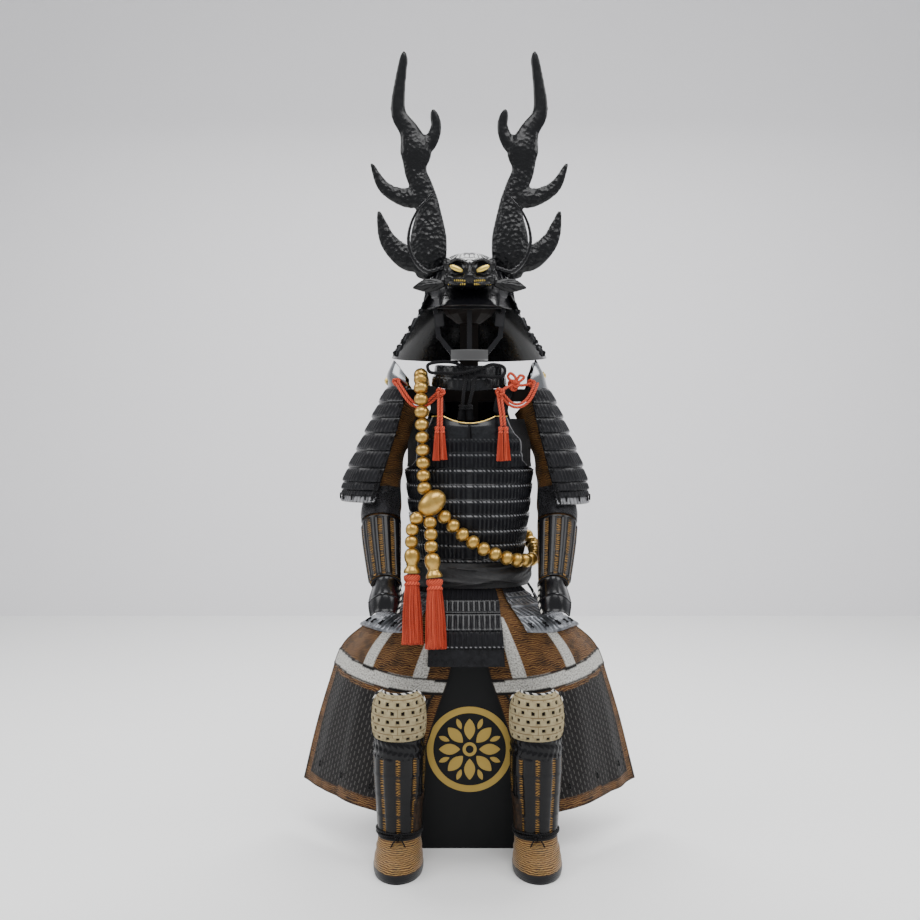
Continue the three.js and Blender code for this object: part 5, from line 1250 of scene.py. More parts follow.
def table_rows(table, places):
    """A table's columns read smoothly between its lines, at places counted in lines."""
    places = np.clip(places, 0, len(table) - 1)
    line = np.minimum(places.astype(int), len(table) - 2)
    t = places - line
    columns = {}
    for key in table[0]:
        values = np.array([row[key] for row in table], float)
        a, b, c, d = (values[np.clip(line + step, 0, len(table) - 1)] for step in (-1, 0, 1, 2))
        columns[key] = 0.5 * (2 * b + (c - a) * t + (2 * a - 5 * b + 4 * c - d) * t**2
            + (3 * b - a - 3 * c + d) * t**3)
    return columns


def sleeve_points(side, turns, places, lift):
    row = table_rows(SLEEVE_ROWS, places)
    tilt, pitch = np.radians(row["tilt"]), np.radians(row["pitch"])
    wide = (row["half_width"] + lift) * np.cos(turns)
    deep = (row["half_depth"] + lift) * np.sin(turns)
    return np.stack([
        side * (row["x"] + wide * np.cos(tilt)),
        row["y"] + deep * np.cos(pitch),
        row["z"] + wide * np.sin(tilt) - deep * np.sin(pitch),
    ], axis=-1)


gold_inputs = {"Stretch": (58, 66, 1), "Distortion": 9.0, "Detail": 3.0, "Low": 0.58, "High": 0.76}
nodes, given, end = new_effect("gold_threads", gold_inputs, ["Lines"])
drift = nodes.waves(1.0, given["Stretch"], given["Distortion"], given["Detail"], "Y")
spread = {"Value": drift, "From Min": given["Low"], "From Max": given["High"]}
nodes.set(end, {"Lines": nodes.add("MapRange", spread).outputs["Result"]})
GOLD_THREADS = nodes.tree
nodes, given, end = new_effect("cloth_weave", {"Threads": 1000.0}, ["Height"])
warp_place = nodes.add("CombineXYZ", {"X": given["Threads"], "Y": 1.0, "Z": 1.0}).outputs["Vector"]
weft_place = nodes.add("CombineXYZ", {"X": 1.0, "Y": given["Threads"], "Z": 1.0}).outputs["Vector"]
warp, weft = nodes.waves(1.0, warp_place, direction="X"), nodes.waves(1.0, weft_place, direction="Y")
nodes.set(end, {"Height": nodes.math("MULTIPLY", warp, weft)})
CLOTH_WEAVE = nodes.tree


def brocade_paint(name, scale=1.0, gold_share=0.5):
    """Brown silk woven with wavy gold threads and dark reed-like strokes."""
    paint = Paint(name, (0.10, 0.045, 0.014), 0.6, **{"Sheen Weight": 0.06, "Sheen Roughness": 0.4})
    drift = paint.effect(GOLD_THREADS, "Lines", Stretch=(58 * scale, 66 * scale, 1), Low=0.60, High=0.74)
    fine = paint.waves(1.0, (90 * scale, 45 * scale, 1), 7.0, 2, "X")
    patches = paint.noise(26 * scale, 3, source="UV")
    ground = paint.ramp(patches, (0.36, (0.010, 0.006, 0.004)), (0.56, (0.070, 0.027, 0.009)))
    lines = paint.math("MULTIPLY", drift, paint.ramp(fine, (0.2, 0.35), (0.5, 1)))
    shown = paint.math("MULTIPLY", lines, paint.ramp(patches, (0.30, 1 - gold_share), (0.55, 1)))
    paint.color(paint.blend(shown, ground, (0.24, 0.135, 0.042)))
    metal = paint.add("MapRange", {"Value": shown, "To Min": 0.0, "To Max": 0.55})
    paint.set(paint.shader, {"Metallic": metal.outputs["Result"]})
    paint.bump(shown, 0.0005, 0.5)
    return paint.bump(paint.effect(CLOTH_WEAVE, "Height", Threads=1100), 0.0003, 0.6).material


brocade = brocade_paint("brocade")
mail_paint = Paint("mail", (0.02, 0.02, 0.022), 0.38, 0.85)
rings_a = mail_paint.add("TexVoronoi", {"Vector": mail_paint.place((1, 1, 1)), "Scale": 240},
    feature="DISTANCE_TO_EDGE").outputs["Distance"]
mail_paint.bump(mail_paint.ramp(rings_a, (0.0, 0), (0.12, 1)), 0.0012, 0.9)
mail_paint.color(mail_paint.ramp(rings_a, (0.05, (0.05, 0.05, 0.055)), (0.2, (0.008, 0.008, 0.009))))
for letter, side in SIDES:
    turns, places = np.meshgrid(np.linspace(0, TAU, SLEEVE_AROUND, endpoint=False), np.linspace(0, 7, SLEEVE_DOWN))
    puffs = 0.0025 * np.sin(places * 5 + turns) * np.clip(1 - (places - 2) ** 2 / 6, 0, None)
    folds = np.zeros(turns.shape)
    for turn, place, reach, depth, slant in SLEEVE_CREASES:
        apart = np.degrees(np.arctan2(np.sin(turns - math.radians(turn)), np.cos(turns - math.radians(turn))))
        folds = folds + depth * np.exp(-((apart / reach) ** 2) - ((places - place - apart
            * slant) / 0.17) ** 2)
    puffs = puffs + 0.7 * (folds - folds.mean()) * np.clip(places * (5.0 - places) / 3, 0, 1)
    grid = sleeve_points(side, turns, places, puffs)
    sleeve = shell(f"brocade_sleeve_{letter}", grid,
        sleeve_points(side, turns, places, puffs - SLEEVE_CLOTH), around=True,
                   back_row=EASY_ROW)
    dress(sleeve, brocade, "brocade", f"sleeve_{letter}")
    turns, places = np.meshgrid(np.linspace(math.radians(-150), math.radians(60), 49),
        np.linspace(2.9, 4.35, 37))
    puffs = 0.0025 * np.sin(places * 5 + turns) * np.clip(1 - (places - 2) ** 2 / 6, 0, None)
    mail_grid = sleeve_points(side, turns, places, puffs + 0.0058)
    mail = shell(f"elbow_mail_{letter}", mail_grid, sleeve_points(side, turns, places, puffs + 0.0036))
    dress(mail, mail_paint.material, "dark_steel")
    turns, places = np.meshgrid(np.linspace(0, TAU, 90, endpoint=False), np.linspace(6.88, 7, 8))
    cuff = shell(f"cuff_{letter}", sleeve_points(side, turns, places, 0.0022),
        sleeve_points(side, turns, places, -0.001), around=True)
    dress(cuff, black_cloth.material, "black_cloth")

# Forearm splints
# Seven lacquered rods lie side by side round the outside of each forearm, sewn between strips of
# brocade and black piping.
SPLINT_FROM, SPLINT_TO, SPLINT_RODS = 4.45, 6.85, 7
SPLINT_START, SPLINT_SWEEP = math.radians(-155), math.radians(245)
SPLINT_CLEAR, SPLINT_BASE, SPLINT_RISE = 0.0015, 0.001, 0.005


def splint_paint(name):
    """Glossy rods over a brocade ground: the mesh marks the rods and the black bands."""
    paint = Paint(name, (0.003, 0.003, 0.004), 0.26, **{"Specular IOR Level": 0.22})
    ground = paint.waves(1.0, (40, 60, 1), 9.0, 2, "Y")
    gold = paint.ramp(ground, (0.5, (0.014, 0.007, 0.003)), (0.72, (0.26, 0.14, 0.035)))
    is_rod = paint.mark("lace")
    paint.color(paint.blend(is_rod, gold, (0.005, 0.005, 0.006)))
    rough = paint.add("MapRange", {"Value": is_rod, "To Min": 0.6, "To Max": 0.24})
    paint.set(paint.shader, {"Roughness": rough.outputs["Result"]})
    return paint.bump(paint.noise(120), 0.0003, 0.4).material


splints_lacquer = splint_paint("splint_lacquer")
SPLINT_COLUMNS = 145
for letter, side in SIDES:
    turns, places = np.meshgrid(SPLINT_START + SPLINT_SWEEP * np.linspace(0, 1, SPLINT_COLUMNS),
        np.linspace(SPLINT_FROM, SPLINT_TO, 57))
    rod_place = np.linspace(0, SPLINT_RODS, SPLINT_COLUMNS)[None] % 1
    rod = round_top(np.clip((rod_place - 0.5) / 0.36, -1, 1)) * np.ones(places.shape)
    bands = sum(np.exp(-(((places - middle) / 0.045) ** 2)) for middle in (4.62, 5.25, 5.95, 6.62))
    end_trim = (places < 4.54) | (places > 6.78)
    relief = SPLINT_BASE + SPLINT_RISE * rod * (1 - 0.12
        * bands) * ~end_trim + 0.0022 * end_trim + 0.0007 * bands
    black = np.clip(rod * 1.6 + bands * 0.9 + end_trim, 0, 1)
    outer = sleeve_points(side, turns, places, SPLINT_CLEAR + relief)
    splints = shell(f"splint_rods_{letter}", outer, sleeve_points(side, turns, places, SPLINT_CLEAR),
        marks={"lace": black})
    dress(splints, splints_lacquer, "lacquer", f"forearm_splints_{letter}")

# Hand plates
# A domed black steel plate over the back of each hand, with braid in black and white along its inner
# edge.
HAND_ROWS = [
    [(0.162, -0.163, 0.602), (0.173, -0.181, 0.618), (0.190, -0.188, 0.624), (0.207, -0.181, 0.618),
        (0.218, -0.163, 0.602)],
    [(0.157, -0.198, 0.571), (0.172, -0.218, 0.585), (0.191, -0.224, 0.591), (0.210, -0.218, 0.584),
        (0.226, -0.198, 0.567)],
    [(0.163, -0.222, 0.545), (0.176, -0.236, 0.553), (0.193, -0.240, 0.555), (0.209, -0.236, 0.551),
        (0.221, -0.224, 0.541)],
]


def braid_paint(name, light, dark, pitch):
    """A braid of two threads that cross each other in short slanted stitches."""
    paint = Paint(name, light, 0.75, **{"Sheen Weight": 0.2})
    turn = paint.waves(1.0, (1 / pitch, 1 / pitch, 1), direction="DIAGONAL")
    paint.color(paint.ramp(turn, (0.46, dark), (0.54, light)))
    return paint.bump(turn, 0.0008, 0.8).material


check_braid = braid_paint("black_white_braid", (0.62, 0.60, 0.55), (0.012, 0.012, 0.014), 0.028)


def braid_along(name, path, size, twists):
    """A round braid laid along a line, with shallow turns in its surface."""
    path = evenly(path, 140)
    swell = size * (1 + 0.1 * np.sin(np.linspace(0, TAU * twists, 140)))
    return shell(name, rings_along(path, swell, swell, 10), around=True, caps=True)


for letter, side in SIDES:
    rows = np.array(HAND_ROWS) * (side, 1, 1)
    across, down = np.linspace(0, 1, 61), np.linspace(0, 1, 45)
    grid = surface(rows, across, down)
    edge = np.maximum(np.abs(across[None] * 2 - 1), np.abs(down[:, None] * 2 - 1))
    dome = 0.0012 * np.exp(-(((down[:, None] - 0.5) / 0.012) ** 2)) + 0.0014 * edge**14
    hand = plate_on(f"hand_shell_{letter}", grid, -side, 0.002, dome)
    dress(hand, lacquer.material, "dark_steel", f"hand_plate_{letter}")
    inner_line = grid[:, 2] + normals_of(grid, -side)[:, 2] * 0.0042
    trim = braid_along(f"hand_braid_{letter}", inner_line, 0.0024, 26)
    dress(trim, check_braid, "ivory_cloth")

# Shoulder guards
# Nine laced lames hang over each upper arm under a grey steel cap plate; the lowest lame is ribbed and
# tied with small knots of lace.
GUARD_ROWS = {
    "l": [(0.144, 0.197, 1.061, 0.088), (0.172, 0.250, 0.950, 0.094), (0.208, 0.302, 0.834, 0.096),
        (0.220, 0.304, 0.787, 0.096)],
    "r": [(0.140, 0.192, 1.057, 0.086), (0.164, 0.240, 0.950, 0.092), (0.193, 0.283, 0.834, 0.095),
        (0.204, 0.285, 0.782, 0.095)],
}
GUARD_LAMES, GUARD_STEP, GUARD_PLATE, GUARD_BULGE = 9, 0.0045, 0.002, 0.68
CAP_ROWS = {
    "l": [
        [(0.150, -0.080, 1.088), (0.178, -0.056, 1.122), (0.182, 0, 1.124), (0.178, 0.056, 1.122),
            (0.150, 0.080, 1.088)],
        [(0.150, -0.085, 1.074), (0.187, -0.058, 1.088), (0.200, 0, 1.088), (0.187, 0.058, 1.088),
            (0.150, 0.085, 1.074)],
        [(0.144, -0.088, 1.0624), (0.180, -0.060, 1.0624), (0.197, 0, 1.0624), (0.180, 0.060, 1.0624),
            (0.144, 0.088, 1.0624)],
    ],
    "r": [
        [(0.148, -0.078, 1.092), (0.158, -0.055, 1.124), (0.161, 0, 1.124), (0.158, 0.055, 1.124),
            (0.148, 0.078, 1.092)],
        [(0.146, -0.082, 1.074), (0.172, -0.057, 1.092), (0.180, 0, 1.092), (0.172, 0.057, 1.092),
            (0.146, 0.082, 1.074)],
        [(0.140, -0.086, 1.0584), (0.175, -0.058, 1.0584), (0.192, 0, 1.0584), (0.175, 0.058, 1.0584),
            (0.140, 0.086, 1.0584)],
    ],
}


def guard_row(side, front, outer, z, reach):
    bulge = front + (outer - front) * GUARD_BULGE
    return [
        (side * front, -reach, z), (side * bulge, -GUARD_BULGE * reach, z), (side * outer, 0, z),
        (side * bulge, GUARD_BULGE * reach, z), (side * front, reach, z),
    ]


guard_paint = laced_paint("shoulder_lacing", (0.006, 0.006, 0.007), (0.014, 0.014, 0.016), 0.22)
grey_paint = laced_paint("grey_ribbed_plate", (0.13, 0.135, 0.145), (0.02, 0.02, 0.022), 0.3, 0.8)
cap_steel = Paint("cap_steel", (0.25, 0.26, 0.27), 0.16, 1.0)
cap_steel.roughen(cap_steel.noise(60, 4), 0.1, 0.24)
cap_steel.bump(cap_steel.noise(9), 0.0012, 0.25)
GUARD_ACROSS, GUARD_DOWN = 97, 121
CAP_ACROSS, CAP_DOWN = 61, 41


for letter, side in SIDES:
    rows = np.array([guard_row(side, *row) for row in GUARD_ROWS[letter]])
    down = np.linspace(0, 1, GUARD_DOWN)
    grid = surface(rows, np.linspace(0, 1, GUARD_ACROSS), down)
    last = down[:, None] > 1 - 1 / GUARD_LAMES
    place = down[:, None] * GUARD_LAMES % 1 * np.ones(grid.shape[:2])
    widths = middle_widths(grid)
    lace = lacing(widths, place, 0.0095, 0.0036) * ~last
    ribs = round_top(repeat(widths, 0.0095) / 0.0046) * last * (place < 0.92)
    relief = GUARD_STEP * place + 0.0016 * lace + 0.0022 * ribs
    guard = plate_on(f"laced_shoulder_guard_{letter}", grid, -side, GUARD_PLATE, relief,
        marks={"lace": lace, "silver": ribs * 1.0})
    dress(guard, guard_paint, "laced_plates", f"shoulder_guard_{letter}")
    rows_on = (np.arange(0.6, 2 * GUARD_LAMES) / (2 * GUARD_LAMES) * (GUARD_DOWN - 1)).astype(int)
    guard_out = normals_of(grid, -side)
    for edge_name, column in [("fore", 2), ("aft", -3)]:
        edge_knots(f"guard_loops_{edge_name}_{letter}", grid[rows_on, column], guard_out[rows_on, column],
            0.0062, 67)
    knots = []
    for number in range(7):
        across = 0.10 + 0.8 * number / 6
        place_on = surface(rows, [across - 0.01, across, across + 0.01], [0.885, 0.9, 0.915])
        out = normals_of(place_on, -side)[1, 1] * 0.0072
        centre = place_on[1, 1] + out
        for turn in (0.6, -0.6):
            ends = np.array([(0, -math.sin(turn), math.cos(turn)),
                (0, math.sin(turn), -math.cos(turn))]) * 0.0085
            path = evenly(np.array([centre + ends[0], centre + out * 0.16, centre + ends[1]]), 12)
            knots.append(shell("tie", rings_along(path, 0.0021, 0.0012, 8), around=True, caps=True))
    dress(merged(f"guard_ties_{letter}", knots), black_silk, "black_cloth")
    cap_grid = surface(np.array(CAP_ROWS[letter]) * (side, 1, 1), np.linspace(0, 1, CAP_ACROSS),
        np.linspace(0, 1, CAP_DOWN))
    edge = np.maximum(np.abs(np.linspace(-1, 1, CAP_ACROSS))[None], np.abs(np.linspace(-1, 1, CAP_DOWN))[:, None])
    cap = plate_on(f"cap_plate_{letter}", cap_grid, side, 0.002, 0.0016 * edge**18)
    dress(cap, cap_steel.material, "steel", f"guard_cap_{letter}")

# Shoulder knots and gold fittings
# Thick red silk cord ends in full knots with short ends at the shoulders, beside small gilt fittings
# that hold the cap plates.
KNOTS = [
    ((-0.067, -0.130, 1.045), 0.010, 3), ((0.070, -0.130, 1.045), 0.010, 7),
    ((-0.172, -0.078, 1.072), 0.009, 5), ((0.104, -0.094, 1.064), 0.013, 11),
    ((0.146, -0.082, 1.069), 0.009, 13),
]
BOW_CORDS = [
    [(0.146, -0.083, 1.069), (0.126, -0.092, 1.063), (0.104, -0.096, 1.064), (0.086, -0.112, 1.057),
        (0.071, -0.129, 1.047)],
    [(0.104, -0.096, 1.066), (0.090, -0.101, 1.083), (0.096, -0.100, 1.091), (0.108, -0.097, 1.080),
        (0.106, -0.096, 1.066)],
    [(0.104, -0.096, 1.066), (0.118, -0.097, 1.072), (0.128, -0.096, 1.082), (0.119, -0.097, 1.086),
        (0.107, -0.096, 1.068)],
]
BOW_SIZE = 0.0032
for number, (centre, size, seed) in enumerate(KNOTS):
    dress(knot(f"red_knot_{number}", np.array(centre), size, seed), coral, "coral_silk")
bow = []
for points in BOW_CORDS:
    path = evenly(smooth_line(np.array(points), np.linspace(0, 1, 40)), 40)
    bow.append(shell("bow", rings_along(path, np.full(40, BOW_SIZE), np.full(40, BOW_SIZE), 12),
        around=True, caps=True))
dress(merged("red_bow", bow), coral, "coral_silk")
FITTINGS = [(-0.1985, -0.004, 1.078), (0.180, -0.004, 1.090)]
for number, (x, y, z) in enumerate(FITTINGS):
    away = math.copysign(1, x)
    rows = []
    for reach, radius in [(-0.004, 0.0105), (0.0008, 0.0105), (0.0016, 0.0075), (0.0045, 0.0062),
        (0.0062, 0.003), (0.0064, 0.0004)]:
        turns = np.linspace(0, TAU, 32, endpoint=False)
        rows.append(np.stack([
            np.full(32, x + away * reach),
            y + radius * 1.9 * np.cos(turns) * (1 + 0.16 * np.cos(turns * 4)), z + radius * np.sin(turns),
        ], -1))
    boss = shell(f"gold_fitting_{number}", np.array(rows)[:, ::int(away)], around=True, caps=True)
    dress(boss, gold_foil.material, "gold")

# Thigh aprons
# Split aprons of gold-brown brocade over the thighs: a lattice of silver bands above, one wide silver
# band across, and a black field with light stitches inside a brocade border below.
APRON_WAIST, APRON_TURNS = [(0.603, 0.0006), (0.588, 0.004)], [8, 24, 42, 58]
APRON_ROWS = np.array([
    [(0.024, -0.141, 0.560), (0.075, -0.143, 0.560), (0.120, -0.126, 0.560), (0.148, -0.100, 0.560)],
    [(0.033, -0.183, 0.500), (0.110, -0.189, 0.504), (0.196, -0.188, 0.506), (0.246, -0.098, 0.500)],
    [(0.041, -0.182, 0.412), (0.150, -0.196, 0.424), (0.240, -0.142, 0.440), (0.306, -0.026, 0.437)],
    [(0.072, -0.184, 0.320), (0.172, -0.198, 0.332), (0.270, -0.132, 0.346), (0.336, -0.018, 0.354)],
    [(0.103, -0.185, 0.227), (0.192, -0.198, 0.236), (0.294, -0.122, 0.250), (0.362, -0.012, 0.270)],
    [(0.150, -0.186, 0.088), (0.219, -0.197, 0.097), (0.322, -0.106, 0.106), (0.401, -0.005, 0.113)],
])
APRON_CLOTH = 0.002
APRON_FOLDS = [(0.22, 0.05, 0.0022), (0.55, 0.06, 0.0030), (0.80, 0.05, 0.0026), (0.38, 0.04, -0.0016),
    (0.68, 0.04, -0.0018)]
BAND_TOP, BAND_FOOT = (0.387, 0.433), (0.357, 0.396)
RIBBON_SHARES, RIBBON_HALF = (0.20, 0.60), 0.046
BORDER, PIPING, STITCH_PITCH, STITCH_DOWN = 0.024, 0.0036, 0.0105, 0.017
APRON_ACROSS, APRON_DOWN = 109, 174
# One band of a wave texture is this wide in metres where its place isn't scaled.
WAVE_SPAN = 0.314


def apron_grid(side, across, down):
    waist = [torso(side * np.radians(APRON_TURNS), z, lift) for z, lift in APRON_WAIST]
    return surface(np.concatenate([np.array(waist), APRON_ROWS * (side, 1, 1)]), across, down)


def apron_paint():
    """Brocade, silver work and a black field with fine dashes, each shown where the mesh marks it."""
    paint = Paint("apron_cloth", (0.1, 0.05, 0.02), 0.6, **{"Sheen Weight": 0.05})
    patches = paint.noise(30, 3, source="UV")
    ground = paint.ramp(patches, (0.36, (0.016, 0.006, 0.003)), (0.58, (0.068, 0.024, 0.008)))
    gold_lines = paint.effect(GOLD_THREADS, "Lines")
    gold_lines = paint.math("MULTIPLY", gold_lines, paint.ramp(patches, (0.3, 0.45), (0.55, 1)))
    weave = paint.blend(gold_lines, ground, (0.215, 0.112, 0.036))
    silver = paint.blend(paint.ramp(paint.noise(260, 2, source="UV"), (0.42, 0), (0.66, 1)),
        (0.62, 0.61, 0.57), (0.26, 0.25, 0.23))
    with_silver = paint.blend(paint.mark("silver"), weave, silver)
    with_field = paint.blend(paint.mark("field"), with_silver, (0.007, 0.006, 0.006))
    columns = paint.waves(1.0, (WAVE_SPAN / STITCH_PITCH / 2, 1, 1), direction="X")
    falls = paint.waves(1.0, (1, WAVE_SPAN / STITCH_DOWN, 1), direction="Y")
    odd = paint.math("MULTIPLY", paint.ramp(columns, (0.955, 0), (0.985, 1)),
        paint.ramp(falls, (0.3, 0), (0.4, 1)))
    even = paint.math("MULTIPLY", paint.ramp(columns, (0.015, 1), (0.045, 0)),
        paint.ramp(falls, (0.6, 1), (0.7, 0)))
    dashes = paint.math("MULTIPLY", paint.math("ADD", odd, even), paint.mark("lace"))
    paint.color(paint.blend(dashes, with_field, (0.075, 0.07, 0.066)))
    metal = paint.add("MapRange", {"Value": paint.mark("silver"), "To Max": 0.5})
    paint.set(paint.shader, {"Metallic": metal.outputs["Result"]})
    paint.bump(gold_lines, 0.0004, 0.5)
    paint.bump(dashes, 0.0007, 0.8)
    return paint.bump(paint.effect(CLOTH_WEAVE, "Height"), 0.0003, 0.7).material


apron_cloth = apron_paint()
for letter, side in SIDES:
    across, down = np.linspace(0, 1, APRON_ACROSS), np.linspace(0, 1, APRON_DOWN)
    plain = apron_grid(side, across, down)
    out = normals_of(plain, -side)
    folds = np.zeros(plain.shape[:2])
    for middle, reach, height in APRON_FOLDS:
        wander = middle + 0.03 * np.sin(down[:, None] * 5 + middle * 20 + side)
        folds = folds + height * np.exp(-(((across[None] - wander) / reach) ** 2)) * np.clip((down[:,
            None] - 0.42) * 2.2, 0, 1)
    folds = folds + 0.0009 * np.sin(across[None] * 23 + down[:, None] * 9) * np.clip(down[:, None]
        * 2 - 0.8, 0, 1)
    hem = 0.0012 * np.sin(across[None] * 31 + side) * np.clip(down[:, None] * 12 - 11, 0, 1)
    grid = plain + out * (np.clip(folds, -0.0012, 0.0045) + hem)[..., None]
    width = np.cumsum(np.linalg.norm(np.diff(grid, axis=1, prepend=grid[:, :1]), axis=2), axis=1)
    length = np.cumsum(np.linalg.norm(np.diff(grid, axis=0, prepend=grid[:1]), axis=2), axis=0)
    share = across[None] * np.ones((APRON_DOWN, 1))
    band_top = BAND_TOP[0] + (BAND_TOP[1] - BAND_TOP[0]) * share
    band_foot = BAND_FOOT[0] + (BAND_FOOT[1] - BAND_FOOT[0]) * share
    z = grid[..., 2]
    band = (z < band_top) & (z > band_foot)
    below = z < band_foot
    from_edge = np.minimum(np.minimum(width, width[:, -1:] - width), length[-1:] - length)
    field = below & (from_edge > BORDER + PIPING) & (band_foot - z > 0.012)
    piping = below & (np.abs(from_edge - BORDER - PIPING / 2) < PIPING / 2)
    piping = piping | (np.minimum(width, width[:, -1:] - width) < PIPING) | (length[-1:] - length < PIPING)
    upper = ~band & ~below & (z < 0.53)
    rods = upper & ((np.abs(share - RIBBON_SHARES[0]) < RIBBON_HALF)
        | (np.abs(share - RIBBON_SHARES[1]) < RIBBON_HALF))
    trim = (np.abs(z - band_top) < 0.0025) | (np.abs(z - band_foot) < 0.0025)
    silver = (band | rods) & ~piping
    relief = APRON_CLOTH + 0.0011 * band + 0.0011 * rods + 0.0010 * piping + 0.0010 * trim
    marks = {"silver": silver * 1.0, "field": (field | piping | trim) * 1.0, "lace": field * 1.0}
    fall = normals_of(grid, -side)
    apron = shell(f"brocade_apron_{letter}", grid + fall * relief[..., None], grid, marks=marks,
        back_row=EASY_ROW)
    dress(apron, apron_cloth, "brocade", f"thigh_apron_{letter}")
    toggles = []
    for number in range(4):
        column = int((APRON_ACROSS - 1) * (0.17 + 0.22 * number))
        corner = grid[-10, column] + fall[-10, column] * 0.0048
        along = unit(grid[-1, column] - grid[-18, column])
        path = evenly(np.array([corner - along * 0.006, corner + fall[-10, column] * 0.001,
            corner + along * 0.006]), 10)
        radius = 0.0019 * (1 + 0.35 * np.cos(np.linspace(0, TAU, 10)))
        toggles.append(shell("toggle", rings_along(path, radius, radius, 10), around=True, caps=True))
    dress(merged(f"apron_toggles_{letter}", toggles), black_wood.material, "lacquer")

# Laced skirt
# Seven panels of black lames hang from the cuirass on plain black laces: one in front, two over the
# aprons, two at the sides and two behind.
SKIRT_LAMES, SKIRT_STEP, SKIRT_PLATE, SKIRT_LACE_SHARE = 4, 0.003, 0.002, 0.2
SKIRT_TOP, SKIRT_OFFSET, BACK_RAISE = 0.5904, 0.010, 0.0012
FRONT_SKIRT = [
    (0.5902, -0.070, 0.060, -0.131, 0.009), (0.566, -0.083, 0.067, -0.152, 0.005),
    (0.538, -0.086, 0.070, -0.170, 0.004),
    (0.502, -0.090, 0.074, -0.191, 0.004), (0.465, -0.093, 0.077, -0.198, 0.004),
    (0.424, -0.095, 0.079, -0.202, 0.004),
]
SIDE_SKIRT = [
    (0.566, 0.152, -0.022, 0.044, 0.004), (0.538, 0.164, -0.024, 0.048, 0.004),
    (0.502, 0.182, -0.026, 0.052, 0.004),
    (0.465, 0.190, -0.028, 0.056, 0.004), (0.440, 0.195, -0.029, 0.058, 0.004),
]
BACK_SKIRT = [
    (0.566, 0.132, 0.006, 0.088, 0.014), (0.538, 0.150, 0.007, 0.094, 0.010),
    (0.502, 0.183, 0.008, 0.100, 0.002),
    (0.465, 0.187, 0.009, 0.105, 0.002), (0.440, 0.190, 0.010, 0.108, 0.002),
]
SIDE_TURNS, BACK_TURNS = [80, 95, 110], [177, 158, 140]
OVER_APRON = {"near": 0.4, "far": 0.97, "from": 0.161, "to": 0.44, "rise": 0.0075, "top_rise": 0.0085}


def skirt_panel(name, grid, facing, material, ribbed_from, tied):
    """A hanging panel: bare laces above, then lames with lace pairs, and a ribbed lowest lame."""
    count = grid.shape[0]
    down = np.linspace(0, 1, count)[:, None] * np.ones(grid.shape[:2])
    lames_down = np.clip((down - SKIRT_LACE_SHARE) / (1 - SKIRT_LACE_SHARE), 0, 0.9999)
    place = lames_down * SKIRT_LAMES % 1
    hanging = down < SKIRT_LACE_SHARE
    widths = middle_widths(grid)
    pairs = round_top(repeat(widths, 0.012) / 0.0042) * (np.abs(repeat(widths, 0.012)) > 0.0006)
    lame = np.floor(lames_down * SKIRT_LAMES)
    ribbed = (lame >= ribbed_from) & ~hanging
    lace = lacing(widths, place, 0.012, 0.0042, 0.08,
        0.92) * (np.abs(repeat(widths, 0.012)) > 0.0006) * ~hanging * ~ribbed
    ribs = round_top(repeat(widths, 0.011) / 0.0054) * ribbed * (place < 0.93)
    cords = pairs * hanging
    edge = 0.0009 * (place > 0.90) * ~hanging
    # Painted highlights: light grey dashes along the lower edge of the third lame, between the laces.
    dashes = round_top(repeat(widths,
        0.0105) / 0.0027) * (np.abs(place - 0.95) < 0.035) * (lame == 2) * (ribbed_from > 3)
    lace = lace * ((lame < 3) | (ribbed_from < 4))
    relief = SKIRT_STEP * place * ~hanging + 0.0008 * lace + 0.0026 * ribs + 0.0012 * cords + edge
    relief = relief - 0.0007 * (hanging & (cords < 0.05))
    panel = plate_on(name, grid, facing, SKIRT_PLATE, relief,
        marks={"lace": np.clip(lace + hanging, 0, 1), "silver": dashes})
    dress(panel, material, "laced_plates")
    if not tied:
        return panel
    ties = []
    out = normals_of(grid, facing)
    row = int(count * (SKIRT_LACE_SHARE + 0.8 * (ribbed_from + 0.5) / SKIRT_LAMES))
    for number in range(5):
        column = int(grid.shape[1] * (0.12 + 0.19 * number))
        centre = grid[row, column] + out[row, column] * 0.0078
        along = unit(grid[row, min(column + 3, grid.shape[1] - 1)] - grid[row, column])
        upward = unit(grid[row - 4, column] - grid[row, column])
        for slant in (-1, 1):
            ends = (upward + slant * 0.5 * along) * 0.0065
            path = evenly(np.array([centre + ends, centre + out[row, column] * 0.0012, centre - ends]), 12)
            ties.append(shell("tie", rings_along(path, 0.0018, 0.0013, 8), around=True, caps=True))
    dress(merged(f"{name}_ties", ties), black_silk, "black_cloth")
    return panel


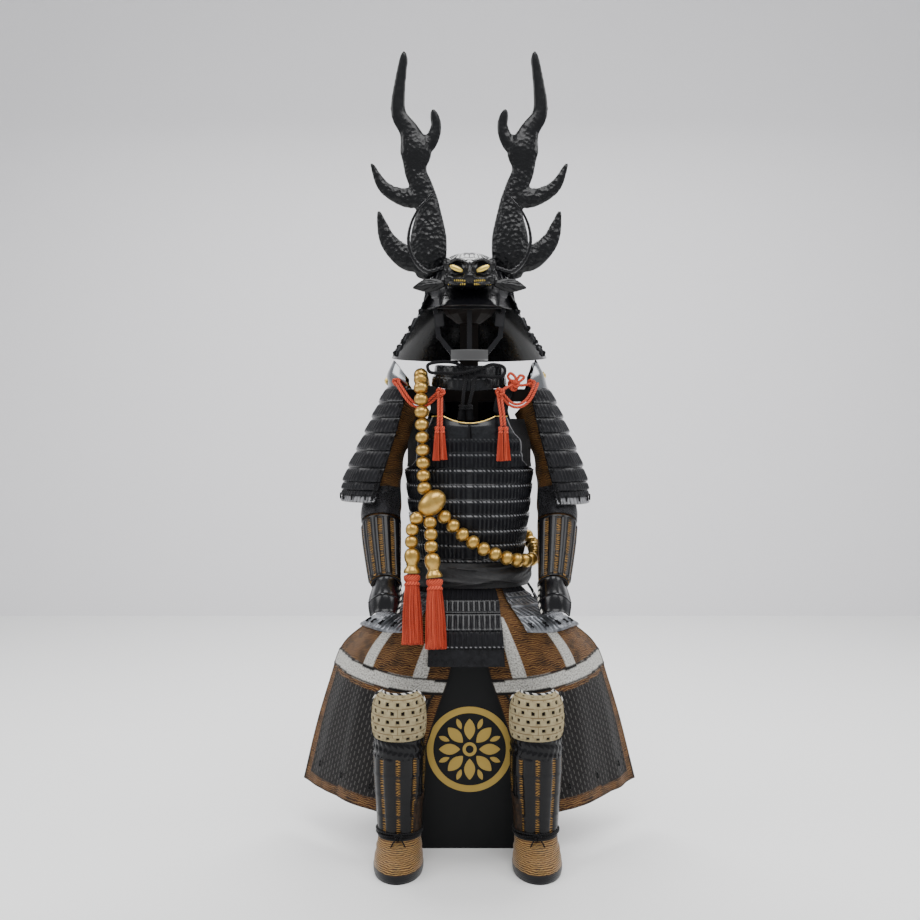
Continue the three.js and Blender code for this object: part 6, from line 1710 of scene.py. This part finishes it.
skirt_paint = laced_paint("skirt_lacing", (0.0055, 0.0055, 0.0065), (0.012, 0.012, 0.014), 0.16)
front_rows = np.array([
    [(left, y, z), ((left + right) / 2, y - bow, z), (right, y, z)] for z, left, right, y, bow in FRONT_SKIRT
])
front = skirt_panel("laced_skirt_front", surface(front_rows, np.linspace(0, 1, 103), np.linspace(0, 1, 90)),
    -1, skirt_paint, 4, False)
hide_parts("skirt_front")
for letter, side in SIDES:
    across = OVER_APRON["near"] + (OVER_APRON["far"] - OVER_APRON["near"]) * np.linspace(0, 1, 97)
    down = np.linspace(0, 1, 88)
    depth = OVER_APRON["from"] + (OVER_APRON["to"] - OVER_APRON["from"]) * down
    rise = OVER_APRON["top_rise"] + (OVER_APRON["rise"] - OVER_APRON["top_rise"]) * np.minimum(1, down * 2)
    under = apron_grid(side, across, depth)
    over = under + normals_of(under, -side) * rise[:, None, None]
    panel = skirt_panel(f"laced_skirt_front_{letter}", over, -side, grey_paint, 3, True)
    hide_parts(f"skirt_front_{letter}")
    hem = torso(side * np.radians(SIDE_TURNS), SKIRT_TOP, SKIRT_OFFSET)
    rows = [hem] + [np.array([(side * x, front, z), (side * (x + bow), (front + back) / 2, z),
        (side * x, back, z)])
                    for z, x, front, back, bow in SIDE_SKIRT]
    panel = skirt_panel(f"laced_skirt_side_{letter}",
        surface(np.array(rows), np.linspace(0, 1, 61), np.linspace(0, 1, 88)),
                        -side, skirt_paint, 4, False)
    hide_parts(f"skirt_side_{letter}")
    hem = torso(side * np.radians(BACK_TURNS), SKIRT_TOP + BACK_RAISE, SKIRT_OFFSET)
    rows = [hem] + [np.array([(side * near, y, z), (side * (near + far) / 2, y, z),
        (side * far, y - drop, z)])
                    for z, y, near, far, drop in BACK_SKIRT]
    panel = skirt_panel(f"laced_skirt_back_{letter}",
        surface(np.array(rows), np.linspace(0, 1, 73), np.linspace(0, 1, 88)),
                        -side, skirt_paint, 4, False)
    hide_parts(f"skirt_back_{letter}")

# Shin guards
# Lacquered splints lie side by side over a brocade shin guard, with a patch of dark leather inside the
# calf and black cords tied above and below.
LEG_X = {"l": -0.156, "r": 0.146}
SHIN_ROWS = [
    {"z": 0.2828, "y": -0.257, "half_width": 0.053, "half_depth": 0.052},
    {"z": 0.240, "y": -0.257, "half_width": 0.055, "half_depth": 0.054},
    {"z": 0.190, "y": -0.256, "half_width": 0.054, "half_depth": 0.053},
    {"z": 0.120, "y": -0.252, "half_width": 0.049, "half_depth": 0.048},
    {"z": 0.0683, "y": -0.250, "half_width": 0.046, "half_depth": 0.045},
]
SHIN_WALL, SHIN_RIB, SHIN_COLUMNS, SHIN_FRONT = 0.0025, 0.003, 18, -0.2
SHIN_BAND, SHIN_BANDS = 0.243, (0.205, 0.160, 0.115)
SHIN_AROUND, SHIN_DOWN = 180, 72
LEATHER_HIGH, LEATHER_SPREAD = 0.150, math.radians(48)


def shin_points(letter, turns, places, grow):
    row = table_rows(SHIN_ROWS, places)
    wide, deep = row["half_width"] - SHIN_WALL + grow, row["half_depth"] - SHIN_WALL + grow
    return np.stack([LEG_X[letter] + wide * np.sin(turns), row["y"] - deep * np.cos(turns),
        row["z"] * np.ones(turns.shape)], -1)


shin_lacquer = Paint("shin_lacquer", (0.003, 0.003, 0.004), 0.26, **{"Specular IOR Level": 0.22})
rod_mark, leather_mark = shin_lacquer.mark("lace"), shin_lacquer.mark("field")
weave = shin_lacquer.waves(1.0, (40, 60, 1), 9.0, 2, "Y")
gold_ground = shin_lacquer.ramp(weave, (0.5, (0.014, 0.007, 0.003)), (0.72, (0.28, 0.15, 0.035)))
leather = shin_lacquer.ramp(shin_lacquer.noise(140, 4), (0.4, (0.010, 0.007, 0.005)),
    (0.7, (0.045, 0.024, 0.013)))
with_rods = shin_lacquer.blend(rod_mark, gold_ground, (0.005, 0.005, 0.006))
shin_lacquer.color(shin_lacquer.blend(leather_mark, with_rods, leather))
rough = shin_lacquer.add("MapRange", {"Value": rod_mark, "To Min": 0.6, "To Max": 0.24})
rough = shin_lacquer.add("MapRange",
    {"Value": leather_mark, "To Min": rough.outputs["Result"], "To Max": 0.45})
shin_lacquer.set(shin_lacquer.shader, {"Roughness": rough.outputs["Result"]})
shin_lacquer.bump(shin_lacquer.noise(110, 3), 0.0004, 0.4)
for letter, side in SIDES:
    turns, places = np.meshgrid(np.linspace(0, TAU, SHIN_AROUND, endpoint=False), np.linspace(0, 4, SHIN_DOWN))
    rod_place = np.degrees(turns) / (360 / SHIN_COLUMNS) % 2
    z = table_rows(SHIN_ROWS, places)["z"]
    front = np.cos(turns) > SHIN_FRONT
    rod = round_top(np.clip((rod_place - 1) / 0.82, -1, 1)) * front
    inner_turn = np.abs(np.arctan2(np.sin(turns + side * math.pi / 2), np.cos(turns + side * math.pi / 2)))
    leather_here = (inner_turn < LEATHER_SPREAD) & (z < LEATHER_HIGH + 0.012
        * np.cos(inner_turn * 2.2)) & (z > 0.074)
    leather_edge = leather_here & ((inner_turn > LEATHER_SPREAD - 0.06) | (z > LEATHER_HIGH - 0.006))
    top_band = z > SHIN_BAND
    foot_band = z < 0.0745
    bands = sum(np.exp(-(((z - height) / 0.004) ** 2)) for height in SHIN_BANDS)
    plain = leather_here | top_band | foot_band
    relief = np.where(plain, 0.0, SHIN_RIB * rod) + 0.0022 * leather_here + 0.0009 * leather_edge
    gathers = np.abs(np.sin(turns * 13 + 0.9 * np.sin(z * 210))) * (0.6 + 0.4 * np.sin(z * 330 + turns * 3))
    relief = relief + 0.0014 * (top_band | foot_band) + 0.0026 * gathers * top_band + 0.0009 * bands * ~plain
    black = np.clip(rod * 1.8 + bands + plain + ~front * 1.0, 0, 1)
    wall = shin_points(letter, turns, places, SHIN_WALL + relief)
    marks = {"lace": black, "field": leather_here * 1.0}
    shin = shell(f"shin_splints_{letter}", wall, shin_points(letter, turns, places, 0), around=True,
        marks=marks,
                 back_row=EASY_ROW)
    dress(shin, shin_lacquer.material, "lacquer", f"shin_guard_{letter}")
    ties = []
    for level, slant in [(0.0745, 0.0015), (0.0815, -0.0015)]:
        ring_turns = np.linspace(0, TAU, 90)
        place = np.interp(-(level + slant * np.sin(ring_turns)), [-row["z"] for row in SHIN_ROWS], range(5))
        path = shin_points(letter, ring_turns, place, SHIN_WALL + 0.0042)
        radius = np.full(90, 0.0021)
        ties.append(shell("tie", rings_along(path[:-1], radius[:-1], radius[:-1], 10), around=True,
            caps=True))
    for number, turn in enumerate((-0.35, 0.35)):
        start = shin_points(letter, np.array(0.0), np.array(3.86), SHIN_WALL + 0.0065)
        drop = np.array([start, start + (turn * 0.03, -0.006, -0.010), start + (turn * 0.05, -0.008, -0.024)])
        radius = np.full(24, 0.0016)
        ties.append(shell("tie",
            rings_along(evenly(smooth_line(drop, np.linspace(0, 1, 24)), 24), radius, radius, 10),
            around=True, caps=True))
    bow = knot("tie", start + (0, -0.001, 0), 0.008, 17)
    dress(merged(f"ankle_ties_{letter}", ties + [bow]), black_silk, "black_cloth")

# Knee guards
# Padded ivory guards stand over the knees: staggered dark holes in the cloth, and an edge of black and
# white braid along the top and sides.
KNEE_ROWS = [(0.383, 0.034, 0.046), (0.368, 0.051, 0.060), (0.335, 0.057, 0.066), (0.300, 0.056, 0.064),
    (0.285, 0.052, 0.052)]
KNEE_MIDDLE, KNEE_SWEEP, KNEE_WALL = -0.257, math.radians(84), 0.003
KNEE_ACROSS, KNEE_DOWN = 127, 108
HOLE_ACROSS, HOLE_DOWN, HOLE_SIZE = 0.021, 0.0178, 0.0068
knee_cloth = Paint("ivory_quilting", (0.42, 0.35, 0.2), 0.85)
tint = knee_cloth.ramp(knee_cloth.noise(70, 4, source="UV"), (0.35, (0.34, 0.28, 0.16)),
    (0.7, (0.47, 0.40, 0.24)))
hexagons = knee_cloth.ramp(knee_cloth.mark("silver"), (0.2, 0), (0.7, 1))
stitched = knee_cloth.blend(hexagons, tint, (0.22, 0.16, 0.085))
knee_cloth.color(knee_cloth.blend(knee_cloth.mark("field"), stitched, (0.012, 0.008, 0.006)))
knee_cloth.bump(knee_cloth.effect(CLOTH_WEAVE, "Height", Threads=900), 0.0004, 0.8)
for letter, side in SIDES:
    rows = []
    for z, half_width, front in KNEE_ROWS:
        turn = KNEE_SWEEP * np.linspace(-1, 1, 7)
        rows.append(np.stack([LEG_X[letter] + half_width * np.sin(turn) / math.sin(KNEE_SWEEP),
            KNEE_MIDDLE - front * np.cos(turn), np.full(7, z)], -1))
    down, across = np.linspace(0, 1, KNEE_DOWN), np.linspace(0, 1, KNEE_ACROSS)
    grid = surface(np.array(rows), across, down)
    width = middle_widths(grid)
    length = np.cumsum(np.linalg.norm(np.diff(grid, axis=0, prepend=grid[:1]), axis=2), axis=0)
    row_number = np.floor((length - 0.016) / HOLE_DOWN)
    stagger = (row_number % 2) * HOLE_ACROSS / 2
    hole_x = np.abs(repeat(width + stagger, HOLE_ACROSS))
    hole_y = np.abs(repeat(length - 0.016 - HOLE_DOWN / 2, HOLE_DOWN))
    inside = (down[:, None] > 0.10) & (down[:, None] < 0.93) & (np.abs(across[None] - 0.5) < 0.46)
    hole = (np.maximum(hole_x, hole_y) < HOLE_SIZE / 2) & inside
    rim = (np.maximum(hole_x, hole_y) < HOLE_SIZE / 2 + 0.0016) & inside & ~hole
    seam = (np.maximum(hole_y * 1.25, hole_x * 0.95) > 0.0098) & inside
    soft = np.sqrt(np.clip((0.0105 - np.minimum(0.0105, np.hypot(hole_x, hole_y))) / 0.0105, 0, 1))
    edge = np.minimum(np.minimum(across, 1 - across)[None] * 26,
        np.minimum(down[:, None] * 22, (1 - down[:, None]) * 18 + 0.4))
    puff = 0.0016 * np.clip(edge, 0, 1) ** 0.5 + 0.0011 * soft * inside + 0.0007 * rim - 0.0024 * hole
    marks = {"field": hole * 1.0, "silver": seam * 1.0}
    knee = plate_on(f"padded_knee_{letter}", grid, -1, KNEE_WALL, puff, marks=marks)
    dress(knee, knee_cloth.material, "ivory_cloth", f"knee_guard_{letter}")
    edge_path = np.concatenate([grid[34::-1, 2], grid[2, 3:-3], grid[:35, -3]])
    outward = normals_of(grid, -1)
    edge_out = np.concatenate([outward[34::-1, 2], outward[2, 3:-3], outward[:35, -3]])
    trim = braid_along(f"knee_braid_{letter}", edge_path + edge_out * 0.0040, 0.0028, 44)
    dress(trim, check_braid, "ivory_cloth")

# Shoes
# Short riding shoes: brocade uppers with a padded black edge at the ankle and a black leather sole that
# turns up a little round the foot.
SHOE_ROWS = [
    (0.068, -0.250, 0.046, 0.045), (0.056, -0.256, 0.048, 0.052), (0.044, -0.270, 0.050, 0.068),
    (0.028, -0.288, 0.053, 0.086), (0.008, -0.292, 0.053, 0.090), (0.0, -0.292, 0.051, 0.088),
]
SHOE_WALL, SHOE_SOLE, SHOE_PIPING = 0.0035, 0.005, 0.0195
SHOE_TURNS = 90


def shoe_ring(letter, turns, z, y, half_width, half_depth):
    return np.stack([LEG_X[letter] + half_width * np.sin(turns), y - half_depth * np.cos(turns),
        np.full(turns.shape, z)], -1)


shoe_cloth = Paint("shoe_brocade", (0.1, 0.05, 0.02), 0.6, **{"Sheen Weight": 0.25})
patches = shoe_cloth.noise(34, 3, source="UV")
lines = shoe_cloth.effect(GOLD_THREADS, "Lines", Stretch=(60, 80, 1), Distortion=5, Detail=2, Low=0.55, High=0.72)
ground = shoe_cloth.ramp(patches, (0.36, (0.022, 0.010, 0.005)), (0.58, (0.085, 0.033, 0.010)))
upper = shoe_cloth.blend(lines, ground, (0.32, 0.19, 0.06))
shoe_cloth.color(shoe_cloth.blend(shoe_cloth.mark("field"), upper, (0.009, 0.009, 0.010)))
shoe_cloth.bump(lines, 0.0004, 0.5)
shoe_cloth.bump(shoe_cloth.noise(900, 2), 0.0003, 0.5)
for letter, side in SIDES:
    turns = np.linspace(0, TAU, SHOE_TURNS, endpoint=False)
    control = np.array([shoe_ring(letter, turns, *row) for row in SHOE_ROWS])
    shares = np.linspace(0, 1, 42)
    outer = np.stack([smooth_line(control[:, column], shares) for column in range(SHOE_TURNS)], axis=1)
    outer[..., 2] = np.clip(outer[..., 2], 0, None)
    middle = np.array([LEG_X[letter], 0, 0])
    centre_y = outer[..., 1].mean(axis=1, keepdims=True)
    away = np.stack([outer[..., 0] - middle[0], outer[..., 1] - centre_y, np.zeros(outer.shape[:2])], -1)
    away = away / np.linalg.norm(away, axis=2, keepdims=True)
    z = outer[..., 2]
    piping = (z > 0.0632) * 1.0
    sole = (z < SHOE_PIPING) * 1.0
    stitch = 0.0004 * np.sin(turns * 60)[None] * (np.abs(z - SHOE_PIPING) < 0.0012)
    wrinkle = 0.0011 * np.sin(z * 380 + 3
        * np.sin(turns * 2 + side)[None]) * np.clip(1 - np.abs(z - 0.045) / 0.016, 0, 1)
    grown = outer + away * (0.0014 * piping + 0.0011 * sole + stitch + wrinkle)[..., None]
    rim_top = grown[:1] - away[:1] * 0.0016 + (0, 0, 0.0009)
    inner_high = outer[:1] - away[:1] * SHOE_WALL
    inner = outer[:-4:4] - away[:-4:4] * SHOE_WALL
    inner = inner[inner[:, 0, 2] > SHOE_SOLE]
    floor_ring = inner[-1:] * (1, 1, 0) + (0, 0, SHOE_SOLE)
    rings = np.concatenate([floor_ring, inner[::-1], inner_high, rim_top, grown])
    black = (rings[..., 2] > 0.0632) | (rings[..., 2] < SHOE_PIPING)
    shoe = shell(f"riding_shoe_{letter}", rings[:, ::-1], around=True, caps=True,
        marks={"field": black[:, ::-1] * 1.0})
    dress(shoe, shoe_cloth.material, "brocade", f"shoe_{letter}")

# Beads
# One long strand of turned gilt wood beads worn across the body, a larger oval bead where its ends
# meet, and below it two short strings of beads with gourd-shaped ends.
BIG_BEAD = {"centre": (-0.086, -0.160, 0.790), "long": 0.036, "short": 0.026, "tilt": 45}
STRAND_FREE = [
    (-0.0982, -0.149, 0.8115), (-0.104, -0.144, 0.824), (-0.106, -0.141, 0.860), (-0.107, -0.140, 0.900),
    (-0.109, -0.137, 0.950),
    (-0.111, -0.133, 1.000), (-0.112, -0.129, 1.032), (-0.113, -0.112, 1.064), (-0.114, -0.082, 1.084),
    (-0.1155, -0.042, 1.090),
    (-0.1132, 0, 1.0776), (-0.1128, 0.042, 1.076), (-0.112, 0.086, 1.062), (-0.108, 0.120, 1.030),
]
STRAND_ROUND = [
    (-140, 0.985, 0.025), (-153, 0.925, 0.024), (-171, 0.862, 0.024), (170, 0.805, 0.024),
    (148, 0.750, 0.025), (126, 0.706, 0.028),
    (106, 0.678, 0.032), (88, 0.662, 0.033), (70, 0.655, 0.033), (56, 0.654, 0.033), (44, 0.655, 0.033),
    (32.4, 0.660, 0.033),
    (22, 0.667, 0.031), (13.4, 0.677, 0.028), (5.4, 0.689, 0.026), (0.3, 0.704, 0.025),
    (-4.3, 0.721, 0.025), (-9.9, 0.740, 0.025),
]
STRAND_END = [(-0.060, -0.158, 0.761), (-0.0685, -0.1585, 0.7695)]
BEAD_COUNT, BEAD_RADIUS, BEAD_CORE = 49, 0.0172, 0.0042
bead_gold = Paint("bead_gold", (0.50, 0.31, 0.08), 0.32, 0.85)
rubbed = bead_gold.ramp(bead_gold.noise(70, 3), (0.3, (0.42, 0.24, 0.055)), (0.6, (0.55, 0.35, 0.095)))
bead_gold.color(rubbed)
bead_gold.roughen(bead_gold.noise(60, 3), 0.22, 0.42)
bead_gold.bump(bead_gold.noise(300, 2), 0.0001, 0.2)


def bead_on(name, centre, along, length, radius, turn):
    """A turned bead: round, with a shallow flat and a small dark mouth at each end."""
    shares = np.linspace(0, 1, 13)
    heights = -np.cos(math.pi * shares)
    sizes = np.clip(np.sin(math.pi * shares), 0, None) ** 0.82
    sizes[0] = sizes[-1] = 0.16
    path = np.array(centre) + np.outer(heights * length / 2, along)
    return shell(name, rings_along(path, sizes * radius, sizes * radius, 20, (0.35, 0.8, 0.5), turn),
        around=True, caps=True, sharp=70)


round_points = [torso(math.radians(turn), z, lift) for turn, z, lift in STRAND_ROUND]
strand = evenly(smooth_line(np.array(STRAND_FREE + [tuple(point) for point in round_points] + STRAND_END),
    np.linspace(0, 1, 1800)), BEAD_COUNT * 12 + 1)
spacing = line_length(strand) / BEAD_COUNT
beads = []
chance = random.Random(23)
for number in range(BEAD_COUNT):
    middle = number * 12 + 6
    along = unit(strand[middle + 2] - strand[middle - 2])
    radius = BEAD_RADIUS * chance.uniform(0.955, 1.0)
    beads.append(bead_on("bead", strand[middle], along, spacing * chance.uniform(0.965, 1.0), radius,
        chance.uniform(0, TAU)))
thread = shell("thread",
    rings_along(strand[4:-4], np.full(len(strand) - 8, BEAD_CORE), np.full(len(strand) - 8, BEAD_CORE), 8),
    around=True, caps=True)
dress(merged("gold_bead_strand", beads + [thread]), bead_gold.material, "gold", "bead_strand")
tilt = math.radians(BIG_BEAD["tilt"])
long_way = np.array((math.sin(tilt), 0, math.cos(tilt)))
shares = np.linspace(0, 1, 33)
path = np.array(BIG_BEAD["centre"]) + np.outer(-np.cos(math.pi * shares) * BIG_BEAD["long"], long_way)
sizes = np.clip(np.sin(math.pi * shares), 0.02, None) ** 0.86 * BIG_BEAD["short"]
dress(shell("large_gold_bead", rings_along(path, sizes, sizes, 40), around=True, caps=True, sharp=70),
    bead_gold.material, "gold", "big_bead")

# Pendants and large tassels
# Each short string has three beads and a gourd-shaped bead with a flared foot, and a thick tassel of
# coral silk hangs below it.
PENDANT_PROFILE = [
    (0, 5), (1.5, 9.8), (5, 13.4), (9, 15.0), (13, 15.5), (17, 15.0), (21, 13.4), (24.5, 9.8), (26, 5),
    (27.5, 9.8), (31, 13.4), (35, 15.0), (39, 15.5), (43, 15.0), (47, 13.4), (50.5, 9.8), (52, 5),
    (53.5, 9.8), (57, 13.4), (61, 15.0), (65, 15.5), (69, 15.0), (73, 13.4), (76.5, 9.5), (78, 6),
    (80, 11), (84, 15), (90, 17.8), (97, 18.5), (104, 17.2), (110, 14), (113, 12.8), (116, 12.5),
    (119, 14.2), (124, 18), (128, 19), (131, 19),
]
PENDANT_PATHS = {
    "l": [(-0.1103, -0.167, 0.7651), (-0.124, -0.171, 0.752), (-0.131, -0.174, 0.727),
        (-0.132, -0.177, 0.700),
          (-0.1305, -0.180, 0.668), (-0.131, -0.183, 0.633)],
    "r": [(-0.0911, -0.1667, 0.7595), (-0.090, -0.173, 0.740), (-0.088, -0.180, 0.717),
        (-0.087, -0.185, 0.690),
          (-0.084, -0.189, 0.658), (-0.080, -0.193, 0.624)],
}
LARGE_TASSELS = {
    "l": ((-0.131, -0.1845, 0.6306), (-0.128, -0.227, 0.478)),
    "r": ((-0.0796, -0.1945, 0.6222), (-0.075, -0.230, 0.468)),
}
TASSEL_HEAD, TASSEL_RADIUS, TASSEL_SPREAD, TASSEL_FLATNESS = 0.026, 0.019, 0.0245, 0.72
for letter, side in SIDES:
    profile = np.array(PENDANT_PROFILE) / 1000
    path = evenly(smooth_line(np.array(PENDANT_PATHS[letter]), np.linspace(0, 1, 400)), 400)
    places = profile[:, 0] / profile[-1, 0] * 399
    line = np.stack([np.interp(places, np.arange(400), path[:, axis]) for axis in range(3)], -1)
    string = shell(f"bead_string_{letter}", rings_along(line, profile[:, 1], profile[:, 1], 32),
        around=True, caps=True, sharp=50)
    dress(string, bead_gold.material, "gold", f"pendant_{letter}")
    top, bottom = LARGE_TASSELS[letter]
    seed = 31 if letter == "l" else 47
    large = tassel(f"large_tassel_{letter}", top, bottom, TASSEL_HEAD, TASSEL_RADIUS, TASSEL_SPREAD, 620,
        0.00075, seed, TASSEL_FLATNESS)
    dress(large, coral, "coral_silk", f"tassel_large_{letter}")
